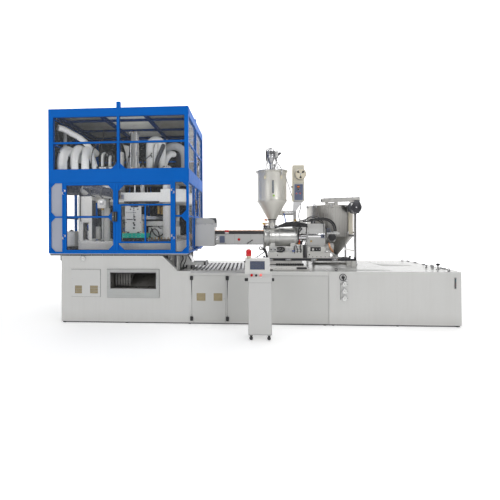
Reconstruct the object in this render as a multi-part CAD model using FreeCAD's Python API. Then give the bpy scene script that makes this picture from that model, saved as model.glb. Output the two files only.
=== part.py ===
import FreeCAD, Part
import math
import os
from FreeCAD import Vector as V

os.makedirs("parts", exist_ok=True)

# ---------------------------------------------------------------------------
# Driving dimensions, millimetres.
# Layout frame: X along the machine from the left end of the base, Y from the
# front face of the base to the back, Z up from the floor. Everything is moved
# at the end so that the origin is under the middle of the whole machine.
# ---------------------------------------------------------------------------
SHIFT_X = 3357.5        # half way between the guard's left side and the cabinet's right end
SHIFT_Y = 646.19        # half way between the console's front and the mixing tank's back

BASE_LEN = 4748.0       # base: left end to cabinet seam
CAB_X0, CAB_X1 = 4752.0, 6950.0
BASE_DEPTH = 2150.0
BASE_HIGH = 1200.0      # top of the clamp end of the base
BASE_LOW = 930.0        # top of the injection end of the base
SLOPE_X0, SLOPE_X1 = 1845.0, 2120.0
SHEET = 5.0             # sheet of the base
SKID = 22.0             # height of the skids under base and cabinet

GX0, GX1 = -235.0, 2320.0   # guard, left and right
GY1 = 2100.0                # guard, depth
GZ0, GZ1 = 1240.0, 3850.0   # guard, bottom and top
BEAM_Z0, BEAM_Z1 = 2510.0, 2757.0   # deep middle beam
TOP_Z0 = 3700.0                     # top beam, lower edge
TUBE_T = 4.0                        # wall of the guard's square tubes

TX, TY = 1200.0, 1050.0     # axis of the index table
TABLE_R = 600.0
TABLE_Z0, TABLE_Z1 = 1860.0, 1920.0
STATION_R = 480.0           # table axis to each row of necks
PITCH = 90.0                # neck to neck
TIE_R = 75.0
TIES = [(600.0, 600.0), (1800.0, 600.0), (600.0, 1500.0), (1800.0, 1500.0)]

AX_Y, AX_Z = 1050.0, 1506.0     # axis of barrel, screw and drive
HOP_X = 3854.0                  # axis of the material hopper
MIX_X, MIX_Y = 5143.0, 1740.0   # axis of the mixing tank
MIX_R = 490.0

ROLLERS = 12
ROLLER_R = 28.0
ROLLER_Z = 914.0
ROLLER_X0, ROLLER_PITCH = 2395.5, 79.0

nodes = {}


# --------------------------------------------------------------- helpers ----
def box(x0, x1, y0, y1, z0, z1):
    return Part.makeBox(x1 - x0, y1 - y0, z1 - z0, V(x0, y0, z0))


def cylx(x0, x1, y, z, r):
    return Part.makeCylinder(r, x1 - x0, V(x0, y, z), V(1, 0, 0))


def cyly(y0, y1, x, z, r):
    return Part.makeCylinder(r, y1 - y0, V(x, y0, z), V(0, 1, 0))


def cylz(z0, z1, x, y, r):
    return Part.makeCylinder(r, z1 - z0, V(x, y, z0), V(0, 0, 1))


def conez(z0, z1, x, y, r0, r1):
    return Part.makeCone(r0, r1, z1 - z0, V(x, y, z0), V(0, 0, 1))


def conex(x0, x1, y, z, r0, r1):
    return Part.makeCone(r0, r1, x1 - x0, V(x0, y, z), V(1, 0, 0))


def prism_y(pts, y0, y1):
    p = [V(x, y0, z) for x, z in pts]
    f = Part.Face(Part.makePolygon(p + [p[0]]))
    return f.extrude(V(0, y1 - y0, 0))


def prism_x(pts, x0, x1):
    p = [V(x0, y, z) for y, z in pts]
    f = Part.Face(Part.makePolygon(p + [p[0]]))
    return f.extrude(V(x1 - x0, 0, 0))


def prism_z(pts, z0, z1):
    p = [V(x, y, z0) for x, y in pts]
    f = Part.Face(Part.makePolygon(p + [p[0]]))
    return f.extrude(V(0, 0, z1 - z0))


def fuse(*shapes):
    s = shapes[0].multiFuse(list(shapes[1:])) if len(shapes) > 1 else shapes[0]
    s = s.removeSplitter()
    return s


def tube_x(x0, x1, y0, y1, z0, z1, t=TUBE_T):
    """square tube along X"""
    return box(x0, x1, y0, y1, z0, z1).cut(box(x0 - 1, x1 + 1, y0 + t, y1 - t, z0 + t, z1 - t))


def tube_y(x0, x1, y0, y1, z0, z1, t=TUBE_T):
    return box(x0, x1, y0, y1, z0, z1).cut(box(x0 + t, x1 - t, y0 - 1, y1 + 1, z0 + t, z1 - t))


def tube_z(x0, x1, y0, y1, z0, z1, t=TUBE_T):
    return box(x0, x1, y0, y1, z0, z1).cut(box(x0 + t, x1 - t, y0 + t, y1 - t, z0 - 1, z1 + 1))


def edges_along(shape, axis, test):
    out = []
    for e in shape.Edges:
        if len(e.Vertexes) != 2:
            continue
        a, b = e.Vertexes[0].Point, e.Vertexes[1].Point
        d = b.sub(a)
        if d.Length < 1e-6:
            continue
        d.normalize()
        if abs(abs(d.dot(axis)) - 1) < 1e-6 and test(a.add(b).multiply(0.5)):
            out.append(e)
    return out


def round_edges(shape, r, axis, test=lambda p: True):
    es = edges_along(shape, axis, test)
    return shape.makeFillet(r, es) if es else shape


def gusset(cx, cz, sx, sz, y0, y1, leg):
    """triangular corner plate in an XZ corner at (cx, cz); sx, sz point into the opening"""
    return prism_y([(cx, cz), (cx + sx * leg, cz), (cx, cz + sz * leg)], y0, y1)


def node(name, *shapes):
    nodes[name] = list(shapes)


def route_tube(points, r):
    """round tube along straight runs joined by tangent arcs; prints its radii"""
    pts = [V(*p) for p in points]
    edges, radii = [], []
    start = pts[0]
    for i in range(1, len(pts) - 1):
        a, b, c = pts[i - 1], pts[i], pts[i + 1]
        u = a.sub(b); w = c.sub(b)
        la, lc = u.Length, w.Length
        u.normalize(); w.normalize()
        turn = math.pi - u.getAngle(w)
        rad = 0.45 * min(la, lc) / math.tan(turn / 2)
        t = rad * math.tan(turn / 2)
        p1 = b.add(u * t); p2 = b.add(w * t)
        bis = u.add(w); bis.normalize()
        mid = b.add(bis * (rad / math.cos(turn / 2) - rad))
        if start.distanceToPoint(p1) > 1e-6:
            edges.append(Part.LineSegment(start, p1).toShape())
        edges.append(Part.Arc(p1, mid, p2).toShape())
        radii.append(rad)
        start = p2
    edges.append(Part.LineSegment(start, pts[-1]).toShape())
    path = Part.Wire(edges)
    d = pts[1].sub(pts[0]); d.normalize()
    ring = Part.Wire([Part.makeCircle(r, pts[0], d)])
    tube = path.makePipeShell([ring], True, False)
    length = path.Length
    print("tube length %.1f volume ratio %.4f radii %s" % (
        length, tube.Volume / (math.pi * r * r * length), [round(x) for x in radii]))
    return tube


# ----------------------------------------------------------------- base ----
# Folded and welded sheet base, hollow, with a chute behind the front window,
# two door openings, an opening in the low deck for the roller pan, skids
# below and the guard's deck plate on top, propped where it overhangs.
b = SHEET
prof = [(0, SKID), (BASE_LEN, SKID), (BASE_LEN, BASE_LOW), (SLOPE_X1, BASE_LOW), (SLOPE_X0, BASE_HIGH), (0, BASE_HIGH)]
solid_base = prism_y(prof, -1, BASE_DEPTH + 1)
sx0, sx1 = SLOPE_X0 - 2.1, SLOPE_X1 - 2.1        # inner face of the slope plate, top and foot
zf, zh, zl = SKID + b, BASE_HIGH - b, BASE_LOW - b
bits = [box(0, BASE_LEN, 0, BASE_DEPTH, SKID, zf),
        box(0, b, 0, BASE_DEPTH, zf, zh),
        box(BASE_LEN - b, BASE_LEN, 0, BASE_DEPTH, zf, zl),
        prism_y([(0, zh), (sx0, zh), (SLOPE_X0, BASE_HIGH), (0, BASE_HIGH)], 0, BASE_DEPTH),
        prism_y([(SLOPE_X0, BASE_HIGH), (SLOPE_X1, BASE_LOW), (sx1, zl), (sx0, zh)], 0, BASE_DEPTH),
        prism_y([(sx1, zl), (2351, zl), (2351, BASE_LOW), (SLOPE_X1, BASE_LOW)], 0, BASE_DEPTH),
        box(3309, BASE_LEN, 0, BASE_DEPTH, zl, BASE_LOW),
        box(2351, 3309, 0, 61, zl, BASE_LOW), box(2351, 3309, 1501, BASE_DEPTH, zl, BASE_LOW)]
# back wall, then the front wall in strips round its openings
yb = BASE_DEPTH - b
bits += [box(b, sx0, yb, BASE_DEPTH, zf, zh), box(sx1, BASE_LEN - b, yb, BASE_DEPTH, zf, zl),
         prism_y([(sx0, zf), (sx1, zf), (sx1, zl), (sx0, zh)], yb, BASE_DEPTH)]
CH_X0, CH_X1, CH_Z0, CH_Z1 = 905.0, 1740.0, 615.0, 911.0      # discharge window
BAY_Z0, BAY_Z1 = 60.0, 840.0                                    # openings behind the doors
BAYS = [(2410.0, 2945.0), (3030.0, 3620.0)]
bits += [box(b, CH_X0, 0, b, zf, zh), box(CH_X0, CH_X1, 0, b, zf, CH_Z0), box(CH_X0, CH_X1, 0, b, CH_Z1, zh),
         box(CH_X1, sx0, 0, b, zf, zh), prism_y([(sx0, zf), (sx1, zf), (sx1, zl), (sx0, zh)], 0, b),
         box(sx1, BAYS[0][0], 0, b, zf, zl), box(BAYS[0][1], BAYS[1][0], 0, b, zf, zl),
         box(BAYS[1][1], BASE_LEN - b, 0, b, zf, zl)]
for x0, x1 in BAYS:
    bits += [box(x0, x1, 0, b, zf, BAY_Z0), box(x0, x1, 0, b, BAY_Z1, zl)]
# chute liner
bits += [box(CH_X0 - b, CH_X1 + b, b, 705, CH_Z0 - b, CH_Z0), box(CH_X0 - b, CH_X1 + b, b, 705, CH_Z1, CH_Z1 + b),
         box(CH_X0 - b, CH_X0, b, 705, CH_Z0, CH_Z1), box(CH_X1, CH_X1 + b, b, 705, CH_Z0, CH_Z1),
         box(CH_X0, CH_X1, 700, 705, CH_Z0, CH_Z1)]
# fixed halves of the base doors' hinges
DOOR_HINGES = (62, 777)
for hx in (2370, 3000):
    for z in DOOR_HINGES:
        bits.append(fuse(cylz(z, z + 35, hx, -22, 11), box(hx - 26, hx, -29, 0, z, z + 35)))
        bits.append(box(hx - 26, hx - 13, -29, 0, z + 36, z + 70))
# skids, deck plate on its ribs, props under the overhang
for y in (15, 2055):
    bits.append(box(20, BASE_LEN, y, y + 80, 0, SKID))
bits.append(box(-220, 2290, 20, 2080, 1225, 1240))
for y in (20, 700, 1380, 2045):
    bits.append(box(-220, 2290, y, y + 35, 1200, 1225))
for y in (220, 1850):
    for q in (box(1870, 1960, y, y + 80, 930, 1225), box(1975, 2015, y + 20, y + 70, 930, 1225),
              box(2030, 2120, y + 40, y + 110, 930, 1225)):
        bits.append(q.cut(solid_base))
node("main_base", *bits)

# Power cabinet at the right-hand end: closed sheet box with a cable opening
# underneath, the rotary switch's round plate, a lock and a tank breather.
c = 4.0
zc = SKID + c
bits = [box(CAB_X0, 5400, 0, BASE_DEPTH, SKID, zc), box(6200, CAB_X1, 0, BASE_DEPTH, SKID, zc),
        box(5400, 6200, 0, 900, SKID, zc), box(5400, 6200, 1300, BASE_DEPTH, SKID, zc),
        box(CAB_X0, CAB_X1, 0, BASE_DEPTH, BASE_LOW - c, BASE_LOW),
        box(CAB_X0, CAB_X0 + c, 0, BASE_DEPTH, zc, BASE_LOW - c), box(CAB_X1 - c, CAB_X1, 0, BASE_DEPTH, zc, BASE_LOW - c),
        box(CAB_X0 + c, CAB_X1 - c, 0, c, zc, BASE_LOW - c),
        box(CAB_X0 + c, CAB_X1 - c, BASE_DEPTH - c, BASE_DEPTH, zc, BASE_LOW - c)]
for y in (15, 2055):
    bits.append(box(CAB_X0, 6930, y, y + 80, 0, SKID))
bits.append(cyly(-9, 0, 4987, 833, 62))
bits.append(cyly(-16, 0, 5052, 782, 11))
bits.append(fuse(cylz(BASE_LOW, 990, 6753, 377, 12), cylz(990, 1012, 6753, 377, 20)))
node("power_cabinet", *bits)

# What is screwed on the front: the raised frame round the discharge window with its
# grey apron plate, the vented service cover and the long cover by the seam.
frame = box(848, 1790, -18, 0, 455, 960).cut(box(905, 1740, -19, 1, 615, 911))
frame = round_edges(frame, 8, V(0, 1, 0), lambda p: p.x < 860 or p.x > 1780)
frame = [frame.common(q) for q in (box(840, 905, -20, 1, 450, 965), box(1740, 1795, -20, 1, 450, 965),
                                   box(905, 1740, -20, 1, 450, 615), box(905, 1740, -20, 1, 911, 965))]
apron = box(880, 1765, -21, -18, 468, 602)
vent = box(190, 720, -12, 0, 469, 955)
vent = round_edges(vent, 6, V(0, 1, 0))
slats = []
for x0, x1 in ((256, 385), (535, 679)):
    vent = vent.cut(box(x0, x1, -13, 1, 525, 668))
    for k in range(5):
        z = 529 + 28 * k
        slats.append(prism_x([(-11, z), (-11, z + 4), (-1, z + 22), (-1, z + 18)], x0 - 1, x1 + 1))
vent = fuse(vent, *slats)
cover = box(3700, 4735, -6, 0, 30, 853)
fittings = [*frame, apron, vent, cover]

# Instruments on the front: three pressure gauges, the sight gauge at the right
# end and the dial on the high part of the base.
g = []
for z in (715, 595, 473):
    g.append(fuse(cyly(-26, 0, 5011, z, 34), cyly(-30, -8, 5011, z, 42)))
g.append(box(4944, 4948, -5, 0, 445, 741))
g.append(fuse(box(6836, 6860, -8, 0, 645, 833), box(6840, 6856, -16, -8, 660, 818)))
g.append(fuse(cyly(-22, 0, 414, 1153, 36), cyly(-26, -8, 414, 1153, 45)))
node("front_fittings", *fittings, *g)

# Base doors on black block hinges; the first has two louvred windows.
def base_door(name, hx, x0, x1, louvres):
    leaf = box(x0, x1, -14, -2, 45, 852)
    leaf = round_edges(leaf, 4, V(0, 1, 0))
    leaf = leaf.cut(box(x0 + 25, x1 - 25, -11.5, -1, 70, 827))
    parts = []
    for a, c_ in louvres:
        leaf = leaf.cut(box(a, c_, -15, -1, 417, 541))
        for k in range(5):
            z = 420 + 24 * k
            parts.append(prism_x([(-13.5, z), (-13.5, z + 3), (-9.5, z + 19), (-9.5, z + 16)], a - 1, c_ + 1))
    if parts:
        leaf = fuse(leaf, *parts)
    bits = [leaf]
    for z in DOOR_HINGES:
        bits.append(fuse(cylz(z + 36, z + 70, hx, -22, 11), box(hx, hx + 26, -31, -14, z + 36, z + 70)))
        bits.append(box(hx + 13, hx + 26, -29, -14, z, z + 35))
    node(name, *bits)


base_door("base_door_left", 2370, 2380, 2966, [(2463, 2610), (2764, 2908)])
base_door("base_door_right", 3000, 3010, 3650, [])

# Pan of the roller conveyor, let into the low deck; its two long walls carry
# the journals.
walls = [box(2352, 3308, 62, 66, 854, 930), box(2352, 3308, 1496, 1500, 854, 930)]
for i in range(ROLLERS):
    x = ROLLER_X0 + i * ROLLER_PITCH
    walls = [q.cut(cyly(60, 1502, x, ROLLER_Z, 10.3)) for q in walls]
pan = [box(2352, 3308, 62, 1500, 850, 854), box(2352, 2356, 66, 1496, 854, 930), box(3304, 3308, 66, 1496, 854, 930)] + walls
pan += [box(2335, 2356, 45, 1517, 930, 933), box(3304, 3325, 45, 1517, 930, 933), box(2356, 3304, 45, 66, 930, 933),
        box(2356, 3304, 1496, 1517, 930, 933)]
trim = box(2350, 3310, -4, 0, 903, 930)
node("conveyor_frame", *pan, trim)
for i in range(ROLLERS):
    x = ROLLER_X0 + i * ROLLER_PITCH
    roll = fuse(cyly(72, 1490, x, ROLLER_Z, ROLLER_R), cyly(62.5, 1499.5, x, ROLLER_Z, 10))
    node("conveyor_roller_%d" % (i + 1), roll)

# ---------------------------------------------------------------- guard ----
# Two-storey cage of square tube. Every member is its own length of tube,
# cut to butt against the next.
f = []
# lower storey, front
f.append(tube_x(GX0, GX1, 0, 60, GZ0, 1270))
f.append(tube_z(GX0, -195, 0, 60, 1270, BEAM_Z0))
f.append(tube_z(2280, GX1, 0, 60, 1270, BEAM_Z0))
f.append(tube_z(18, 48, 0, 60, 1270, BEAM_Z0, 3))
f.append(tube_z(2042, 2080, 0, 60, 1270, BEAM_Z0, 3))
f.append(tube_x(-195, 18, 10, 40, 1885, 1910, 3))
f.append(tube_x(2080, 2280, 10, 40, 1895, 1920, 3))
# lower storey, sides: bottom rails, posts, rails; the right side leaves a bay
# for the injection unit
f.append(tube_y(GX0, -175, 60, 2040, GZ0, 1270))
f.append(tube_y(2260, GX1, 60, 2040, GZ0, 1270))
f.append(tube_z(GX0, -195, 1005, 1055, 1270, BEAM_Z0))
f.append(tube_z(2270, GX1, 760, 800, 1270, BEAM_Z0))
f.append(tube_z(2270, GX1, 1310, 1350, 1270, BEAM_Z0))
f.append(tube_y(2270, GX1, 800, 1310, 1890, 1930))
f.append(tube_y(2280, 2310, 60, 760, 1895, 1920, 3))
f.append(tube_y(2280, 2310, 1350, 2040, 1895, 1920, 3))
f.append(tube_y(-225, -195, 60, 1005, 1885, 1910, 3))
f.append(tube_y(-225, -195, 1055, 2040, 1885, 1910, 3))
# lower storey, back
f.append(tube_x(GX0, GX1, 2040, GY1, GZ0, 1270))
f.append(tube_z(GX0, -175, 2040, GY1, 1270, BEAM_Z0))
f.append(tube_z(2260, GX1, 2040, GY1, 1270, BEAM_Z0))
f.append(tube_z(1030, 1075, 2040, GY1, 1270, BEAM_Z0))
# middle beam
f.append(tube_x(GX0, GX1, 0, 60, BEAM_Z0, BEAM_Z1))
f.append(tube_x(GX0, GX1, 2040, GY1, BEAM_Z0, BEAM_Z1))
f.append(tube_y(GX0, -175, 60, 2040, BEAM_Z0, BEAM_Z1))
f.append(tube_y(2260, GX1, 60, 2040, BEAM_Z0, BEAM_Z1))
# upper storey
for y0, y1 in ((0, 60), (2040, GY1)):
    f.append(tube_z(GX0, -150, y0, y1, BEAM_Z1, TOP_Z0))
    f.append(tube_z(2250, GX1, y0, y1, BEAM_Z1, TOP_Z0))
    f.append(tube_x(GX0, GX1, y0, y1, TOP_Z0, GZ1))
    f.append(tube_z(1030, 1075, y0, y1, BEAM_Z1, 3220))
    f.append(tube_z(1030, 1075, y0, y1, 3250, TOP_Z0))
    ym = y0 + 10 if y0 == 0 else y0 + 20
    f.append(tube_x(-150, 2250, ym, ym + 30, 3220, 3250, 3))
f.append(tube_y(GX0, -175, 60, 2040, TOP_Z0, GZ1))
f.append(tube_y(2260, GX1, 60, 2040, TOP_Z0, GZ1))
for x0, x1 in ((GX0, -185), (2270, GX1)):
    f.append(tube_z(x0, x1, 1000, 1065, BEAM_Z1, TOP_Z0))
    xm = x0 + 10
    f.append(tube_y(xm, xm + 30, 60, 1000, 3220, 3250, 3))
    f.append(tube_y(xm, xm + 30, 1065, 2040, 3220, 3250, 3))
# roof bars
for x in (-120, 690, 1500):
    f.append(tube_y(x, x + 50, 60, 2040, TOP_Z0, 3760))
for y in (370, 1090, 1740):
    for x0, x1 in ((-175, -120), (-70, 690), (740, 1500), (1550, 2260)):
        f.append(tube_x(x0, x1, y, y + 40, 3710, 3750, 3))
# corner plates and the two short posts standing on the top beam
f.append(gusset(1075, BEAM_Z1, 1, 1, 20, 28, 112))
f.append(gusset(1030, BEAM_Z1, -1, 1, 20, 28, 112))
f.append(gusset(2280, 1920, -1, 1, 20, 28, 95))
f.append(gusset(2280, 1895, -1, -1, 20, 28, 95))
f.append(gusset(2280, 2510, -1, -1, 20, 28, 75))
f.append(gusset(2280, 1270, -1, 1, 20, 28, 95))
for cz, sz in ((1270, 1), (1885, -1), (1910, 1), (2510, -1)):
    f.append(gusset(-195, cz, 1, sz, 12, 20, 80))
f.append(tube_z(1024, 1089, 0, 60, GZ1, 3957))
f.append(tube_z(2262, GX1, 1000, 1060, GZ1, 3905))
# fixed knuckles of the door hinges
for x, side in ((50, -1), (2040, 1)):
    for z in (1500, 2310):
        leaf = box(x - 30, x, -4, 0, z, z + 38) if side < 0 else box(x, x + 30, -4, 0, z, z + 38)
        f.append(fuse(cylz(z, z + 38, x, -10, 8), leaf, box(x - 8, x + 8, -10, -1, z, z + 38)))
node("guard_frame", *f)

# Sheets of the cage. First the clear ones.
w = []
for x0, x1 in ((-150, 1030), (1075, 2250)):
    w.append(box(x0, x1, 30, 35, BEAM_Z1, 3220))
    w.append(box(x0, x1, 30, 35, 3250, TOP_Z0))
    w.append(box(x0, x1, 2072, 2077, BEAM_Z1, 3220))
    w.append(box(x0, x1, 2072, 2077, 3250, TOP_Z0))
for x0 in (-215, 2290):
    for y0, y1 in ((60, 1000), (1065, 2040)):
        w.append(box(x0, x0 + 5, y0, y1, BEAM_Z1, 3220))
        w.append(box(x0, x0 + 5, y0, y1, 3250, TOP_Z0))
for y0, y1 in ((60, 760), (1350, 2040)):
    w.append(box(2293, 2298, y0, y1, 1270, 1895))
    w.append(box(2293, 2298, y0, y1, 1920, BEAM_Z0))
w.append(box(2293, 2298, 800, 1310, 1930, BEAM_Z0))
w.append(box(2080, 2280, 29, 34, 1270, 1895))
w.append(box(2080, 2280, 29, 34, 1920, BEAM_Z0))
for y0, y1 in ((60, 1005), (1055, 2040)):
    w.append(box(-213, -208, y0, y1, 1270, 1885))
    w.append(box(-213, -208, y0, y1, 1910, BEAM_Z0))
w.append(box(-175, 1030, 2068, 2073, 1270, BEAM_Z0))
w.append(box(1075, 2260, 2068, 2073, 1270, BEAM_Z0))

# Then the opaque ones: two narrow panels at the left of the front, and the roof.
p = []
p.append(box(-195, 18, 24, 28, 1270, 1885))
p.append(box(-195, 18, 24, 28, 1910, BEAM_Z0))
for x0, x1 in ((-175, 715), (715, 1525), (1525, 2260)):
    p.append(box(x0, x1, 60, 2040, 3760, 3764))
node("guard_sheets", *w, *p)

# Guard doors: tube frame, clear sheet, gussets, lock, hinge knuckles.
DZ0, DZ1 = 1273.0, 2507.0
d = []
d.append(tube_z(53, 93, 2, 42, DZ0, DZ1, 3))
d.append(tube_z(957, 999, 2, 42, DZ0, DZ1, 3))
d.append(tube_x(93, 957, 2, 42, DZ0, 1303, 3))
d.append(tube_x(93, 957, 2, 42, 2467, DZ1, 3))
d.append(tube_x(93, 957, 7, 37, 1885, 1910, 3))
d.append(box(93, 957, 26, 31, 1303, 1885))
d.append(box(93, 957, 26, 31, 1910, 2467))
for cz, sz in ((1303, 1), (1885, -1), (1910, 1), (2467, -1)):
    d.append(gusset(957, cz, -1, sz, 16, 24, 98))
d.append(round_edges(box(947, 999, -42, 2, 1812, 1988), 10, V(0, 0, 1), lambda p: p.y < -40))
for z in (1539, 2349):
    d.append(fuse(cylz(z, z + 38, 50, -10, 8), box(50, 58, -18, -2, z, z + 38), box(50, 84, -4, 2, z, z + 38)))
node("guard_door_left", *d)
d = []
d.append(tube_z(1003, 1048, 2, 42, DZ0, DZ1, 3))
d.append(tube_z(1998, 2038, 2, 42, DZ0, DZ1, 3))
d.append(tube_x(1048, 1998, 2, 42, DZ0, 1303, 3))
d.append(tube_x(1048, 1998, 2, 42, 2467, DZ1, 3))
d.append(tube_z(1048, 1100, 4, 40, 1428, 2121, 3))
d.append(tube_x(1100, 1998, 4, 40, 1428, 1452, 3))
d.append(tube_x(1100, 1998, 4, 40, 2098, 2121, 3))
d.append(tube_z(1528, 1550, 4, 40, 1452, 2098, 3))
d.append(box(1048, 1998, 26, 31, 1303, 1428))
d.append(box(1048, 1998, 26, 31, 2121, 2467))
d.append(box(1100, 1528, 26, 31, 1452, 2098))
d.append(box(1550, 1998, 26, 31, 1452, 2098))
d.append(gusset(1048, 2467, 1, -1, 16, 24, 110))
d.append(gusset(1048, 1303, 1, 1, 16, 24, 110))
d.append(round_edges(box(1003, 1036, -42, 2, 1812, 1988), 10, V(0, 0, 1), lambda p: p.y < -40))
for z in (1539, 2349):
    d.append(fuse(cylz(z, z + 38, 2040, -10, 8), box(2032, 2040, -18, -2, z, z + 38),
                  box(2006, 2040, -4, 2, z, z + 38)))
node("guard_door_right", *d)

# ------------------------------------------------------ clamp, inside it ----
# Machine bed: cast, hollow underneath, with the slide base and the green
# slide plate of the blow station on top.
bed = box(200, 2060, 250, 1850, 1240, 1440).cut(box(235, 2025, 285, 1815, 1239, 1400))
bed = round_edges(bed, 12, V(1, 0, 0), lambda p: p.z > 1439)
slide_base = box(1010, 1450, 360, 800, 1440, 1510)
slide_plate = round_edges(box(1000, 1460, 350, 810, 1510, 1595), 10, V(0, 0, 1))
node("machine_bed", bed, slide_base, slide_plate)

# Tie bars with a foot flange and a nut above the fixed top platen.
t = []
for x, y in TIES:
    nut = prism_z([(x + 100 * math.cos(math.radians(60 * k)), y + 100 * math.sin(math.radians(60 * k)))
                   for k in range(6)], 2800, 2860)
    t.append(fuse(cylz(1440, 2880, x, y, TIE_R), cylz(1440, 1480, x, y, 108), nut))
node("tie_bars", *t)

# Fixed top platen with the clamp cylinder on it.
top = box(420, 2180, 420, 1680, 2620, 2800)
top = round_edges(top, 60, V(0, 0, 1))
housing = cylz(2800, 2920, TX, TY, 130).cut(cylz(2799, 2900, TX, TY, 90))
top = top.cut(cylz(2650, 2801, TX, TY, 90)).cut(cylz(2619, 2651, TX, TY, 45.5))
for x, y in TIES:
    top = top.cut(cylz(2619, 2801, x, y, TIE_R + 0.5))
top = top.cut(cylz(2619, 2801, 1180, 570, 16))
node("top_platen", top, housing)

# Moving clamp platen: bosses round the tie bars, clamp rod and piston, and
# the core plate with its cores and guide bushes below.
cp = box(420, 2180, 450, 1680, 2190, 2370)
cp = round_edges(cp, 60, V(0, 0, 1))
bosses = []
for x0, x1, y0, y1 in ((420, 790, 450, 850), (1700, 2180, 450, 850), (420, 790, 1300, 1680), (1700, 2180, 1300, 1680)):
    bosses.append(round_edges(box(x0, x1, y0, y1, 2370, 2430), 60, V(0, 0, 1)))
ram = fuse(cylz(2370, 2700, TX, TY, 45), cylz(2660, 2700, TX, TY, 89.5))
for x, y in TIES:
    cp = cp.cut(cylz(2189, 2371, x, y, TIE_R + 0.4))
    bosses = [q.cut(cylz(2369, 2431, x, y, TIE_R + 0.4)) for q in bosses]
cp = cp.cut(cylz(2189, 2371, 1180, 570, 16))
core_plate = box(1520, 1860, 880, 1220, 2150, 2190)
cores = []
for k in (-1, 0, 1):
    cores.append(fuse(cylz(1940, 2150, TX + STATION_R, TY + k * PITCH, 15), cylz(2110, 2150, TX + STATION_R, TY + k * PITCH, 22)))
for x, y in ((1560, 915), (1560, 1185), (1820, 915), (1820, 1185)):
    cores.append(cylz(1975, 2150, x, y, 24))
node("clamp_platen", cp, *bosses, ram, core_plate, *cores)

# Index table: four stations a quarter turn apart, each a row of three necks.
tab = cylz(TABLE_Z0, TABLE_Z1, TX, TY, TABLE_R)
tab = fuse(tab, cylz(1846, TABLE_Z0 + 1, TX, TY, 110), cylz(TABLE_Z1 - 1, 1962, TX, TY, 100),
           box(TX - 150, TX + 150, TY - 515, TY - 445, 1848, 1861), box(TX - 150, TX + 150, TY + 445, TY + 515, 1848, 1861),
           box(TX - 515, TX - 445, TY - 150, TY + 150, 1848, 1861), box(TX + 445, TX + 515, TY - 150, TY + 150, 1848, 1861))
tab = tab.cut(cylz(1845, 1900, TX, TY, 60.4))
for k in (-1, 0, 1):
    for x, y in ((TX + k * PITCH, TY - STATION_R), (TX + k * PITCH, TY + STATION_R),
                 (TX - STATION_R, TY + k * PITCH), (TX + STATION_R, TY + k * PITCH)):
        tab = tab.cut(cylz(1845, 1925, x, y, 20))
node("index_table", tab)
node("index_drive", fuse(cylz(1440, 1700, TX, TY, 200), conez(1700, 1760, TX, TY, 200, 125),
                         cylz(1759, 1845, TX, TY, 120), cylz(1844, 1898, TX, TY, 60)))

# Blow mould, two halves that part along Y at the front station.
ROW_Y = TY - STATION_R
cav = []
for k in (-1, 0, 1):
    x = TX + k * PITCH
    cav += [cylz(1630, 1760, x, ROW_Y, 36), conez(1760, 1795, x, ROW_Y, 36, 15), cylz(1794, 1840, x, ROW_Y, 15)]
cav = cav[0].multiFuse(cav[1:])
front = fuse(box(1045, 1355, 444, ROW_Y - 0.2, 1596, 1835), box(1045, 1345, 400, 445, 1596, 2120)).cut(cav)
rear = fuse(box(1045, 1355, ROW_Y + 0.2, 696, 1596, 1835), box(1045, 1345, 695, 740, 1596, 1835)).cut(cav)
node("blow_mould_front", front)
node("blow_mould_rear", rear)

# Stretch unit: cylinder standing on the top platen; its rod carries a
# crosshead with three thin rods over the front station.
sc = fuse(cylz(2800, 2832, 1180, 570, 108), cylz(2831, 3520, 1180, 570, 75), cylz(3519, 3542, 1180, 570, 79))
sc = sc.cut(cylz(2822, 3505, 1180, 570, 66)).cut(cylz(2799, 2823, 1180, 570, 15.4))
nodes["top_platen"].append(sc)
node("stretch_rods", box(1050, 1350, 540, 600, 2110, 2145),
     fuse(cylz(2145, 3000, 1180, 570, 15), cylz(2980, 3020, 1180, 570, 65.5)),
     *[cylz(1950, 2110, TX + k * PITCH, ROW_Y, 7) for k in (-1, 0, 1)])

# Injection mould at the right station: hot runner box, spacer, cavity plate
# and the sprue seat that the nozzle meets.
im = [fuse(round_edges(box(1460, 1920, 730, 1370, 1440, 1720), 8, V(0, 0, 1)), cylx(1919, 1935, AX_Y, AX_Z, 32)).cut(
    cylx(1900, 1940, AX_Y, AX_Z, 6))]
im.append(box(1480, 1900, 750, 1350, 1720, 1760))
insert = box(1650, 1710, 900, 1200, 1775, 1835)
for k in (-1, 0, 1):
    insert = insert.cut(cylz(1774, 1836, TX + STATION_R, TY + k * PITCH, 20))
im += [box(1460, 1900, 730, 1370, 1760, 1775), box(1460, 1650, 730, 1370, 1775, 1835), box(1710, 1900, 730, 1370, 1775, 1835),
       box(1650, 1710, 730, 900, 1775, 1835), box(1650, 1710, 1200, 1370, 1775, 1835), insert]
node("injection_mould", *im)

# Take-out unit at the left station: box column with a window, the drum motor
# and its thick arm on top, and a guide rod with its head.
col = box(195, 455, 262, 440, 1440, 2290).cut(box(201, 449, 268, 434, 1446, 2284))
col = col.cut(box(290, 395, 261, 269, 1475, 1800))
col = round_edges(col, 5, V(0, 0, 1), lambda p: (p.x < 196 or p.x > 454) and (p.y < 263 or p.y > 439))
drum = cylx(-60, 330, 400, 2462, 130)
dome = Part.makeSphere(240, V(330 - 202, 400, 2462)).common(cylx(330, 370, 400, 2462, 130))
arm = Part.makeCylinder(98, 640, V(300, 330, 2440), V(1, 0, -0.20).normalize())
saddle = box(210, 440, 270, 436, 2290, 2370)
motor = fuse(drum, dome, arm, saddle)
rod = cylz(1440, 2071, 625, 352, 18)
head = round_edges(box(550, 702, 292, 412, 2070, 2200), 8, V(0, 0, 1))
node("takeout_unit", col, motor, fuse(rod, head))

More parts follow.
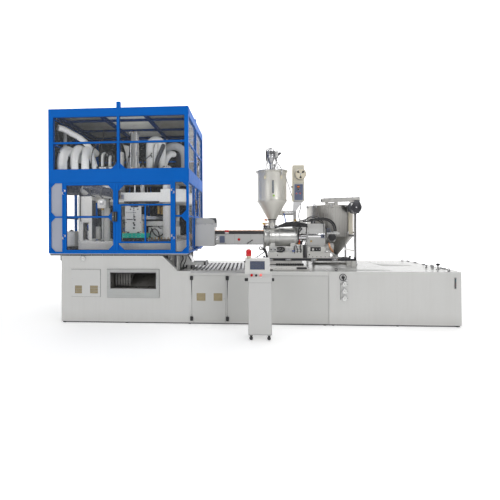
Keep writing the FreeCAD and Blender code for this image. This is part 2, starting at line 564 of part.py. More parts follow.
# Large flexible air ducts arching over the top platen, stiff enough to hold
# their own shape.
def arch(x0, x1, y, ztop, r):
    rad = (x1 - x0) / 2.0
    a = V(x0, y, 2800); bb = V(x0, y, ztop - rad)
    m = V((x0 + x1) / 2.0, y, ztop); c2 = V(x1, y, ztop - rad); e = V(x1, y, 2800)
    path = Part.Wire([Part.LineSegment(a, bb).toShape(), Part.Arc(bb, m, c2).toShape(), Part.LineSegment(c2, e).toShape()])
    ring = Part.Wire([Part.makeCircle(r, a, V(0, 0, 1))])
    return path.makePipeShell([ring], True, False)


node("air_ducts", arch(1420, 1665, 800, 3450, 82), arch(1625, 2085, 1010, 3365, 82))

# ------------------------------------------------------- injection unit ----
# Rail base on the low deck: white platform, ribs, end pedestal, two guide
# rails.
rb = [round_edges(box(3740, 4440, 100, 1900, 930, 962), 6, V(0, 0, 1))]
for y in (850, 1210):
    rb.append(fuse(box(3680, 5450, y, y + 40, 1040, 1080)))
    rb.append(box(3760, 4420, y - 10, y + 50, 962, 1040))
    rb.append(box(5370, 5450, y - 10, y + 50, 930, 1040))
node("rail_base", *rb)

# Sled: long plate on the rails and the saddle under the cylinder.
sled = [box(3770, 5160, 835, 1265, 1081, 1092), box(3780, 4430, 828, 868, 1092, 1200), box(3780, 4430, 1232, 1272, 1092, 1200),
        box(3800, 3900, 900, 1200, 1092, 1420), box(4200, 4300, 900, 1200, 1092, 1420), box(3900, 4200, 930, 1170, 1092, 1310)]
node("injection_sled", *[q.cut(cylx(3600, 4500, AX_Y, AX_Z, 190.3)).cut(cylx(3600, 3812, AX_Y, AX_Z, 208.4)) for q in sled])

# Barrel with its nozzle and heater bands; bored for the screw.
br = fuse(conex(1937, 1965, AX_Y, AX_Z, 14, 34), cylx(1964, 2075, AX_Y, AX_Z, 34), cylx(2074, 3680, AX_Y, AX_Z, 58),
          *[cylx(x, x + 150, AX_Y, AX_Z, 65) for x in (2110, 2300, 2490, 2780, 2970, 3160, 3350)])
br = br.cut(cylx(2040, 3681, AX_Y, AX_Z, 26)).cut(cylx(1930, 2041, AX_Y, AX_Z, 5))
node("barrel", br)

# Sheet cover over the barrel, open at both ends.
node("barrel_cover", box(2707, 3679, 890, 893, 1355, 1636), box(2707, 3679, 1207, 1210, 1355, 1636),
     box(2707, 3679, 893, 1207, 1633, 1636), box(2707, 3679, 893, 1207, 1355, 1358))

# Fixed purge guard between the cage and the barrel cover.
pg = [box(2320, 2705, 830, 833, 1327, 1875), box(2320, 2705, 1267, 1270, 1327, 1875),
      box(2320, 2705, 833, 1267, 1872, 1875), box(2320, 2705, 833, 1267, 1327, 1330),
      box(2702, 2705, 833, 1267, 1330, 1872).cut(cylx(2700, 2710, AX_Y, AX_Z, 72)),
      box(2322, 2703, 822, 1278, 1875, 1883)]
brk = prism_y([(2705, 1700), (2755, 1700), (2755, 1840), (2730, 1865), (2705, 1865)], 835, 843)
node("purge_guard", *pg, brk)

# Injection cylinder: front flange, body with the shaft's end cap, throat seat,
# and the hydraulic block on its back end.
ic = fuse(cylx(3680, 3716, AX_Y, AX_Z, 208), cylx(3715, 3790, AX_Y, AX_Z, 196), cylx(3789, 3806, AX_Y, AX_Z, 204),
          cylx(3805, 4340, AX_Y, AX_Z, 190))
seat = cylz(1650, 1724, HOP_X, AX_Y, 88).cut(cylz(1640, 1725, HOP_X, AX_Y, 60)).cut(ic)
ic = ic.cut(cylx(3840, 4315, AX_Y, AX_Z, 150)).cut(cylx(4300, 4345, AX_Y, AX_Z, 60.5)).cut(cylx(3679, 3841, AX_Y, AX_Z, 26))
ic = ic.cut(cylz(1520, 1725, HOP_X, AX_Y, 60))
blk = round_edges(box(4340, 4500, 850, 1170, 1572, 1790), 6, V(0, 0, 1))
fit = [box(4380, 4440, 935, 985, 1790, 1840), box(4380, 4440, 845, 891, 1790, 1826)]
node("injection_cylinder", ic, seat, fuse(blk, *fit))

# Screw: core, helical flight and drive shank, one piece.
core = fuse(conex(2060, 2110, AX_Y, AX_Z, 4, 17), cylx(2109, 3701, AX_Y, AX_Z, 17), cylx(3700, 3850, AX_Y, AX_Z, 25.6),
            cylx(3849, 4520, AX_Y, AX_Z, 60))
node("screw", core)

# Drive: gear housing of faceted section, foot on the sled plate, hydraulic
# motor behind it.
sec = [(930, 1764), (1150, 1764), (1200, 1690), (1232, 1506), (1200, 1322), (1200, 1196), (900, 1196), (900, 1322),
       (868, 1506), (885, 1660)]
house = prism_x(sec, 4520, 4875)
foot = box(4522, 4966, 850, 1250, 1093, 1197)
low = box(4520, 4890, 855, 1245, 1196, 1300)
slot = fuse(box(4600, 4770, 850, 902, 1222, 1272), cyly(850, 902, 4600, 1247, 25), cyly(850, 902, 4770, 1247, 25))
mot = fuse(cylx(4874, 5090, AX_Y, 1500, 100), cyly(862, 1000, 5000, 1500, 74), box(4905, 5140, 842, 1110, 1560, 1590),
           box(4905, 5060, 900, 1110, 1500, 1561), cylx(4874, 5060, AX_Y, 1300, 80))
ports = fuse(cylz(1589, 1610, 5100, 960, 22), cylz(1589, 1610, 5045, 868, 22))
sd = fuse(house, low, foot, mot, ports).cut(slot)
node("screw_drive", sd)

# Hopper: shell rolled from four plates with end rings, cone with the stub where
# dry air enters, neck.
hx = HOP_X
drum = fuse(cylz(2216, 2815, hx, AX_Y, 292), cylz(2216, 2232, hx, AX_Y, 305), cylz(2797, 2815, hx, AX_Y, 310)).cut(
    cylz(2215, 2816, hx, AX_Y, 288))
plates = []
for a in (0, 90, 180, 270):
    c0, c1 = math.radians(a - 45), math.radians(a + 45)
    plates.append(drum.common(prism_z([(hx, AX_Y), (hx + 600 * math.cos(c0), AX_Y + 600 * math.sin(c0)),
                                       (hx + 600 * math.cos(c1), AX_Y + 600 * math.sin(c1))], 2200, 2830)))
funnel = fuse(conez(1856, 2216, hx, AX_Y, 86, 292), cylx(3950, 4065, AX_Y, 1982, 42), cylx(4052, 4065, AX_Y, 1982, 60)).cut(
    fuse(conez(1856, 2216, hx, AX_Y, 82, 288), cylx(3950, 4066, AX_Y, 1982, 38)))
neck = fuse(cylz(1724, 1856, hx, AX_Y, 70), cylz(1838, 1856, hx, AX_Y, 92), cylz(1724, 1738, hx, AX_Y, 95)).cut(
    cylz(1723, 1857, hx, AX_Y, 60))
node("hopper", *plates, funnel, neck)

# Loader: lid, tripod, bowl with its clamp ring and motor.
lid = cylz(2815, 2829, HOP_X, AX_Y, 314)
cx = HOP_X
bowl = fuse(cylz(2829, 2968, cx + 10, AX_Y, 62), conez(2967, 3084, cx - 20, AX_Y, 34, 86), cylz(3083, 3232, cx - 20, AX_Y, 90),
            cylz(3140, 3158, cx - 20, AX_Y, 99), conez(3231, 3262, cx - 20, AX_Y, 90, 55), cylz(3261, 3300, cx - 20, AX_Y, 20),
            box(cx + 60, cx + 128, AX_Y - 50, AX_Y + 50, 3090, 3215))
legs = []
for a in (90, 210, 330):
    s, e = V(cx + 150 * math.cos(math.radians(a)), AX_Y + 150 * math.sin(math.radians(a)), 2825), \
        V(cx - 20 + 82 * math.cos(math.radians(a)), AX_Y + 82 * math.sin(math.radians(a)), 3112)
    dd = e.sub(s)
    legs.append(Part.makeCylinder(8, dd.Length, s, dd))
legs = [q.cut(lid).cut(bowl) for q in legs]
node("hopper_loader", lid, bowl, *legs)

# Hot-air dryer: cream case with its blower in front, control box below,
# funnel and pipe to the hopper, and a leg on the cylinder.
case = round_edges(box(4262, 4484, 950, 1150, 2216, 2930), 6, V(0, 0, 1))
blower = fuse(cyly(862, 950, 4398, 2738, 108), cyly(852, 863, 4398, 2738, 98))
panel = box(4280, 4462, 940, 950, 2222, 2560)
fun = Part.makeLoft([Part.makePolygon([V(4280, 970, 2216), V(4460, 970, 2216), V(4460, 1130, 2216), V(4280, 1130, 2216), V(4280, 970, 2216)]),
                     Part.makePolygon([V(4262, 1008, 2024), V(4330, 1008, 2024), V(4330, 1092, 2024), V(4262, 1092, 2024), V(4262, 1008, 2024)])], True)
pipe = fuse(cylx(4078, 4262, AX_Y, 1982, 42), cylx(4065, 4078, AX_Y, 1982, 60))
elbow = box(4262, 4330, 1008, 1092, 1942, 2024)
leg = box(4275, 4330, 1022, 1078, 1640, 1942).cut(cylx(4200, 4400, AX_Y, AX_Z, 190))
foot = box(4255, 4331, 1010, 1090, 1690, 1712).cut(cylx(4200, 4400, AX_Y, AX_Z, 190))
node("hot_air_dryer", case, blower, panel, fun, pipe, elbow, fuse(leg, foot))

# Two hydraulic hoses from the block, over the gear housing, to the motor.
HOSE_R = 15.0
HOSE_1 = [(4440, 960, 1815), (4532, 960, 1815), (4628, 957, 1838), (4724, 956, 1864), (4822, 957, 1876), (4918, 960, 1866),
          (5002, 960, 1831), (5066, 960, 1767), (5100, 960, 1684), (5100, 960, 1610)]
HOSE_2 = [(4440, 868, 1808), (4528, 868, 1808), (4618, 866, 1824), (4708, 865, 1842), (4798, 866, 1848), (4884, 868, 1838),
          (4958, 868, 1807), (5014, 868, 1751), (5045, 868, 1678), (5045, 868, 1610)]
node("hose_pressure", route_tube(HOSE_1, HOSE_R))
node("hose_return", route_tube(HOSE_2, HOSE_R))

# --------------------------------------------------------------- mixing ----
# Stainless mixing tank on four legs: shell, eccentric cone, lid, lugs, braces.
def off_cone(r0, r1, z0, z1, x1):
    w0 = Part.Wire([Part.makeCircle(r0, V(MIX_X, MIX_Y, z0), V(0, 0, 1))])
    w1 = Part.Wire([Part.makeCircle(r1, V(x1, MIX_Y, z1), V(0, 0, 1))])
    return Part.makeLoft([w1, w0], True, True)


OUT_X = 5262.0
tank = fuse(cylz(1498.5, 2149, MIX_X, MIX_Y, MIX_R), cylz(2139, 2149, MIX_X, MIX_Y, 497)).cut(
    cylz(1498, 2150, MIX_X, MIX_Y, MIX_R - 4))
cone = fuse(off_cone(MIX_R, 62, 1498.5, 1100, OUT_X), cylz(1045, 1101, OUT_X, MIX_Y, 62), cylz(1045, 1057, OUT_X, MIX_Y, 80)).cut(
    fuse(off_cone(MIX_R - 4, 58, 1498.5, 1100, OUT_X), cylz(1044, 1101, OUT_X, MIX_Y, 58)))
mlid = conez(2149, 2186, MIX_X, MIX_Y, MIX_R, 150).cut(conez(2148.9, 2182, MIX_X, MIX_Y, MIX_R - 4, 150))
bits = [tank, cone, mlid]
LEGS = [(4700, 1320), (5555, 1320), (4700, 2095), (5555, 2095)]
for (x, y) in LEGS:
    zt = 1975 if (x, y) == (5555, 1320) else 1545
    bits.append(tube_z(x, x + 45, y, y + 45, 930, zt, 4))
    ix, iy = (x + 45 if x < MIX_X else x), (y + 45 if y < MIX_Y else y)
    tx, ty = (ix + 130 if x < MIX_X else ix - 130), (iy + 130 if y < MIX_Y else iy - 130)
    q = [(ix, iy - 22 if y < MIX_Y else iy + 22), (ix, iy), (ix - 22 if x < MIX_X else ix + 22, iy), (tx, ty)]
    lug = prism_z([(ix, iy), (ix, iy - 40 if y < MIX_Y else iy + 40), (tx, ty - 40 if y < MIX_Y else ty + 40), (tx, ty)], 1500, 1540)
    bits.append(lug.cut(cylz(1490, 1550, MIX_X, MIX_Y, MIX_R)))
for y in (1320, 2095):
    bits.append(tube_x(4745, 5555, y + 5, y + 40, 930, 965, 3))
for x in (4700, 5555):
    bits.append(tube_y(x + 5, x + 40, 1365, 2095, 1180, 1215, 3))
node("mixer_tank", *bits)

# Feed trough over the lid with its gearmotor on the front leg.
tr = fuse(box(4965, 5745, 1560, 1700, 2238, 2316), box(4958, 5750, 1552, 1708, 2316, 2322))
tr.rotate(V(5350, 1630, 2280), V(0, 1, 0), -1.6)
pads = [box(5030, 5090, 1590, 1670, 2176, 2244), box(5230, 5290, 1590, 1670, 2170, 2240)]
pads = [q.cut(conez(2149, 2186, MIX_X, MIX_Y, MIX_R, 150)) for q in pads]
mm = fuse(cyly(1130, 1330, 5535, 2092, 117), cyly(1112, 1131, 5535, 2092, 100))
case = fuse(box(5560, 5633, 1200, 1330, 2180, 2236), box(5560, 5645, 1320, 1700, 2190, 2258))
feet = box(5540, 5620, 1180, 1365, 1975, 2010)
node("mixer_drive", fuse(tr, *pads, mm, case, feet))

# --------------------------------------------------------------- console ----
body = box(3361, 3717, -930, -600, 85, 946)
body = round_edges(body, 14, V(0, 0, 1))
body = body.cut(box(3364, 3714, -927, -603, 88, 930))
ledge = prism_x([(-930, 946), (-905, 1000), (-600, 1000), (-600, 946)], 3361, 3717)
handles = []
for x0, x1 in ((3310, 3361), (3717, 3757)):
    handles.append(round_edges(box(x0, x1, -830, -790, 879, 925), 8, V(0, 1, 0)))
node("console_cabinet", body, ledge, *handles)
hd = prism_x([(-910, 1000), (-875, 1225), (-625, 1225), (-600, 1190), (-600, 1000)], 3315, 3690)
hd = round_edges(hd, 8, V(1, 0, 0), lambda p: p.z > 1220)
win = prism_x([(-925, 1062), (-904, 1190), (-876, 1190), (-896, 1062)], 3389, 3614)
node("console_head", hd.cut(win))
bl = fuse(cylz(1225, 1262, 3373, -820, 34), cylz(1261, 1345, 3373, -820, 41), conez(1344, 1366, 3373, -820, 41, 20))
node("beacon_lamp", bl)


# Buttons on the sloping ledge under the screen; they travel square to it.
SL = V(0, -54, 25).normalize()           # outward normal of the ledge's face
SL_R = FreeCAD.Rotation(V(0, 0, 1), SL)


def on_ledge(x, t, shapes):
    """shapes drawn round +Z at the origin, moved to the ledge face"""
    z = 946 + t * 54.0
    y = -930 + t * 25.0
    out = []
    for s in shapes:
        s = s.copy()
        s.Placement = FreeCAD.Placement(V(x, y, z), SL_R).multiply(s.Placement)
        out.append(s)
    return out


EST, MODE, START = (3415, 0.55), (3482, 0.55), (3551, 0.62)
ledge_cut = ledge
for x, t in (EST, START):
    ledge_cut = ledge_cut.cut(on_ledge(x, t, [cylz(-30, 2, 0, 0, 8.4)])[0])
ledge_cut = ledge_cut.cut(on_ledge(MODE[0], MODE[1], [cylz(-30, 2, 0, 0, 8.4)])[0])
nodes["console_cabinet"][1] = ledge_cut
node("estop_button", fuse(*on_ledge(EST[0], EST[1], [cylz(-18, 10, 0, 0, 8), cylz(9, 22, 0, 0, 20)])))
node("start_button", fuse(*on_ledge(START[0], START[1], [cylz(-18, 8, 0, 0, 8), cylz(7, 20, 0, 0, 17)])))
node("mode_switch", fuse(*on_ledge(MODE[0], MODE[1], [cylz(-18, 2, 0, 0, 8), cylz(1, 12, 0, 0, 16), box(-4, 4, -16, 16, 11, 20)])))

# Casters: plate, two cheeks and axle pin each; wheels turn on the pins.
CASTERS = [(3405, -880), (3673, -880), (3405, -650), (3673, -650)]
fk_ = []
for x, y in CASTERS:
    s = fuse(box(x - 30, x + 30, y - 24, y + 24, 80, 85),
             prism_y([(x - 24, 80.5), (x + 24, 80.5), (x + 10, 20), (x - 10, 20)], y - 17, y - 14),
             prism_y([(x - 24, 80.5), (x + 24, 80.5), (x + 10, 20), (x - 10, 20)], y + 14, y + 17),
             cyly(y - 17, y + 17, x, 28, 5))
    fk_.append(s)
nodes["console_cabinet"] += fk_
for i, (x, y) in enumerate(CASTERS):
    wh = cyly(y - 12, y + 12, x, 28, 28)
    wh = wh.makeFillet(5, [e for e in wh.Edges if len(e.Vertexes) == 1 or e.Curve.TypeId == 'Part::GeomCircle'])
    node("caster_wheel_%d" % (i + 1), wh.cut(cyly(y - 13, y + 13, x, 28, 5.3)))

# Rotary main switch on the power cabinet.
ms = fuse(cyly(-30, -9.2, 4987, 833, 26), box(4978, 4996, -48, -29, 790, 876))
node("main_switch", ms)

# ---------------------------------------------------------------- output ----
SHIFT = V(-SHIFT_X, -SHIFT_Y, 0)
for name, shapes in nodes.items():
    solids = []
    for s in shapes:
        s = s.copy()
        s.translate(SHIFT)
        solids += s.Solids
    for s in solids:
        if not s.isValid() or s.Volume <= 0:
            print("BAD", name, s.isValid(), s.Volume)
    out = solids[0] if len(solids) == 1 else Part.makeCompound(solids)
    nodes[name] = out
    out.exportStep("parts/%s.step" % name)
bb = FreeCAD.BoundBox()
for s in nodes.values():
    bb.add(s.BoundBox)
print("nodes", len(nodes), "solids", sum(len(s.Solids) for s in nodes.values()))
print("box", [round(v, 2) for v in (bb.XMin, bb.XMax, bb.YMin, bb.YMax, bb.ZMin, bb.ZMax)])
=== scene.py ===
import math
import random

import bmesh
import bpy
from mathutils import Matrix, Vector


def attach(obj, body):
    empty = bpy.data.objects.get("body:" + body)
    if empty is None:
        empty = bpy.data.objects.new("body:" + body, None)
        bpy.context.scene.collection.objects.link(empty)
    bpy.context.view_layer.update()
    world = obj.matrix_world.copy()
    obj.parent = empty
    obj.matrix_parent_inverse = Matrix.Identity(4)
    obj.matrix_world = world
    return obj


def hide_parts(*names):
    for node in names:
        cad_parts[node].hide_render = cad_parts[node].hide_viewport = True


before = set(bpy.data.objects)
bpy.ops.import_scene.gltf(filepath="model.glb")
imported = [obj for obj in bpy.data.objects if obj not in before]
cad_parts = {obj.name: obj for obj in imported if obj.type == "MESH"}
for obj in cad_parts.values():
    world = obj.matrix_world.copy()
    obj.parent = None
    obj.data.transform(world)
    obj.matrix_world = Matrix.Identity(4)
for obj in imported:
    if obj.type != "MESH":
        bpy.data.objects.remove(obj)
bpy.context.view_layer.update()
rnd = random.Random(7)

# The layout frame of the machine in millimetres: X from the left end of the
# base, Y from its front face, Z from the floor.
SX, SY = 3357.5, 646.19


def P(x, y, z):
    return Vector(((x - SX) / 1000.0, (y - SY) / 1000.0, z / 1000.0))


# ------------------------------------------------------------------ camera ---
scene = bpy.context.scene
cam_data = bpy.data.cameras.new("camera")
cam = bpy.data.objects.new("camera", cam_data)
scene.collection.objects.link(cam)
cam.location = P(3356, -6476, 1700)
cam.rotation_euler = (math.pi / 2, 0, 0.0649)
cam_data.sensor_width = 36
cam_data.lens = 370 / 500 * 36
cam_data.shift_x = (250 - 223.43) / 500
cam_data.shift_y = -(250 - 227.35) / 500
cam_data.clip_end = 200
cam_data.dof.use_dof = False
cam.rotation_euler = (Matrix.Rotation(0.0649, 3, "Z") @ Matrix.Rotation(math.pi / 2, 3, "X")
                      @ Matrix.Rotation(-0.0042, 3, "Z")).to_euler()
scene.camera = cam
scene.view_settings.view_transform = "Standard"
scene.view_settings.look = "None"


# --------------------------------------------------------------- materials ---
def new_mat(name):
    m = bpy.data.materials.new(name)
    m.use_nodes = True
    nt = m.node_tree
    return m, nt, nt.nodes["Principled BSDF"]


def mul(c, k):
    return tuple(min(1.0, max(0.0, v * k)) for v in c[:3]) + (1.0,)


def ramp2(nt, fac, c0, c1, p0=0.3, p1=0.7):
    r = nt.nodes.new("ShaderNodeValToRGB")
    r.color_ramp.elements[0].position = p0
    r.color_ramp.elements[0].color = c0
    r.color_ramp.elements[1].position = p1
    r.color_ramp.elements[1].color = c1
    nt.links.new(fac, r.inputs["Fac"])
    return r.outputs["Color"]


def coords(nt, scale=(1, 1, 1), rot=(0, 0, 0)):
    t = nt.nodes.new("ShaderNodeTexCoord")
    mp = nt.nodes.new("ShaderNodeMapping")
    mp.inputs["Scale"].default_value = scale
    mp.inputs["Rotation"].default_value = rot
    nt.links.new(t.outputs["Object"], mp.inputs["Vector"])
    return mp.outputs["Vector"], t


def noise(nt, vec, scale, detail=3, rough=0.5):
    n = nt.nodes.new("ShaderNodeTexNoise")
    n.inputs["Scale"].default_value = scale
    n.inputs["Detail"].default_value = detail
    n.inputs["Roughness"].default_value = rough
    nt.links.new(vec, n.inputs["Vector"])
    return n.outputs["Fac"]


def rng(nt, fac, a, b, c, d):
    m = nt.nodes.new("ShaderNodeMapRange")
    m.inputs["From Min"].default_value = a
    m.inputs["From Max"].default_value = b
    m.inputs["To Min"].default_value = c
    m.inputs["To Max"].default_value = d
    nt.links.new(fac, m.inputs["Value"])
    return m.outputs["Result"]


def bump(nt, bsdf, fac, strength, dist=0.001):
    b = nt.nodes.new("ShaderNodeBump")
    b.inputs["Strength"].default_value = strength
    b.inputs["Distance"].default_value = dist
    nt.links.new(fac, b.inputs["Height"])
    nt.links.new(b.outputs["Normal"], bsdf.inputs["Normal"])


def paint(name, col, rough=0.38, var=0.04, peel=0.12, coat=0.0, scale=1.6, dirt=0.0, dirt_z=(0.0, 0.25), metallic=0.0,
          streak=0.0, spec=0.5, rvar=1.0):
    """Enamel or powder coat: slow colour drift, a little dust low down, fine orange peel."""
    m, nt, b = new_mat(name)
    vec, tc = coords(nt)
    big = noise(nt, vec, scale, 4, 0.55)
    c = ramp2(nt, big, mul(col, 1 - var), mul(col, 1 + var))
    if streak:
        v2, _ = coords(nt, (9, 9, 0.35))
        s = noise(nt, v2, 2.2, 5, 0.6)
        mx = nt.nodes.new("ShaderNodeMix")
        mx.data_type = "RGBA"
        mx.blend_type = "MULTIPLY"
        nt.links.new(rng(nt, s, 0.45, 0.8, 0.0, streak), mx.inputs["Factor"])
        nt.links.new(c, mx.inputs["A"])
        mx.inputs["B"].default_value = (0.75, 0.73, 0.69, 1)
        c = mx.outputs["Result"]
    if dirt:
        sep = nt.nodes.new("ShaderNodeSeparateXYZ")
        nt.links.new(tc.outputs["Object"], sep.inputs["Vector"])
        low = rng(nt, sep.outputs["Z"], dirt_z[0], dirt_z[1], 1.0, 0.0)
        patch = noise(nt, vec, 5.0, 6, 0.65)
        mth = nt.nodes.new("ShaderNodeMath")
        mth.operation = "MULTIPLY"
        nt.links.new(low, mth.inputs[0])
        nt.links.new(rng(nt, patch, 0.3, 0.7, 0.1, dirt), mth.inputs[1])
        mx = nt.nodes.new("ShaderNodeMix")
        mx.data_type = "RGBA"
        nt.links.new(mth.outputs[0], mx.inputs["Factor"])
        nt.links.new(c, mx.inputs["A"])
        mx.inputs["B"].default_value = (0.36, 0.34, 0.31, 1)
        c = mx.outputs["Result"]
    nt.links.new(c, b.inputs["Base Color"])
    fine = noise(nt, vec, 420, 2, 0.5)
    nt.links.new(rng(nt, noise(nt, vec, 14, 4), 0.3, 0.7, rough - 0.05 * rvar, rough + 0.07 * rvar), b.inputs["Roughness"])
    if peel:
        bump(nt, b, fine, peel, 0.0004)
    b.inputs["Metallic"].default_value = metallic
    b.inputs["Specular IOR Level"].default_value = spec
    if coat:
        b.inputs["Coat Weight"].default_value = coat
        b.inputs["Coat Roughness"].default_value = 0.12
    return m


def brushed(name, col, rough=0.3, axis=0, grain=240, var=0.08, strength=0.10, blotch=0.06, metallic=1.0):
    """Ground or brushed metal; the grain runs along one axis."""
    m, nt, b = new_mat(name)
    s = [1.0, 1.0, 1.0]
    s[axis] = 0.012
    vec, _ = coords(nt, tuple(s))
    g = noise(nt, vec, grain, 3, 0.6)
    v2, _ = coords(nt)
    bl = noise(nt, v2, 4.0, 5, 0.6)
    c1 = ramp2(nt, g, mul(col, 1 - var), mul(col, 1 + var), 0.25, 0.75)
    mx = nt.nodes.new("ShaderNodeMix")
    mx.data_type = "RGBA"
    mx.blend_type = "MULTIPLY"
    nt.links.new(rng(nt, bl, 0.35, 0.75, 0.0, blotch * 4), mx.inputs["Factor"])
    nt.links.new(c1, mx.inputs["A"])
    mx.inputs["B"].default_value = (0.72, 0.71, 0.70, 1)
    nt.links.new(mx.outputs["Result"], b.inputs["Base Color"])
    nt.links.new(rng(nt, g, 0.3, 0.7, rough - 0.07, rough + 0.09), b.inputs["Roughness"])
    b.inputs["Metallic"].default_value = metallic
    bump(nt, b, g, strength, 0.0003)
    return m


def plastic(name, col, rough=0.35, grain=0.12, gscale=900, coat=0.0, var=0.03):
    m, nt, b = new_mat(name)
    vec, _ = coords(nt)
    nt.links.new(ramp2(nt, noise(nt, vec, 12, 3), mul(col, 1 - var), mul(col, 1 + var)), b.inputs["Base Color"])
    nt.links.new(rng(nt, noise(nt, vec, 40, 3), 0.3, 0.7, rough - 0.04, rough + 0.05), b.inputs["Roughness"])
    bump(nt, b, noise(nt, vec, gscale, 2), grain, 0.0003)
    if coat:
        b.inputs["Coat Weight"].default_value = coat
        b.inputs["Coat Roughness"].default_value = 0.06
    return m


def rubber(name, col=(0.03, 0.03, 0.032), rough=0.6):
    m, nt, b = new_mat(name)
    vec, _ = coords(nt)
    nt.links.new(ramp2(nt, noise(nt, vec, 25, 4), mul(col, 0.8), mul(col, 1.35)), b.inputs["Base Color"])
    nt.links.new(rng(nt, noise(nt, vec, 60, 3), 0.3, 0.7, rough - 0.08, rough + 0.1), b.inputs["Roughness"])
    bump(nt, b, noise(nt, vec, 600, 2), 0.25, 0.0004)
    return m


def clear(name, tint=(0.80, 0.90, 0.97), alpha=0.16, edge=0.55, rough=0.06, spec=0.3):
    """Clear acrylic sheet: mostly see-through, glossier and less clear at a grazing angle, with faint haze."""
    m, nt, b = new_mat(name)
    vec, _ = coords(nt)
    nt.links.new(ramp2(nt, noise(nt, vec, 2.5, 4), mul(tint, 0.93), mul(tint, 1.05)), b.inputs["Base Color"])
    nt.links.new(rng(nt, noise(nt, vec, 6, 4), 0.3, 0.7, rough * 0.7, rough * 1.6), b.inputs["Roughness"])
    b.inputs["IOR"].default_value = 1.49
    b.inputs["Specular IOR Level"].default_value = spec
    lw = nt.nodes.new("ShaderNodeLayerWeight")
    lw.inputs["Blend"].default_value = 0.35
    a0 = rng(nt, lw.outputs["Facing"], 0.0, 1.0, alpha, edge)
    nt.links.new(a0, b.inputs["Alpha"])
    bump(nt, b, noise(nt, vec, 1.2, 2), 0.05, 0.002)
    return m


def glow(name, col, strength, rough=0.3):
    m, nt, b = new_mat(name)
    vec, _ = coords(nt)
    c = ramp2(nt, noise(nt, vec, 60, 2), mul(col, 0.85), mul(col, 1.1))
    nt.links.new(c, b.inputs["Base Color"])
    nt.links.new(c, b.inputs["Emission Color"])
    b.inputs["Emission Strength"].default_value = strength
    b.inputs["Roughness"].default_value = rough
    return m


M = {}
M["white"] = paint("white_enamel", (0.64, 0.64, 0.625), 0.34, 0.02, 0.10, dirt=0.25, dirt_z=(0.0, 0.22), streak=0.12)
# deck grey on the top faces of the white base, with little specular: painted reflection, standing in for the dark
# machinery mirrored in the glossy deck
M["deck"] = paint("deck_grey_painted_reflection", (0.40, 0.40, 0.385), 0.20, 0.02, 0.0, spec=0.20)
M["cover"] = paint("cover_grey", (0.64, 0.642, 0.63), 0.36, 0.02, 0.10)
M["door"] = paint("door_grey", (0.58, 0.582, 0.565), 0.36, 0.02, 0.10, dirt=0.25, dirt_z=(0.0, 0.25))
# near-black for dark parts, and painted shade for the recessed bottom band of the base, the slot under the guard and
# the strip under the conveyor's front lip
M["dark_and_painted_shade"] = paint("near_black_and_painted_shade", (0.10, 0.10, 0.105), 0.5, 0.1, 0.3)
M["seam"] = paint("seam_shadow", (0.13, 0.13, 0.135), 0.6, 0.1, 0.2)
M["blue"] = paint("guard_blue", (0.003, 0.13, 0.54), 0.5, 0.04, 0.08, spec=0.08)
M["lilac"] = paint("panel_lilac", (0.40, 0.425, 0.50), 0.42, 0.05, 0.12, spec=0.3)
M["filter"] = paint("filter_mat", (0.46, 0.40, 0.26), 0.8, 0.18, 0.6, scale=30)
# roof sheets: the dark tint is painted shade for their shaded undersides; the near-white tint of the middle pane is
# painted light for the brightness on that pane
M["roof"] = clear("roof_sheet_painted_shade", (0.20, 0.19, 0.155), 0.86, 0.90, 0.35, spec=0.2)
M["roof_painted_light"] = clear("roof_painted_light", (0.95, 0.95, 0.87), 0.90, 0.94, 0.35, spec=0.2)
# near-black, nearly opaque sheets at the back and upper left: painted shade, standing in for the darkness seen through
# the guard and darkening its inside
M["painted_dark_sheet"] = clear("dark_sheet_painted_shade", (0.02, 0.022, 0.025), 0.93, 0.97, 0.2, spec=0.15)
M["drum"] = paint("drum_grey", (0.045, 0.05, 0.07), 0.28, 0.10, 0.15)
M["clear"] = clear("clear_sheet", (0.70, 0.74, 0.77), 0.015, 0.14, 0.04, spec=0.25)
M["steel"] = brushed("brushed_steel", (0.55, 0.55, 0.56), 0.32, 0)
M["steel_y"] = brushed("ground_steel_y", (0.60, 0.60, 0.61), 0.26, 1)
M["steel_z"] = brushed("ground_steel_z", (0.60, 0.60, 0.61), 0.26, 2)
M["chrome"] = brushed("ground_chrome", (0.80, 0.80, 0.81), 0.14, 1, var=0.04, strength=0.04, blotch=0.02)
M["chrome_z"] = brushed("ground_chrome_z", (0.80, 0.80, 0.81), 0.12, 2, var=0.04, strength=0.04, blotch=0.02)
M["tool"] = brushed("tool_steel", (0.42, 0.43, 0.44), 0.38, 0, grain=120)
M["dark_steel"] = brushed("blackened_steel", (0.09, 0.09, 0.10), 0.42, 0, blotch=0.03)
M["cast"] = paint("cast_white", (0.74, 0.73, 0.70), 0.42, 0.04, 0.35, streak=0.1)
M["platen"] = paint("platen_white", (0.90, 0.89, 0.84), 0.38, 0.03, 0.25)
M["black"] = paint("black_enamel", (0.025, 0.025, 0.028), 0.4, 0.15, 0.2)
M["green"] = paint("mould_green", (0.0, 0.50, 0.36), 0.35, 0.08, 0.15)
M["brass"] = brushed("brass", (0.62, 0.42, 0.16), 0.28, 2, grain=160)
M["copper"] = brushed("copper", (0.70, 0.36, 0.20), 0.3, 0, grain=160)
M["greige"] = paint("hopper_greige", (0.70, 0.685, 0.63), 0.36, 0.02, 0.05, metallic=0.3, rvar=0.3)
M["cream"] = paint("dryer_cream", (0.70, 0.66, 0.54), 0.34, 0.03, 0.12)
M["panel_blue"] = paint("panel_blue_grey", (0.13, 0.155, 0.24), 0.4, 0.04, 0.12)
M["gear"] = paint("gear_grey", (0.56, 0.56, 0.55), 0.40, 0.04, 0.20, metallic=0.2, rvar=0.5)
M["unit"] = paint("unit_light", (0.62, 0.62, 0.61), 0.35, 0.015, 0.06, metallic=0.15, rvar=0.3)
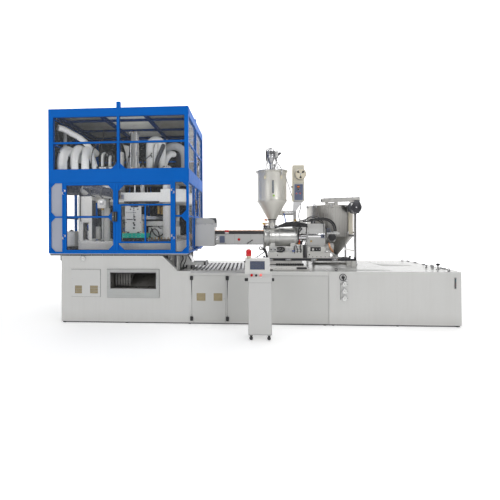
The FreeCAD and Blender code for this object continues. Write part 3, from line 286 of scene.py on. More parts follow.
# brushed grain along Z; its strong coarse bands are partly real grain and partly painted reflection, standing in for
# the tank's vertical reflection bands
M["stainless"] = brushed("stainless_tank", (0.42, 0.41, 0.39), 0.30, 2, grain=60, var=0.16, blotch=0.07)
M["trough"] = brushed("trough_steel", (0.56, 0.55, 0.53), 0.34, 0)
M["motor"] = paint("motor_grey", (0.085, 0.09, 0.10), 0.40, 0.1, 0.3)
M["duct_w"] = plastic("duct_white", (0.92, 0.92, 0.90), 0.42, 0.2)
M["duct_g"] = plastic("duct_grey", (0.50, 0.51, 0.52), 0.45, 0.2)
M["hose"] = rubber("hose_rubber")
M["hose_blue"] = plastic("hose_blue", (0.02, 0.10, 0.45), 0.35)
M["hose_red"] = plastic("hose_red", (0.50, 0.03, 0.03), 0.35)
M["hose_white"] = plastic("hose_white", (0.72, 0.72, 0.70), 0.4)
M["red"] = plastic("red_gloss", (0.62, 0.012, 0.012), 0.22, 0.04, coat=0.6)
M["red_lamp"] = glow("red_lamp", (0.6, 0.01, 0.015), 0.08, 0.18)
M["pink_lamp"] = glow("pink_lamp", (0.85, 0.18, 0.16), 0.6, 0.25)
M["orange"] = plastic("orange_gloss", (0.78, 0.19, 0.02), 0.3)
M["yellow"] = plastic("yellow_gloss", (0.80, 0.55, 0.03), 0.32)
M["lime"] = plastic("lime_gloss", (0.30, 0.62, 0.04), 0.3)
M["blackp"] = plastic("black_plastic", (0.028, 0.028, 0.03), 0.42, 0.25)
M["whitep"] = plastic("white_plastic", (0.85, 0.85, 0.83), 0.38, 0.15)
M["collar"] = plastic("cream_plastic", (0.72, 0.66, 0.52), 0.4, 0.15)
M["console"] = paint("console_grey", (0.60, 0.60, 0.59), 0.42, 0.02, 0.35)
M["console_head"] = paint("console_head_grey", (0.72, 0.72, 0.70), 0.42, 0.02, 0.35)
M["wheel"] = rubber("wheel_tread", (0.05, 0.05, 0.052), 0.5)
M["gauge_face"] = plastic("gauge_face", (0.80, 0.80, 0.78), 0.3, 0.05)
M["tan"] = paint("louvre_tan", (0.40, 0.33, 0.20), 0.45, 0.08, 0.15)
M["chute"] = paint("chute_lining", (0.17, 0.165, 0.155), 0.30, 0.2, 0.12)
# darker navy for the inner faces of the roof bars: the guard's blue darkened as painted shade under the roof
M["roof_bar_painted_shade"] = paint("roof_bar_navy_painted_shade", (0.003, 0.030, 0.13), 0.5, 0.04, 0.08, spec=0.08)
M["purge"] = paint("guard_cover_grey", (0.66, 0.66, 0.65), 0.40, 0.02, 0.08, rvar=0.4)
M["cyl"] = paint("cylinder_grey", (0.62, 0.62, 0.60), 0.33, 0.02, 0.05, metallic=0.8, rvar=0.3)
M["roller"] = brushed("roller_steel", (0.36, 0.36, 0.37), 0.45, 1, var=0.06, strength=0.05, blotch=0.03, metallic=0.7)
M["alu"] = brushed("satin_aluminium", (0.50, 0.51, 0.50), 0.42, 0, grain=60, var=0.08, strength=0.05, blotch=0.07, metallic=0.5)
M["pipe_dark"] = paint("pipe_dark", (0.36, 0.36, 0.35), 0.34, 0.05, 0.05, metallic=0.35, rvar=0.4)
M["lens"] = clear("sight_glass", (0.35, 0.5, 0.55), 0.55, 0.85, 0.08)


def scr_mat():
    """Dark display with a few plain coloured bars and cells."""
    m, nt, b = new_mat("display")
    tc = nt.nodes.new("ShaderNodeTexCoord")
    mp = nt.nodes.new("ShaderNodeMapping")
    nt.links.new(tc.outputs["UV"], mp.inputs["Vector"])
    br = nt.nodes.new("ShaderNodeTexBrick")
    br.inputs["Scale"].default_value = 5.0
    br.inputs["Mortar Size"].default_value = 0.012
    br.inputs["Brick Width"].default_value = 0.9
    br.inputs["Row Height"].default_value = 0.5
    br.inputs["Color1"].default_value = (0.050, 0.062, 0.100, 1)
    br.inputs["Color2"].default_value = (0.062, 0.066, 0.088, 1)
    br.inputs["Mortar"].default_value = (0.16, 0.19, 0.22, 1)
    nt.links.new(mp.outputs["Vector"], br.inputs["Vector"])
    nt.links.new(br.outputs["Color"], b.inputs["Base Color"])
    nt.links.new(br.outputs["Color"], b.inputs["Emission Color"])
    b.inputs["Emission Strength"].default_value = 0.5
    b.inputs["Roughness"].default_value = 0.12
    b.inputs["Coat Weight"].default_value = 0.6
    return m


M["display"] = scr_mat()


# ------------------------------------------------------------ mesh building ---
class Piece:
    """Gathers plain mesh parts, each with its own material, into one object. Millimetres, layout frame."""

    def __init__(self, name, body="machine", slot=None):
        self.name, self.body, self.slotname = name, body, slot
        self.v, self.f, self.m, self.mats = [], [], [], []
        self.uv = {}

    def _mi(self, mat):
        if mat not in self.mats:
            self.mats.append(mat)
        return self.mats.index(mat)

    def text(self, string, o, size, mat, depth=0.4, up=(0, 0, 1), right=(1, 0, 0)):
        """plain numerals, centred on o, standing proud of the face they are on"""
        cu = bpy.data.curves.new("t", "FONT")
        cu.body, cu.size, cu.extrude = string, size, depth / 2
        cu.align_x, cu.align_y = "CENTER", "CENTER"
        cu.resolution_u = 3
        ob = bpy.data.objects.new("t", cu)
        me = bpy.data.meshes.new_from_object(ob)
        r, u = Vector(right).normalized(), Vector(up).normalized()
        n = r.cross(u)
        o = Vector(o)
        self.raw([o + r * v.co.x + u * v.co.y + n * (v.co.z + depth / 2) for v in me.vertices],
                 [tuple(q.vertices) for q in me.polygons], mat)
        bpy.data.objects.remove(ob)
        bpy.data.curves.remove(cu)
        bpy.data.meshes.remove(me)
        return self

    def raw(self, verts, faces, mat):
        o = len(self.v)
        self.v += [tuple(p) for p in verts]
        i = self._mi(mat)
        for f in faces:
            self.f.append(tuple(o + k for k in f))
            self.m.append(i)
        return self

    def bm(self, bm, mat):
        bm.verts.index_update()
        vs = [tuple(p.co) for p in bm.verts]
        fs = [[q.index for q in f.verts] for f in bm.faces]
        bm.free()
        return self.raw(vs, fs, mat)

    def box(self, x0, x1, y0, y1, z0, z1, mat, b=2.0, seg=2, rot=None, about=None):
        bm = bmesh.new()
        bmesh.ops.create_cube(bm, size=1)
        sx, sy, sz = x1 - x0, y1 - y0, z1 - z0
        cx, cy, cz = (x0 + x1) / 2, (y0 + y1) / 2, (z0 + z1) / 2
        for p in bm.verts:
            p.co = Vector((p.co.x * sx + cx, p.co.y * sy + cy, p.co.z * sz + cz))
        b = min(b, 0.45 * min(sx, sy, sz))
        if b > 0:
            bmesh.ops.bevel(bm, geom=list(bm.edges), offset=b, segments=seg, profile=0.5, affect="EDGES")
        if rot is not None:
            c = Vector(about) if about else Vector((cx, cy, cz))
            for p in bm.verts:
                p.co = rot @ (p.co - c) + c
        return self.bm(bm, mat)

    def frame(self, o, axis):
        a = Vector(axis).normalized()
        u = a.cross(Vector((0, 0, 1))) if abs(a.z) < 0.9 else a.cross(Vector((0, 1, 0)))
        u.normalize()
        w = a.cross(u)
        return Vector(o), a, u, w

    def lathe(self, prof, o, axis, mat, n=28, cap=True, start=0.0, sweep=2 * math.pi):
        """prof: (radius, distance along the axis) from one end to the other"""
        o, a, u, w = self.frame(o, axis)
        full = abs(sweep - 2 * math.pi) < 1e-6
        cols = n if full else n + 1
        vs, fs = [], []
        for r, t in prof:
            for k in range(cols):
                an = start + sweep * k / n
                vs.append(o + a * t + u * (math.cos(an) * r) + w * (math.sin(an) * r))
        for i in range(len(prof) - 1):
            for k in range(n):
                k2 = (k + 1) % cols
                fs.append((i * cols + k, i * cols + k2, (i + 1) * cols + k2, (i + 1) * cols + k))
        if cap and full:
            if prof[0][0] > 1e-6:
                fs.append(tuple(reversed(range(cols))))
            if prof[-1][0] > 1e-6:
                fs.append(tuple((len(prof) - 1) * cols + k for k in range(cols)))
        return self.raw(vs, fs, mat)

    def rod(self, p, q, r, mat, n=20, b=None):
        p, q = Vector(p), Vector(q)
        L = (q - p).length
        b = min(r * 0.15, L * 0.1, 2.5) if b is None else b
        prof = [(r - b, 0), (r, b), (r, L - b), (r - b, L)] if b > 0 else [(r, 0), (r, L)]
        return self.lathe(prof, p, q - p, mat, n)

    def ring(self, o, axis, r0, r1, h, mat, n=32, b=1.5):
        """flat ring from radius r1 inside to r0 outside, h thick"""
        b = min(b, h * 0.3, (r0 - r1) * 0.3)
        prof = [(r1, b), (r1 + b, 0), (r0 - b, 0), (r0, b), (r0, h - b), (r0 - b, h), (r1 + b, h), (r1, h - b), (r1, b)]
        return self.lathe(prof, o, axis, mat, n, cap=False)

    def hexbolt(self, o, axis, s, mat, h=None):
        """washer and hexagon head standing on point o"""
        h = h or s * 0.55
        self.lathe([(s * 1.0, 0), (s * 1.0, s * 0.12), (s * 0.9, s * 0.16)], o, axis, mat, 16)
        o2 = Vector(o) + Vector(axis).normalized() * (s * 0.14)
        self.lathe([(s * 0.85, 0), (s * 0.85, h * 0.85), (s * 0.72, h)], o2, axis, mat, 6)
        return self

    def screw(self, o, axis, s, mat):
        """domed screw head"""
        return self.lathe([(s, 0), (s * 0.92, s * 0.3), (s * 0.6, s * 0.52), (s * 0.25, s * 0.56), (s * 0.2, s * 0.35), (0, s * 0.35)],
                          o, axis, mat, 14)

    def tube(self, pts, r, mat, n=12, caps=True, smooth=0, closed=False):
        pts = [Vector(p) for p in pts]
        if smooth:
            pts = catmull(pts, smooth, closed)
        ring = []
        t0 = (pts[1] - pts[0]).normalized()
        u = t0.cross(Vector((0, 0, 1)))
        if u.length < 1e-3:
            u = t0.cross(Vector((0, 1, 0)))
        u.normalize()
        vs, fs = [], []
        m = len(pts)
        for i, p in enumerate(pts):
            if closed:
                t = (pts[(i + 1) % m] - pts[i - 1]).normalized()
            else:
                t = (pts[min(i + 1, m - 1)] - pts[max(i - 1, 0)]).normalized()
            u = (u - t * u.dot(t)).normalized()
            w = t.cross(u)
            rr = r[i] if isinstance(r, (list, tuple)) else r
            for k in range(n):
                an = 2 * math.pi * k / n
                vs.append(p + u * (math.cos(an) * rr) + w * (math.sin(an) * rr))
        for i in range(m - 1 if not closed else m):
            for k in range(n):
                a, b_ = i * n + k, i * n + (k + 1) % n
                i2 = (i + 1) % m
                fs.append((a, b_, i2 * n + (k + 1) % n, i2 * n + k))
        if caps and not closed:
            fs.append(tuple(reversed(range(n))))
            fs.append(tuple((m - 1) * n + k for k in range(n)))
        return self.raw(vs, fs, mat)

    def corrugated(self, pts, r, mat, pitch=16.0, depth=5.0, n=24, smooth=10):
        pts = catmull([Vector(p) for p in pts], smooth, False)
        L = [0.0]
        for a, b in zip(pts, pts[1:]):
            L.append(L[-1] + (b - a).length)
        out, rad = [], []
        step = pitch / 4.0
        cnt = max(8, int(L[-1] / step))
        j = 0
        for i in range(cnt + 1):
            s = L[-1] * i / cnt
            while j < len(L) - 2 and L[j + 1] < s:
                j += 1
            f = (s - L[j]) / max(1e-9, L[j + 1] - L[j])
            out.append(pts[j].lerp(pts[j + 1], f))
            rad.append(r - depth * 0.5 + depth * 0.5 * math.cos(2 * math.pi * s / pitch))
        return self.tube(out, rad, mat, n)

    def prism(self, poly, axis, d0, d1, mat, b=0.0, seg=2):
        """polygon in the plane square to axis ('x': (y, z), 'y': (x, z), 'z': (x, y)), from d0 to d1"""
        mk = {"x": lambda p, d: (d, p[0], p[1]), "y": lambda p, d: (p[0], d, p[1]), "z": lambda p, d: (p[0], p[1], d)}[axis]
        n = len(poly)
        bm = bmesh.new()
        lo = [bm.verts.new(mk(p, d0)) for p in poly]
        hi = [bm.verts.new(mk(p, d1)) for p in poly]
        bm.faces.new(lo)
        bm.faces.new(list(reversed(hi)))
        for i in range(n):
            bm.faces.new((lo[i], hi[i], hi[(i + 1) % n], lo[(i + 1) % n]))
        bmesh.ops.recalc_face_normals(bm, faces=list(bm.faces))
        if b > 0:
            bmesh.ops.bevel(bm, geom=list(bm.edges), offset=b, segments=seg, profile=0.5, affect="EDGES")
        return self.bm(bm, mat)

    def quad_uv(self, a, b, c, d, mat):
        """flat four-cornered face with its own UVs"""
        i = len(self.f)
        self.raw([a, b, c, d], [(0, 1, 2, 3)], mat)
        self.uv[i] = [(0, 0), (1, 0), (1, 1), (0, 1)]
        return self

    def done(self, sharp=32, replaces=(), body=None, flip=True):
        me = bpy.data.meshes.new(self.name)
        me.from_pydata([tuple(P(*p)) for p in self.v], [], self.f)
        for mat in self.mats:
            me.materials.append(M[mat])
        me.polygons.foreach_set("material_index", self.m)
        if self.uv:
            lay = me.uv_layers.new(name="UVMap")
            for i, co in self.uv.items():
                for k, li in enumerate(me.polygons[i].loop_indices):
                    lay.data[li].uv = co[k]
        bm = bmesh.new()
        bm.from_mesh(me)
        bmesh.ops.recalc_face_normals(bm, faces=list(bm.faces))
        lim = math.radians(sharp)
        for f in bm.faces:
            f.smooth = True
        for e in bm.edges:
            if len(e.link_faces) == 2:
                e.smooth = e.calc_face_angle(0) < lim
            else:
                e.smooth = False
        bm.to_mesh(me)
        bm.free()
        ob = bpy.data.objects.new(self.name, me)
        scene.collection.objects.link(ob)
        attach(ob, body or self.body)
        if replaces:
            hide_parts(*replaces)
        return ob


def catmull(pts, k, closed):
    out = []
    n = len(pts)
    rngs = range(n if closed else n - 1)
    for i in rngs:
        p0 = pts[(i - 1) % n] if closed or i > 0 else pts[0] * 2 - pts[1]
        p1, p2 = pts[i], pts[(i + 1) % n]
        p3 = pts[(i + 2) % n] if closed or i + 2 < n else pts[-1] * 2 - pts[-2]
        for j in range(k):
            t = j / k
            out.append(0.5 * ((2 * p1) + (p2 - p0) * t + (2 * p0 - 5 * p1 + 4 * p2 - p3) * t * t
                              + (3 * p1 - p0 - 3 * p2 + p3) * t * t * t))
    if not closed:
        out.append(pts[-1])
    return out


def arc(cx, cy, r, a0, a1, n):
    return [(cx + r * math.cos(math.radians(a0 + (a1 - a0) * i / n)), cy + r * math.sin(math.radians(a0 + (a1 - a0) * i / n)))
            for i in range(n + 1)]


# ------------------------------------------------------- cords come first ----
def hose(name, pts, dia, body, node):
    cu = bpy.data.curves.new(name, "CURVE")
    cu.dimensions = "3D"
    sp = cu.splines.new("NURBS")
    sp.points.add(len(pts) - 1)
    for i, p in enumerate(pts):
        q = P(*p)
        sp.points[i].co = (q.x, q.y, q.z, 1)
    sp.order_u = 3
    sp.use_endpoint_u = True
    cu.bevel_depth = dia / 2
    cu.bevel_resolution = 5
    cu.resolution_u = 16
    cu.materials.append(M["hose"])
    ob = bpy.data.objects.new(name, cu)
    scene.collection.objects.link(ob)
    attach(ob, body)
    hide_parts(node)
    return ob


HOSE_1 = [(4440, 960, 1815), (4532, 960, 1815), (4628, 957, 1838), (4724, 956, 1864), (4822, 957, 1876), (4918, 960, 1866),
          (5002, 960, 1831), (5066, 960, 1767), (5100, 960, 1684), (5100, 960, 1610)]
HOSE_2 = [(4440, 868, 1808), (4528, 868, 1808), (4618, 866, 1824), (4708, 865, 1842), (4798, 866, 1848), (4884, 868, 1838),
          (4958, 868, 1807), (5014, 868, 1751), (5045, 868, 1678), (5045, 868, 1610)]
hose("pressure_hose", HOSE_1, 0.030, "sled", "hose_pressure")
hose("return_hose", HOSE_2, 0.030, "sled", "hose_return")


# ------------------------------------------------- materials of CAD nodes ----
# broken edges, millimetres
EDGE = {"main_base": 2.2, "power_cabinet": 1.8, "machine_bed": 5.0, "clamp_platen": 6.0, "top_platen": 6.0, "guard_frame": 2.4,
        "guard_door_left": 2.0, "guard_door_right": 2.0, "rail_base": 3.0, "injection_sled": 2.5, "screw_drive": 4.0,
        "injection_cylinder": 3.0, "hot_air_dryer": 2.0, "takeout_unit": 2.0, "console_head": 3.0, "console_cabinet": 2.0,
        "mixer_drive": 2.0, "guard_sheets": 0.6, "purge_guard": 1.2, "barrel_cover": 1.2}


def dress(node, mat, rules=()):
    """mat on the whole node; rules are (material, test of a face centre and normal in layout mm)"""
    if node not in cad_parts:
        return
    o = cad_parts[node]
    me = o.data
    wd = o.modifiers.new("weld", "WELD")
    wd.merge_threshold = 0.00001
    bv = o.modifiers.new("edges", "BEVEL")
    bv.width = EDGE.get(node, 1.2) / 1000
    bv.segments = 2
    bv.limit_method = "ANGLE"
    bv.angle_limit = math.radians(50)
    bv.harden_normals = False
    me.materials.clear()
    names = [mat] + [r[0] for r in rules]
    for n in names:
        me.materials.append(M[n])
    idx = [0] * len(me.polygons)
    if rules:
        for i, p in enumerate(me.polygons):
            c = p.center
            x, y, z = c.x * 1000 + SX, c.y * 1000 + SY, c.z * 1000
            for k, (nm, test) in enumerate(rules):
                if test(x, y, z, p.normal):
                    idx[i] = k + 1
    me.polygons.foreach_set("material_index", idx)


def inb(x0, x1, y0, y1, z0, z1):
    return lambda x, y, z, n: x0 <= x <= x1 and y0 <= y <= y1 and z0 <= z <= z1


# top faces of the base in the deck grey: painted reflection
dress("main_base", "white", [("deck", lambda x, y, z, n: n.z > 0.9 and (z > 925)),
                              ("chute", inb(904, 1741, 6, 706, 609, 917)),
                              # near-black bottom band and band under the guard: painted shade in the recess and the
                              # slot
                              ("dark_and_painted_shade", lambda x, y, z, n: z < 22.5 or (1199 < z < 1226)),
                              ("blackp", inb(2340, 2382, -35, -0.5, 55, 855)), ("blackp", inb(2970, 3012, -35, -0.5, 55, 855))])
# top faces in the deck grey (painted reflection), bottom band near-black (painted shade)
dress("power_cabinet", "white", [("deck", lambda x, y, z, n: n.z > 0.9 and z > 925), ("dark_and_painted_shade", lambda x, y, z, n: z < 22.5),
                                  ("steel", inb(5030, 5075, -20, -0.5, 760, 800)), ("steel", inb(6720, 6790, 340, 410, 931, 1100))])
dress("front_fittings", "cover", [("alu", inb(840, 1795, -25, 1, 450, 965)), ("door", inb(3690, 4740, -10, 1, 20, 860)),
                                  ("tan", lambda x, y, z, n: (256 < x < 385 or 535 < x < 679) and 525 < z < 668 and y > -11.9),
                                  ("steel", inb(4960, 5060, -40, 1, 420, 770)), ("steel", inb(360, 470, -40, 1, 1100, 1200)),
                                  ("blackp", inb(6830, 6870, -20, 1, 640, 840)), ("seam", inb(4940, 4950, -10, 1, 440, 745))])
dress("conveyor_frame", "steel_y", [("unit", lambda x, y, z, n: y < 0.5), ("unit", lambda x, y, z, n: z > 929.5 and n.z > 0.5)])
# inner faces and undersides of the roof bars get the darker navy, painted shade
dress("guard_frame", "blue", [("roof_bar_painted_shade", lambda x, y, z, n: z > 3640 and 66 < y < 2030 and -180 < x < 2240 and abs(n.z) < 0.95 or z > 3640 and 66 < y < 2030 and -180 < x < 2240 and n.z < 0)])
dress("guard_sheets", "clear", [("lilac", inb(-200, 25, 20, 29.5, 1260, 2520)),
                                  # roof sheets in the painted-shade tint, the middle pane in the painted-light tint
                                  ("roof", lambda x, y, z, n: z > 3755),
                                  ("roof_painted_light", lambda x, y, z, n: z > 3755 and 715.5 < x < 1524.5),
                                  # back and upper-left sheets get the near-black painted-shade sheet
                                  ("painted_dark_sheet", lambda x, y, z, n: y > 2060 or (x < -200 and z > 2700))])
dress("machine_bed", "cast", [("black", inb(1005, 1455, 355, 805, 1441, 1511)), ("green", inb(995, 1465, 345, 815, 1509, 1600))])
dress("tie_bars", "cast", [("steel_z", lambda x, y, z, n: z > 2620)])
dress("top_platen", "platen", [("pipe_dark", lambda x, y, z, n: math.hypot(x - 1180, y - 570) < 109.5 and z > 2800.5)])
dress("index_drive", "black")
dress("takeout_unit", "cast", [("drum", inb(-100, 1000, 200, 560, 2296, 2620)), ("alu", inb(600, 650, 320, 380, 1440, 2069))])
dress("injection_mould", "tool", [("cast", inb(1459, 1921, 729, 1371, 1439, 1721))])
dress("rail_base", "cast", [("dark_steel", lambda x, y, z, n: z > 1039.5)])
dress("purge_guard", "purge", [("gear", lambda x, y, z, n: z > 1874.5)])
dress("mixer_tank", "stainless", [("steel_z", lambda x, y, z, n: not (4640 < x < 5640 and math.hypot(x - 5143, y - 1740) < 500) and z < 2000)])
dress("mixer_drive", "trough", [("motor", lambda x, y, z, n: y < 1340 or z < 2015)])
dress("console_cabinet", "console", [("blackp", lambda x, y, z, n: x < 3360.5 or x > 3717.5), ("black", lambda x, y, z, n: z < 84.9)])
dress("console_head", "console_head", [("blackp", lambda x, y, z, n: x < 3323)])
dress("beacon_lamp", "red_lamp", [("collar", lambda x, y, z, n: z < 1262)])
dress("air_ducts", "duct_w")
for n_ in ("guard_door_left", "guard_door_right"):
    dress(n_, "blue", [("clear", lambda x, y, z, n: 25.5 < y < 31.5 and 93 < x < 1998 and abs(n.y) > 0.5),
                       ("blackp", lambda x, y, z, n: y < 1.99 and 940 < x < 1040)])
dress("base_door_left", "door", [("tan", lambda x, y, z, n: y > -13.9 and (2464 < x < 2609 or 2765 < x < 2907) and 417 < z < 541),
                                  ("blackp", lambda x, y, z, n: y < -14.5)])
dress("base_door_right", "door", [("blackp", lambda x, y, z, n: y < -14.5)])
dress("index_table", "tool", [("steel", lambda x, y, z, n: n.z > 0.9)])
dress("blow_mould_front", "cast")
dress("blow_mould_rear", "dark_steel")
dress("stretch_rods", "chrome_z")
dress("main_switch", "blackp")
dress("estop_button", "red")
dress("mode_switch", "blackp")
dress("start_button", "pink_lamp")
dress("clamp_platen", "platen", [("tool", inb(1519, 1861, 879, 1221, 2149, 2191)), ("brass", inb(1530, 1850, 890, 1210, 1974, 2149)),
                                  ("chrome_z", lambda x, y, z, n: math.hypot(x - 1200, y - 1050) < 46 and z > 2372),
                                  ("chrome_z", inb(1660, 1700, 930, 1170, 1930, 2149))])
dress("injection_sled", "cast", [("dark_steel", lambda x, y, z, n: z < 1092.5 and n.z < 0.5)])
dress("barrel", "steel", [("copper", lambda x, y, z, n: abs(math.hypot(y - 1050, z - 1506) - 65) < 1.0)])
dress("barrel_cover", "unit")
dress("injection_cylinder", "cyl")
dress("hopper", "greige", [("black", lambda x, y, z, n: z < 1856.5 and z > 1837)])
dress("hopper_loader", "steel")
dress("hot_air_dryer", "cream", [("panel_blue", inb(4279, 4463, 939, 949.5, 2220, 2562)),
                                  ("steel", lambda x, y, z, n: z < 2215 or y < 949 and z > 2600)])
dress("screw_drive", "gear", [("unit", lambda x, y, z, n: x > 4876), ("cast", lambda x, y, z, n: z < 1197.5)])
dress("screw", "chrome")
for i in range(1, 5):
    dress("caster_wheel_%d" % i, "wheel")
for i in range(1, 13):
    dress("conveyor_roller_%d" % i, "roller")


# ------------------------------------------------------------ base, cabinet ---
def screw_row(pc, xs, y, zs, s=5.0, mat="steel"):
    for x in xs:
        for z in zs:
            pc.screw((x, y, z), (0, -1, 0), s, mat)


def spread(a, b, n):
    return [a + (b - a) * i / (n - 1) for i in range(n)]


pc = Piece("cover_screws")
screw_row(pc, spread(205, 705, 4), -12, (482, 942))
screw_row(pc, (205, 705), -12, (636, 789))
screw_row(pc, spread(864, 1776, 7), -18, (946,))
screw_row(pc, (864, 1776), -18, (500, 640, 790))
screw_row(pc, spread(905, 1740, 5), -21, (486, 588), 4)
screw_row(pc, spread(3720, 4715, 6), -6, (46, 838))
screw_row(pc, (3720, 4715), -6, (240, 440, 640))
pc.done()

# discharge window: folded rim, rubber lip and the sloping sheets inside
pc = Piece("window_rim")
for x0, x1, z0, z1 in ((896, 1749, 906, 915), (896, 1749, 609, 618), (896, 909, 618, 906), (1736, 1749, 618, 906)):
    pc.box(x0, x1, -24, -17.5, z0, z1, "steel", 2.5)
pc.box(912, 1733, -16, -11, 896, 908, "seam", 1.5)
pc.done()
pc = Piece("discharge_slide")
pc.prism([(640, 905), (646, 905), (250, 619), (241, 619)], "x", 1180, 1738, "chute", 1.0)
pc.prism([(1120, 618), (1180, 618), (1240, 905), (1210, 905)], "y", 330, 336, "chute", 1.0)
pc.box(1176, 1182, 240, 660, 618, 905, "chute", 1.0)
pc.rod((915, 180, 872), (1732, 180, 872), 9, "dark_steel")
for x in spread(930, 1180, 6):
    pc.box(x, x + 38, 176, 179, 640, 868, "chute", 0.8)
pc.done()

# base doors: filter pads, louvre trim, quarter-turn locks, seals, hinge strips
pc = Piece("door_left_fittings", "service_door_left")
for a, c in ((2463, 2610), (2764, 2908)):
    pc.box(a - 6, c + 6, -9.0, -5.0, 411, 547, "filter", 1)
    for x0, x1, z0, z1 in ((a - 5, c + 5, 541, 546), (a - 5, c + 5, 412, 417), (a - 5, a, 417, 541), (c, c + 5, 417, 541)):
        pc.box(x0, x1, -16.0, -13.8, z0, z1, "tan", 0.8)
    for x in (a - 2.5, c + 2.5):
        for z in (414.5, 543.5):
            pc.screw((x, -16, z), (0, -1, 0), 2.2, "steel")
for z in (450,):
    pc.lathe([(13, 0), (13, 3), (11, 5), (5, 5), (5, 3.5), (0, 3.5)], (2942, -14, z), (0, -1, 0), "steel", 24)
    pc.box(2939.5, 2944.5, -18.4, -17, z - 8, z + 8, "dark_steel", 0.5)
def hinge_trim(pc, hx, door):
    """pin head and cap screws of one hinge; the door carries the upper knuckle"""
    for z in (62, 777):
        if door:
            pc.lathe([(9, 0), (9, 2), (6, 5), (0, 5.5)], (hx, -22, z + 70), (0, 0, 1), "dark_steel", 20)
            for zz in (z + 44, z + 62):
                pc.lathe([(4.6, 0), (4.6, 2.6), (3.6, 3.4), (2.2, 3.4), (2.2, 1.4), (0, 1.4)], (hx + 17, -31, zz), (0, -1, 0), "dark_steel", 16)
            pc.screw((hx + 19.5, -29, z + 17), (0, -1, 0), 3.6, "dark_steel")
        else:
            pc.lathe([(9, 0), (9, 2), (6, 5), (0, 5.5)], (hx, -22, z), (0, 0, -1), "dark_steel", 20)
            for zz in (z + 9, z + 26):
                pc.lathe([(4.6, 0), (4.6, 2.6), (3.6, 3.4), (2.2, 3.4), (2.2, 1.4), (0, 1.4)], (hx - 15, -29, zz), (0, -1, 0), "dark_steel", 16)
            pc.screw((hx - 19.5, -29, z + 53), (0, -1, 0), 3.6, "dark_steel")


hinge_trim(pc, 2370, True)
pc.done()
pc = Piece("door_right_fittings", "service_door_right")
pc.lathe([(13, 0), (13, 3), (11, 5), (5, 5), (5, 3.5), (0, 3.5)], (3626, -14, 450), (0, -1, 0), "steel", 24)
pc.box(3623.5, 3628.5, -18.4, -17, 442, 458, "dark_steel", 0.5)
hinge_trim(pc, 3000, True)
pc.done()
pc = Piece("door_seals")
for hx, x0, x1 in ((2370, 2380, 2966), (3000, 3010, 3650)):
    # long tapered reinforcement below the upper hinge, seam down to the lower one
    pc.prism([(hx - 8, 776), (hx + 7, 776), (hx + 1.2, 430), (hx - 1.2, 430)], "y", -6, 0, "dark_and_painted_shade", 0.8)
    pc.box(hx - 1.5, hx + 1.5, -1.6, 0, 133, 430, "seam", 0.5)
    hinge_trim(pc, hx, False)
    for a, b, c, d in ((x0 + 4, x1 - 4, 846, 851), (x0 + 4, x1 - 4, 46, 51), (x0 + 1, x0 + 6, 51, 846), (x1 - 6, x1 - 1, 51, 846)):
        pc.box(a, b, -2.0, 0, c, d, "seam", 0.5)
pc.done()

# shadow gaps round the covers of the base's front
pc = Piece("cover_gaps")
for x0, x1, z0, z1, w in ((190, 720, 469, 955, 5), (848, 1790, 455, 960, 5), (3700, 4735, 30, 853, 4)):
    for a, b, c, d in ((x0 - w, x1 + w, z1, z1 + w), (x0 - w, x1 + w, z0 - w, z0), (x0 - w, x0, z0, z1), (x1, x1 + w, z0, z1)):
        pc.box(a, b, -1.6, 0.0, c, d, "seam", 0.4)
pc.done()


# instruments
def dial(pc, x, y, z, r, top, mark):
    pc.lathe([(r * 1.02, 0), (r * 1.06, 2), (r * 1.06, 7), (r, 9.5), (r * 0.9, 9.5), (r * 0.86, 7)], (x, y, z), (0, -1, 0), "chrome", 36, cap=False)
    pc.lathe([(r * 0.9, 0), (r * 0.9, 0.8), (0, 0.8)], (x, y - 5.2, z), (0, -1, 0), "gauge_face", 36)
    for k in range(31):
        a = math.radians(225 - 9 * k)
        l0 = r * (0.68 if k % 5 == 0 else 0.76)
        c, s = math.cos(a), math.sin(a)
        p0, p1 = Vector((x + c * l0, y - 6.2, z + s * l0)), Vector((x + c * r * 0.84, y - 6.2, z + s * r * 0.84))
        pc.rod(p0, p1, r * (0.018 if k % 5 == 0 else 0.010), "black", 6, 0)
    for k in range(6):
        a = math.radians(225 - 54 * k)
        pc.text(str(top * k // 5), (x + math.cos(a) * r * 0.53, y - 6.1, z + math.sin(a) * r * 0.53), r * 0.20, "black", 0.3)
    a = math.radians(225 - 270 * mark)
    c, s = math.cos(a), math.sin(a)
    pc.prism([(x + c * r * 0.74, z + s * r * 0.74), (x - s * r * 0.05 - c * r * 0.2, z + c * r * 0.05 - s * r * 0.2),
              (x + s * r * 0.05 - c * r * 0.2, z - c * r * 0.05 - s * r * 0.2)], "y", y - 7.6, y - 6.8, "red" if top == 100 else "black")
    pc.lathe([(r * 0.09, 0), (r * 0.09, 2), (0, 2.6)], (x, y - 6, z), (0, -1, 0), "dark_steel", 16)


pc = Piece("gauge_dials")
for z, mk in ((715, 0.42), (595, 0.28), (473, 0.61)):
    dial(pc, 5011, -29.5, z, 40, 25, mk)
    pc.box(5052, 5064, -20, -8, z - 5, z + 5, "dark_steel", 2)
    pc.rod((4948, -3, z), (4972, -10, z), 4, "steel")
dial(pc, 414, -25.5, 1153, 43, 100, 0.66)
pc.done()
pc = Piece("sight_gauge_glass")
pc.box(6842, 6854, -18, -14, 668, 812, "lens", 1.5)
pc.box(6846.5, 6849.5, -18.6, -17.8, 676, 764, "red", 0.5)
for k in range(9):
    pc.box(6855.2, 6859.2, -9, -7.8, 676 + 16 * k, 677.4 + 16 * k, "black", 0.2)
for z in (652, 826):
    pc.hexbolt((6848, -8, z), (0, -1, 0), 6.5, "steel")
pc.done()
pc = Piece("switch_plate")
pc.ring((4987, -9, 833), (0, -1, 0), 62, 50, 3, "dark_steel", 40)
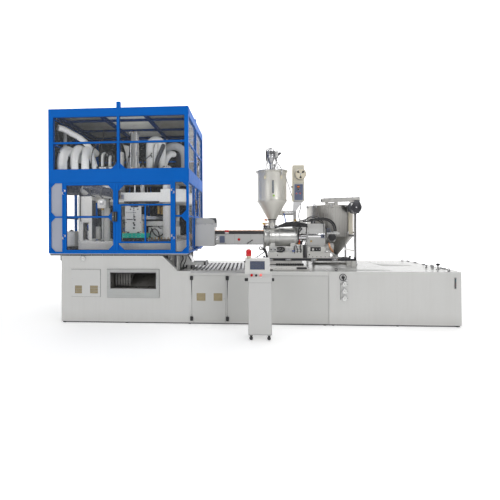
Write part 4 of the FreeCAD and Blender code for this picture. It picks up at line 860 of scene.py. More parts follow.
for k in range(4):
    a = math.radians(45 + 90 * k)
    pc.screw((4987 + 45 * math.cos(a), -9, 833 + 45 * math.sin(a)), (0, -1, 0), 4, "steel")
for k, v in ((-1, "0"), (1, "1")):
    pc.text(v, (4987 + 41 * k, -9.2, 833), 14, "whitep", 0.5)
pc.lathe([(12, 0), (12, 3), (10, 4.5), (0, 4.5)], (5052, -16, 782), (0, -1, 0), "chrome", 24)
pc.box(5050.5, 5053.5, -21, -20, 776, 788, "black", 0.3)
pc.done()
pc = Piece("main_switch_grip", "switch")
pc.lathe([(27, 0), (27, 12), (24, 17), (0, 17)], (4987, -14, 833), (0, -1, 0), "blackp", 32)
for k in range(14):
    a = math.radians(360 / 14 * k)
    pc.rod((4987 + 26.5 * math.cos(a), -14, 833 + 26.5 * math.sin(a)), (4987 + 26.5 * math.cos(a), -25, 833 + 26.5 * math.sin(a)), 2.2, "blackp", 8)
pc.box(4984.5, 4989.5, -49.2, -47.8, 856, 874, "whitep", 0.6)
pc.done()

# skids, lifting pads and levelling screws under the base
pc = Piece("levelling_feet")
for x in (60, 1200, 2330, 3500, 4680, 4820, 5900, 6880):
    for y in (36, 2114):
        pc.lathe([(26, 0), (26, 3), (20, 8), (11, 10), (11, 21.5)], (x, y - 15 if y < 100 else y + 15, 0.0), (0, 0, 1), "dark_steel", 24)
pc.done()


# covers on the back and the ends, so that every side is finished
def flat_cover(pc, u0, u1, z0, z1, place, mat="cover", louvre=0, lock=True):
    """cover in the plane of a wall; place maps (u, out, z) to layout coordinates"""
    def bx(a, b, o0, o1, c, d, m, bev=1.5):
        p, q = place(a, o0, c), place(b, o1, d)
        lo, hi = [min(i, j) for i, j in zip(p, q)], [max(i, j) for i, j in zip(p, q)]
        pc.box(lo[0], hi[0], lo[1], hi[1], lo[2], hi[2], m, bev)
    bx(u0, u1, 0.0, 4.0, z0, z1, mat, 1.6)
    bx(u0 + 18, u1 - 18, 3.6, 5.2, z0 + 18, z1 - 18, mat, 1.2)
    out = Vector(place(0, 1, 0)) - Vector(place(0, 0, 0))
    n = max(3, int((u1 - u0) / 260) + 1)
    for u in spread(u0 + 9, u1 - 9, n):
        for z in (z0 + 9, z1 - 9):
            pc.screw(place(u, 4.0, z), out, 4.5, "steel")
    for z in spread(z0 + 9, z1 - 9, max(3, int((z1 - z0) / 260) + 1))[1:-1]:
        for u in (u0 + 9, u1 - 9):
            pc.screw(place(u, 4.0, z), out, 4.5, "steel")
    for k in range(louvre):
        z = z0 + 90 + 34 * k
        bx(u0 + 110, u1 - 110, 5.0, 9.5, z, z + 15, mat, 3.0)
        bx(u0 + 112, u1 - 112, 5.0, 5.6, z - 5, z, "seam", 0.2)
    if lock:
        pc.lathe([(13, 0), (13, 3), (11, 5), (0, 5)], place(u1 - 45, 5.2, (z0 + z1) / 2), out, "steel", 20)


pc = Piece("rear_covers")
back = lambda u, o, z: (u, 2150 + o, z)
for u0, u1, lv in ((120, 820, 0), (900, 1700, 8), (2300, 3000, 0), (3080, 3800, 8), (3880, 4660, 0)):
    flat_cover(pc, u0, u1, 80, 840, back, "cover", lv)
flat_cover(pc, 120, 1700, 900, 1150, back, "cover", 0, False)
for u0, u1, lv in ((4830, 5480, 10), (5560, 6210, 0), (6290, 6880, 10)):
    flat_cover(pc, u0, u1, 70, 860, back, "cover", lv)
pc.done()
pc = Piece("end_covers")
flat_cover(pc, 180, 1000, 90, 1120, lambda u, o, z: (-o, u, z), "cover", 0)
flat_cover(pc, 1080, 1980, 90, 1120, lambda u, o, z: (-o, u, z), "cover", 9)
flat_cover(pc, 160, 1020, 80, 850, lambda u, o, z: (6950 + o, u, z), "cover", 0)
flat_cover(pc, 1120, 1990, 80, 850, lambda u, o, z: (6950 + o, u, z), "cover", 9)
pc.done()

# deck fittings of the power cabinet: covers, filler cap, lifting lugs, edge strip
pc = Piece("deck_fittings")
for x0, x1, y0, y1 in ((5000, 5860, 160, 900), (5990, 6560, 1000, 1900)):
    pc.box(x0, x1, y0, y1, 930, 933, "deck", 1.0)
    for x in spread(x0 + 14, x1 - 14, 5):
        for y in (y0 + 14, y1 - 14):
            pc.screw((x, y, 933), (0, 0, 1), 5, "steel")
pc.lathe([(34, 0), (34, 6), (26, 8), (14, 8)], (6753, 377, 930), (0, 0, 1), "steel", 28)
pc.lathe([(26, 0), (30, 4), (30, 26), (24, 34), (0, 36)], (6753, 377, 1004), (0, 0, 1), "blackp", 28)
for k in range(18):
    a = math.radians(20 * k)
    pc.rod((6753 + 29.5 * math.cos(a), 377 + 29.5 * math.sin(a), 1009), (6753 + 29.5 * math.cos(a), 377 + 29.5 * math.sin(a), 1028), 2, "blackp", 6)
for k in range(6):
    a = math.radians(60 * k)
    pc.hexbolt((6753 + 27 * math.cos(a), 377 + 27 * math.sin(a), 938), (0, 0, 1), 4, "dark_steel")
pc.box(6934, 6944, 120, 2120, 930, 934, "steel_y", 1.0)
for y in (430, 560, 905, 1240, 1610, 1985):
    pc.box(6896, 6932, y, y + 70, 930, 944, "dark_steel", 3)
    pc.hexbolt((6914, y + 35, 944), (0, 0, 1), 7, "steel")
for x, y in ((6790, 640), (6830, 760), (6700, 700)):
    pc.lathe([(22, 0), (22, 10), (15, 12), (15, 34), (20, 36), (20, 48), (12, 54), (0, 54)], (x, y, 930), (0, 0, 1), "steel", 24)
for x, y in ((4900, 2020), (6800, 2020), (4900, 110), (6800, 110)):
    pc.ring((x, y - 6, 958), (0, 1, 0), 24, 15, 12, "dark_steel", 24, 3)
    pc.lathe([(20, 0), (20, 5), (14, 9), (12, 12)], (x, y, 930), (0, 0, 1), "dark_steel", 20)
pc.done()

# small hook and cable outlet under the guard's left overhang
pc = Piece("base_corner_bracket")
pc.box(-30, 0, 20, 60, 1150, 1196, "black", 3)
pc.box(-30, -22, 20, 60, 1110, 1150, "black", 3)
pc.prism([(-160, 1224), (-20, 1224), (-20, 1200), (-60, 1200)], "y", 24, 40, "white", 2)
for x in spread(120, 1760, 9):
    pc.box(x, x + 46, 12, 19, 1200, 1224, "dark_steel", 1.5)
    pc.hexbolt((x + 23, 12, 1212), (0, -1, 0), 7, "steel")
pc.done()

# ---------------------------------------------------------------- conveyor ---
pc = Piece("conveyor_trim")
for i in range(12):
    x = 2395.5 + 79 * i
    for y, d in ((62.2, -1), (1499.8, 1)):
        pc.lathe([(16, 0), (16, 2.5), (8.5, 3.5), (8.5, 9), (0, 10)], (x, y, 914), (0, d, 0), "steel", 18)
pc.box(2352, 3308, -7, -4, 905, 928, "steel", 1.2)
# near-black strip under the front lip: painted shadow
pc.box(2352, 3308, -4.6, -0.5, 899, 905, "dark_and_painted_shade", 1.0)
for x in spread(2370, 3290, 9):
    pc.hexbolt((x, -7, 916), (0, -1, 0), 5, "steel")
for x0, x1, y0, y1 in ((2337, 2354, 48, 1514), (3306, 3323, 48, 1514)):
    for y in spread(y0 + 20, y1 - 20, 8):
        pc.screw(((x0 + x1) / 2, y, 933), (0, 0, 1), 4.5, "steel")
for x in spread(2400, 3260, 7):
    for y in (56, 1507):
        pc.screw((x, y, 933), (0, 0, 1), 4.5, "steel")
pc.box(2345, 3315, 47.5, 53, 933, 941, "unit", 1.5)
pc.done()
for i in range(12):
    x = 2395.5 + 79 * i
    q = Piece("roller_ends_%d" % (i + 1), "roller_%d" % (i + 1))
    for y, d in ((72, -1), (1490, 1)):
        q.lathe([(28, 0), (27, 1.6), (23, 1.6), (22, 0.4), (14, 0.4), (13, 3), (10.2, 3)], (x, y, 914), (0, d, 0), "blackp", 24, cap=False)
    for y in (150, 1412):
        q.lathe([(28.0, 0), (28.5, 0.6), (28.5, 5), (28.0, 5.6)], (x, y, 914), (0, 1, 0), "steel_y", 40, cap=False)
    q.done()

# chute and tray that bring bottles from the clamp to the rollers
pc = Piece("transfer_chute")
pc.box(2110, 2556, 330, 334, 1004, 1058, "unit", 1.5)
pc.box(2110, 2556, 700, 704, 1004, 1058, "unit", 1.5)
pc.box(2110, 2556, 334, 700, 1004, 1008, "steel", 1.0)
pc.prism([(2102, 1232), (2210, 1232), (2330, 1056), (2136, 1056)], "y", 322, 328, "cover", 1.5)
pc.prism([(2102, 1232), (2210, 1232), (2330, 1056), (2136, 1056)], "y", 706, 712, "cover", 1.5)
pc.prism([(2210, 1232), (2214, 1232), (2338, 1050), (2333, 1050)], "y", 328, 706, "steel", 1.0)
pc.rod((2566, 336, 1030), (2566, 698, 1030), 20, "dark_steel", 24, 3)
pc.box(2548, 2584, 322, 334, 1000, 1062, "blackp", 4)
pc.box(2548, 2584, 700, 712, 1000, 1062, "blackp", 4)
for x in (2150, 2300):
    for y in (345, 660):
        pc.box(x, x + 30, y, y + 30, 933 if x > 2200 else 930, 1004, "dark_steel", 2)
pc.rod((2236, 318, 1222), (2318, 318, 1082), 7, "black", 14)
pc.rod((2277, 318, 1152), (2318, 318, 1082), 11, "blackp", 16)
for p in ((2236, 314, 1222), (2318, 314, 1082)):
    pc.lathe([(9, 0), (9, 8), (0, 9)], p, (0, -1, 0), "steel", 14)
for x in spread(2130, 2530, 6):
    pc.screw((x, 330, 1046), (0, -1, 0), 4, "steel")
pc.done()

# dark props and pipes between the base and the guard's overhang
pc = Piece("overhang_pipes")
for x, r in ((1900, 13), (2050, 16), (2095, 9)):
    pc.rod((x, 150, 931), (x, 150, 1224), r, "dark_steel" if r > 10 else "whitep", 16)
pc.tube([(2150, 160, 931), (2150, 160, 1050), (2190, 170, 1130), (2160, 190, 1224)], 11, "hose", 12, smooth=8)
pc.tube([(2180, 200, 931), (2185, 200, 1000), (2230, 210, 1100), (2240, 220, 1224)], 9, "hose", 12, smooth=8)
pc.box(1870, 1880, 140, 1900, 1190, 1224, "dark_steel", 2)
pc.done()
# --------------------------------------------------------------------- guard ---
def gasket_y(pc, x0, x1, z0, z1, y0, y1, w=7, mat="hose", screws=0, n=(0, -1, 0)):
    """rubber strip round an opening in a plane square to Y"""
    for a, b, c, d in ((x0, x1, z1 - w, z1), (x0, x1, z0, z0 + w), (x0, x0 + w, z0 + w, z1 - w), (x1 - w, x1, z0 + w, z1 - w)):
        pc.box(a, b, y0, y1, c, d, mat, 1.2)
    if screws:
        yy = y0 if n[1] < 0 else y1
        for x in spread(x0 + 26, x1 - 26, max(2, int((x1 - x0) / screws) + 1)):
            for z in (z0 + w + 9, z1 - w - 9):
                pc.screw((x, yy + (4.2 if n[1] < 0 else -4.2), z), n, 5, "steel")


def gasket_x(pc, y0, y1, z0, z1, x0, x1, w=7, mat="hose"):
    for a, b, c, d in ((y0, y1, z1 - w, z1), (y0, y1, z0, z0 + w), (y0, y0 + w, z0 + w, z1 - w), (y1 - w, y1, z0 + w, z1 - w)):
        pc.box(x0, x1, a, b, c, d, mat, 1.2)


pc = Piece("glazing_seals")
for x0, x1 in ((-150, 1030), (1075, 2250)):
    for z0, z1 in ((2757, 3220), (3250, 3700)):
        gasket_y(pc, x0, x1, z0, z1, 24, 30)
        gasket_y(pc, x0, x1, z0, z1, 2077, 2083)
for z0, z1 in ((1270, 1895), (1920, 2510)):
    gasket_y(pc, 2080, 2280, z0, z1, 23, 29)
for x0, x1 in ((-175, 1030), (1075, 2260)):
    gasket_y(pc, x0, x1, 1270, 2510, 2073, 2079)
for y0, y1 in ((60, 1000), (1065, 2040)):
    for z0, z1 in ((2757, 3220), (3250, 3700)):
        gasket_x(pc, y0, y1, z0, z1, -221, -215)
        gasket_x(pc, y0, y1, z0, z1, 2295, 2301)
for y0, y1 in ((60, 1005), (1055, 2040)):
    for z0, z1 in ((1270, 1885), (1910, 2510)):
        gasket_x(pc, y0, y1, z0, z1, -219, -213)
for y0, y1, z0, z1 in ((60, 760, 1270, 1895), (60, 760, 1920, 2510), (1350, 2040, 1270, 1895), (1350, 2040, 1920, 2510), (800, 1310, 1930, 2510)):
    gasket_x(pc, y0, y1, z0, z1, 2298, 2304)
pc.done()

pc = Piece("glazing_screws")
for x0, x1 in ((-150, 1030), (1075, 2250)):
    for z0, z1 in ((2757, 3220), (3250, 3700)):
        for x in spread(x0 + 60, x1 - 60, 5):
            for z in (z0 + 16, z1 - 16):
                pc.screw((x, 30, z), (0, -1, 0), 6, "steel")
for y0, y1 in ((60, 1000), (1065, 2040)):
    for z0, z1 in ((2757, 3220), (3250, 3700)):
        for y in spread(y0 + 50, y1 - 50, 4):
            for z in (z0 + 16, z1 - 16):
                pc.screw((2295, y, z), (1, 0, 0), 6, "steel")
                pc.screw((-215, y, z), (-1, 0, 0), 6, "steel")
for y0, y1, z0, z1 in ((60, 760, 1270, 1895), (60, 760, 1920, 2510), (1350, 2040, 1270, 1895), (1350, 2040, 1920, 2510)):
    for y in spread(y0 + 50, y1 - 50, 3):
        for z in (z0 + 18, z1 - 18):
            pc.screw((2298, y, z), (1, 0, 0), 6, "steel")
for x in (-165, -12):
    for z in (1345, 1600, 1855, 1940, 2200, 2455):
        pc.screw((x, 24, z), (0, -1, 0), 5.5, "steel")
pc.done()

# fixed side of the door hinges, with bright pins
pc = Piece("door_hinge_pins")
for x, s in ((50, -1), (2040, 1)):
    for z in (1500, 2310):
        pc.rod((x, -10, z - 5), (x, -10, z + 82), 4.6, "chrome_z", 14, 1)
        pc.lathe([(8.6, 0), (8.6, 3), (5, 5), (0, 5)], (x, -10, z + 80), (0, 0, 1), "steel", 18)
        pc.lathe([(8.6, 0), (8.6, 3), (5, 5), (0, 5)], (x, -10, z - 2), (0, 0, -1), "steel", 18)
        pc.box(*sorted((x + s * 9, x + s * 30)), -6.5, -3.6, z - 1, z + 39, "steel", 0.8)
        for zz in (z + 8, z + 30):
            pc.screw((x + s * 20, -6.5, zz), (0, -1, 0), 3.6, "chrome")
pc.done()


def door_kit(name, body, hx, s, panes):
    pc = Piece(name, body)
    for x0, x1, z0, z1 in panes:
        gasket_y(pc, x0, x1, z0, z1, 20, 26)
        for x in spread(x0 + 40, x1 - 40, max(3, int((x1 - x0) / 220) + 1)):
            for z in (z0 + 15, z1 - 15):
                pc.screw((x, 26, z), (0, -1, 0), 5.5, "steel")
    for z in (1539, 2349):
        pc.box(*sorted((hx + s * 9, hx + s * 34)), -6.5, -3.6, z - 1, z + 39, "steel", 0.8)
        for zz in (z + 8, z + 30):
            pc.screw((hx + s * 22, -6.5, zz), (0, -1, 0), 3.6, "chrome")
    return pc


pc = door_kit("guard_door_left_kit", "door_left", 50, 1, ((93, 957, 1303, 1885), (93, 957, 1910, 2467)))
# lock body with its lever and the actuator of the safety switch
pc.box(951, 995, -46, -42, 1822, 1978, "blackp", 2)
for z0, z1 in ((1832, 1892), (1908, 1968)):
    pc.box(957, 989, -48.5, -45.5, z0, z1, "motor", 1.5)
pc.lathe([(9, 0), (9, 4), (7, 6), (0, 6)], (973, -46, 1900), (0, -1, 0), "steel", 20)
for x in (955, 991):
    for z in (1827, 1973):
        pc.screw((x, -46, z), (0, -1, 0), 3, "steel")
pc.tube([(905, 2, 2060), (905, -38, 2060), (905, -46, 2075), (905, -46, 2195), (905, -38, 2210), (905, 2, 2210)], 7, "blackp", 12, smooth=4)
pc.box(893, 917, -3, 7, 2046, 2074, "blackp", 3)
pc.box(893, 917, -3, 7, 2196, 2224, "blackp", 3)
pc.done()
pc = door_kit("guard_door_right_kit", "door_right", 2040, -1, ((1048, 1998, 1303, 1428), (1048, 1998, 2121, 2467), (1100, 1528, 1452, 2098), (1550, 1998, 1452, 2098)))
pc.box(1006, 1033, -45, -42, 1822, 1978, "blackp", 2)
for z0, z1 in ((1832, 1892), (1908, 1968)):
    pc.box(1010, 1029, -47.5, -44.5, z0, z1, "motor", 1.5)
pc.lathe([(4, 0), (4, 1.5), (0, 2)], (1019, -45, 1900), (0, -1, 0), "lime", 14)
pc.done()

# roof sheets: raised seams and screws, seen from above and through the storey
pc = Piece("roof_seams")
for x in (-172, 715, 1525, 2257):
    pc.box(x - 16, x + 16, 62, 2038, 3764, 3768, "roof", 1.2)
    for y in spread(110, 1990, 9):
        pc.screw((x, y, 3768), (0, 0, 1), 5.5, "steel")
for y in (80, 2020):
    pc.box(-160, 2245, y - 12, y + 12, 3764, 3767.5, "roof", 1.2)
pc.done()

# wiring duct, junction boxes and cable runs on the guard's beams
pc = Piece("guard_wiring")
pc.box(-170, 2255, 2000, 2038, 2680, 2740, "cover", 2)
for x in spread(-140, 2220, 46):
    pc.box(x, x + 8, 1997.5, 2000.5, 2686, 2734, "seam", 0.5)
pc.box(2180, 2256, 1700, 1900, 2540, 2740, "console", 4)
pc.box(2172, 2182, 1712, 1888, 2552, 2728, "console_head", 3)
for y in (1720, 1880):
    for z in (2560, 2720):
        pc.screw((2172, y, z), (-1, 0, 0), 4, "steel")
pc.tube([(2220, 1800, 2540), (2225, 1800, 2420), (2262, 1820, 2380), (2262, 1820, 1300)], 9, "hose", 12, smooth=6)
pc.tube([(2235, 1840, 2540), (2240, 1840, 2460), (2250, 1860, 2400), (2252, 1860, 1300)], 7, "hose", 12, smooth=6)
for x in spread(60, 980, 5):
    pc.box(x, x + 16, 36, 60.5, 2500, 2510, "blackp", 2)
pc.tube([(960, 66, 2530), (600, 70, 2526), (200, 68, 2532), (-150, 72, 2528), (-180, 90, 2500), (-184, 110, 2300), (-184, 110, 1290)], 8, "hose", 12, smooth=6)
pc.done()

# handle and small black-rimmed hatch on the right side, buffers on the sill
pc = Piece("side_hatch")
for a, b, c, d in ((1090, 1230, 2250, 2266), (1090, 1230, 2064, 2080), (1090, 1106, 2080, 2250), (1214, 1230, 2080, 2250)):
    pc.box(2298, 2310, a, b, c, d, "blackp", 4)
pc.box(2299, 2302, 1104, 1216, 2078, 2252, "brass", 1)
for y in (130, 400, 690):
    pc.lathe([(15, 0), (15, 6), (11, 10), (0, 11)], (2310, y, 1345 + (y == 400) * 60), (1, 0, 0), "blackp", 20)
pc.tube([(2320, 835, 2010), (2350, 835, 2010), (2356, 835, 2020), (2356, 835, 2150), (2350, 835, 2160), (2320, 835, 2160)], 7, "blackp", 12, smooth=4)
pc.done()
pc = Piece("gas_strut")
pc.rod((2330, 1420, 3160), (2330, 1180, 2860), 9, "steel", 16)
pc.rod((2330, 1420, 3160), (2330, 1290, 2997), 13, "black", 18)
for p in ((2322, 1420, 3160), (2322, 1180, 2860)):
    pc.rod(p, (p[0] + 16, p[1], p[2]), 8, "dark_steel", 14)
    pc.box(2312, 2324, p[1] - 16, p[1] + 16, p[2] - 16, p[2] + 16, "blackp", 3)
pc.done()
# ----------------------------------------------------------- inside the guard --
# bed: bolts, T-slots, drip rail, manifold with nipples and hoses
pc = Piece("bed_fittings")
for x in spread(260, 2000, 8):
    for y in (275, 1825):
        pc.hexbolt((x, y, 1440), (0, 0, 1), 15, "dark_steel")
for y in (1320, 1420, 1640):
    pc.box(500, 1700, y, y + 3, 1440, 1441.2, "seam", 0.3)
    pc.box(500, 1700, y + 26, y + 29, 1440, 1441.2, "seam", 0.3)
pc.box(206, 2054, 242, 250, 1398, 1448, "cast", 3)
for x in spread(240, 2020, 12):
    pc.screw((x, 242, 1424), (0, -1, 0), 7, "steel")
pc.box(1500, 1980, 262, 312, 1440, 1486, "dark_steel", 3)
cols = ["hose", "hose", "hose_white", "hose", "hose", "hose_blue", "hose", "hose_white"]
for k, c in enumerate(cols):
    x = 1530 + 60 * k
    pc.lathe([(12, 0), (12, 8), (9, 10), (9, 22), (11, 24), (11, 30), (7, 33)], (x, 287, 1486), (0, 0, 1), "brass", 18)
    dx = rnd.uniform(-20, 20)
    if k in (0, 3, 7):
        pc.tube([(x, 287, 1512), (x + 4, 300, 1534), (x + dx, 340, 1540), (x + dx * 2, 440, 1520), (x + dx, 560, 1474), (x + dx, 700, 1462)], 7.5, c, 10, smooth=6)
pc.done()

# left of the column: white reservoir of the central lubricator on its pump
pc = Piece("oil_reservoir")
pc.box(-196, 20, 470, 690, 1245, 1318, "motor", 6)
pc.box(-204, 28, 462, 698, 1318, 1338, "blackp", 4)
rr = []
for z, g in ((1338, 0), (1346, 6), (1600, 10), (1616, 6)):
    rr.append((z, g))
pc.box(-200, 24, 466, 694, 1338, 1612, "whitep", 22, 4)
pc.box(-206, 30, 460, 700, 1612, 1634, "whitep", 8, 3)
pc.lathe([(40, 0), (40, 16), (34, 22), (12, 24), (12, 34), (0, 36)], (-90, 580, 1634), (0, 0, 1), "blackp", 28)
for z in (1400, 1460, 1520, 1580):
    pc.box(-203, -199, 500, 560, z, z + 3, "black", 0.3)
pc.rod((20, 560, 1280), (60, 560, 1280), 12, "brass", 16)
pc.tube([(60, 560, 1280), (110, 560, 1285), (150, 500, 1330), (170, 450, 1430), (176, 420, 1600)], 6, "hose", 10, smooth=6)
pc.done()

# take-out unit: column window, chain, valves, drum ribs, arm clamp, rod head
pc = Piece("takeout_details")
for a, b, c, d in ((282, 403, 1798, 1808), (282, 403, 1467, 1477), (282, 292, 1477, 1798), (393, 403, 1477, 1798)):
    pc.box(a, b, 256, 263, c, d, "steel", 1.5)
for i in range(11):
    z = 1492 + 27 * i
    pc.box(312, 352, 300, 330, z, z + 21, "blackp", 3)
    pc.rod((316, 298, z + 10), (316, 332, z + 10), 4, "steel", 10)
pc.box(360, 388, 290, 340, 1500, 1640, "steel", 2)
pc.box(356, 390, 286, 300, 1660, 1760, "hose_blue", 3)
pc.tube([(372, 292, 1640), (372, 280, 1665), (350, 282, 1720), (336, 300, 1780)], 5, "hose", 10, smooth=6)
for x in (215, 325, 435):
    for z in (1462, 2270):
        pc.hexbolt((x, 262, z), (0, -1, 0), 9, "steel")
pc.box(185, 465, 252, 450, 1440, 1456, "cast", 3)
for x in (205, 445):
    pc.hexbolt((x, 256 + 10, 1456), (0, 0, 1), 10, "dark_steel")
for k in range(11):
    x = -48 + 30 * k
    pc.lathe([(130, 0), (136, 2), (136, 7), (130, 9)], (x, 400, 2462), (1, 0, 0), "motor", 48, cap=False)
pc.lathe([(130, 0), (140, 3), (140, 20), (131, 24)], (306, 400, 2462), (1, 0, 0), "motor", 48, cap=False)
for k in range(10):
    a = math.radians(36 * k)
    pc.hexbolt((330, 400 + 118 * math.cos(a), 2462 + 118 * math.sin(a)), (1, 0, 0), 8, "steel")
pc.lathe([(132, 0), (132, 6), (112, 22), (60, 30), (22, 32), (22, 40), (0, 40)], (-60, 400, 2462), (-1, 0, 0), "motor", 48)
pc.lathe([(104, 0), (104, 8), (99, 10)] + [(98 * math.cos(math.radians(a)), 10 + 52 * math.sin(math.radians(a))) for a in range(0, 90, 9)] + [(0, 62)],
         (322, 296, 2405), (0.12, -1, 0.04), "pipe_dark", 56)
pc.lathe([(106, -60), (106, 0)], (322, 296, 2405), (0.12, -1, 0.04), "motor", 56)
pc.ring((318, 262, 2406), (0.12, -1, 0.04), 84, 80, 2.5, "dark_steel", 56, 0.8)
for k in range(8):
    a = math.radians(22.5 + 45 * k)
    pc.screw((322 + 99 * math.cos(a), 287, 2405 + 99 * math.sin(a)), (0.12, -1, 0.04), 5, "dark_steel")
d = Vector((1, 0, -0.20)).normalized()
p0 = Vector((300, 330, 2440))
for t in (120, 330, 560):
    pc.lathe([(98, 0), (104, 3), (104, 30), (98, 33)], p0 + d * t, d, "motor", 44, cap=False)
pc.lathe([(98, 0), (98, 8), (80, 22), (40, 26), (0, 26)], p0 + d * 640, d, "motor", 40)
pc.box(225, 335, 318, 400, 2586, 2640, "motor", 6)
for x in (245, 315):
    for y in (335, 384):
        pc.screw((x, y, 2640), (0, 0, 1), 6, "steel")
pc.tube([(280, 318, 2610), (280, 290, 2612), (262, 262, 2560), (246, 255, 2300), (240, 255, 1900), (250, 254, 1820)], 8, "hose", 12, smooth=6)
pc.lathe([(34, 0), (34, 14), (24, 20), (18.3, 22)], (625, 352, 1440), (0, 0, 1), "dark_steel", 28)
for k in range(4):
    a = math.radians(45 + 90 * k)
    pc.hexbolt((625 + 27 * math.cos(a), 352 + 27 * math.sin(a), 1454), (0, 0, 1), 5, "steel")
pc.lathe([(18.3, 0), (28, 2), (28, 34), (22, 38), (18.2, 38)], (625, 352, 2034), (0, 0, 1), "brass", 28)
pc.box(596, 668, 287, 294, 2130, 2200, "steel", 2)
pc.box(590, 662, 310, 394, 2200, 2250, "cast", 4)
pc.lathe([(14, 0), (14, 22), (9, 26), (9, 34), (0, 34)], (625, 352, 2250), (0, 0, 1), "blackp", 20)
pc.box(371, 504, 480, 560, 1474, 1726, "cast", 5)
pc.box(371, 504, 480, 560, 1728, 1882, "motor", 5)
pc.box(380, 495, 474, 481, 1486, 1716, "whitep", 3)
pc.box(455, 459, 268, 436, 1500, 2216, "motor", 1.5)
for k in range(12):
    pc.box(458.4, 461, 290, 414, 1760 + 34 * k, 1770 + 34 * k, "black", 0.8)
for x in (388, 487):
    for z in (1498, 1704, 1742, 1868):
        pc.screw((x, 474 if z < 1728 else 480, z), (0, -1, 0), 4, "steel")
for k in range(6):
    pc.box(392, 484, 477.5, 480.5, 1752 + 19 * k, 1758 + 19 * k, "black", 0.8)
pc.box(553, 708, 294, 336, 2100, 2230, "cast", 6)
for x in (566, 695):
    for z in (2114, 2216):
        pc.hexbolt((x, 294, z), (0, -1, 0), 6, "dark_steel")
pc.tube([(625, 352, 2280), (625, 352, 2330), (560, 380, 2400), (470, 420, 2420)], 7, "hose_blue", 12, smooth=6)
pc.done()

# tables' stations: neck plates with split rings and bolts, hub cover
pc = Piece("station_plates", "table")
for k in range(4):
    ca, sa = (1, 0, -1, 0)[k], (0, 1, 0, -1)[k]
    cx, cy = 1200 + 480 * ca, 1050 + 480 * sa
    w, h = (52, 150) if ca else (150, 52)
    for u in (-1, 1):
        lo, hi = sorted((24 * u, 52 * u))
        if ca:
            pc.box(cx + lo, cx + hi, cy - h, cy + h, 1920, 1926, "steel", 2)
        else:
            pc.box(cx - w, cx + w, cy + lo, cy + hi, 1920, 1926, "steel", 2)
    for v0, v1 in ((-150, -114), (-66, -24), (24, 66), (114, 150)):
        if ca:
            pc.box(cx - 24.5, cx + 24.5, cy + v0, cy + v1, 1920.2, 1925.8, "steel", 1)
        else:
            pc.box(cx + v0, cx + v1, cy - 24.5, cy + 24.5, 1920.2, 1925.8, "steel", 1)
    for j in (-1, 0, 1):
        x, y = cx + (0 if ca else 90 * j), cy + (90 * j if ca else 0)
        pc.ring((x, y, 1926), (0, 0, 1), 31, 20.2, 7, "chrome_z", 36, 1.5)
        for q in range(3):
            a = math.radians(30 + 120 * q)
            pc.screw((x + 26 * math.cos(a), y + 26 * math.sin(a), 1932.6), (0, 0, 1), 2.6, "dark_steel")
    for u in (-1, 1):
        for v in (-1, 1):
            pc.hexbolt((cx + u * (w - 14), cy + v * (h - 14), 1926), (0, 0, 1), 7, "dark_steel")
for k in range(8):
    a = math.radians(22.5 + 45 * k)
    pc.hexbolt((1200 + 80 * math.cos(a), 1050 + 80 * math.sin(a), 1962), (0, 0, 1), 9, "dark_steel")
pc.ring((1200, 1050, 1962), (0, 0, 1), 60, 30, 10, "steel", 40)
for k in range(24):
    a = math.radians(15 * k)
    pc.hexbolt((1200 + 582 * math.cos(a), 1050 + 582 * math.sin(a), 1920), (0, 0, 1), 5.5, "dark_steel")
pc.ring((1200, 1050, 1920), (0, 0, 1), 300, 286, 1.5, "seam", 72, 0.4)
pc.done()

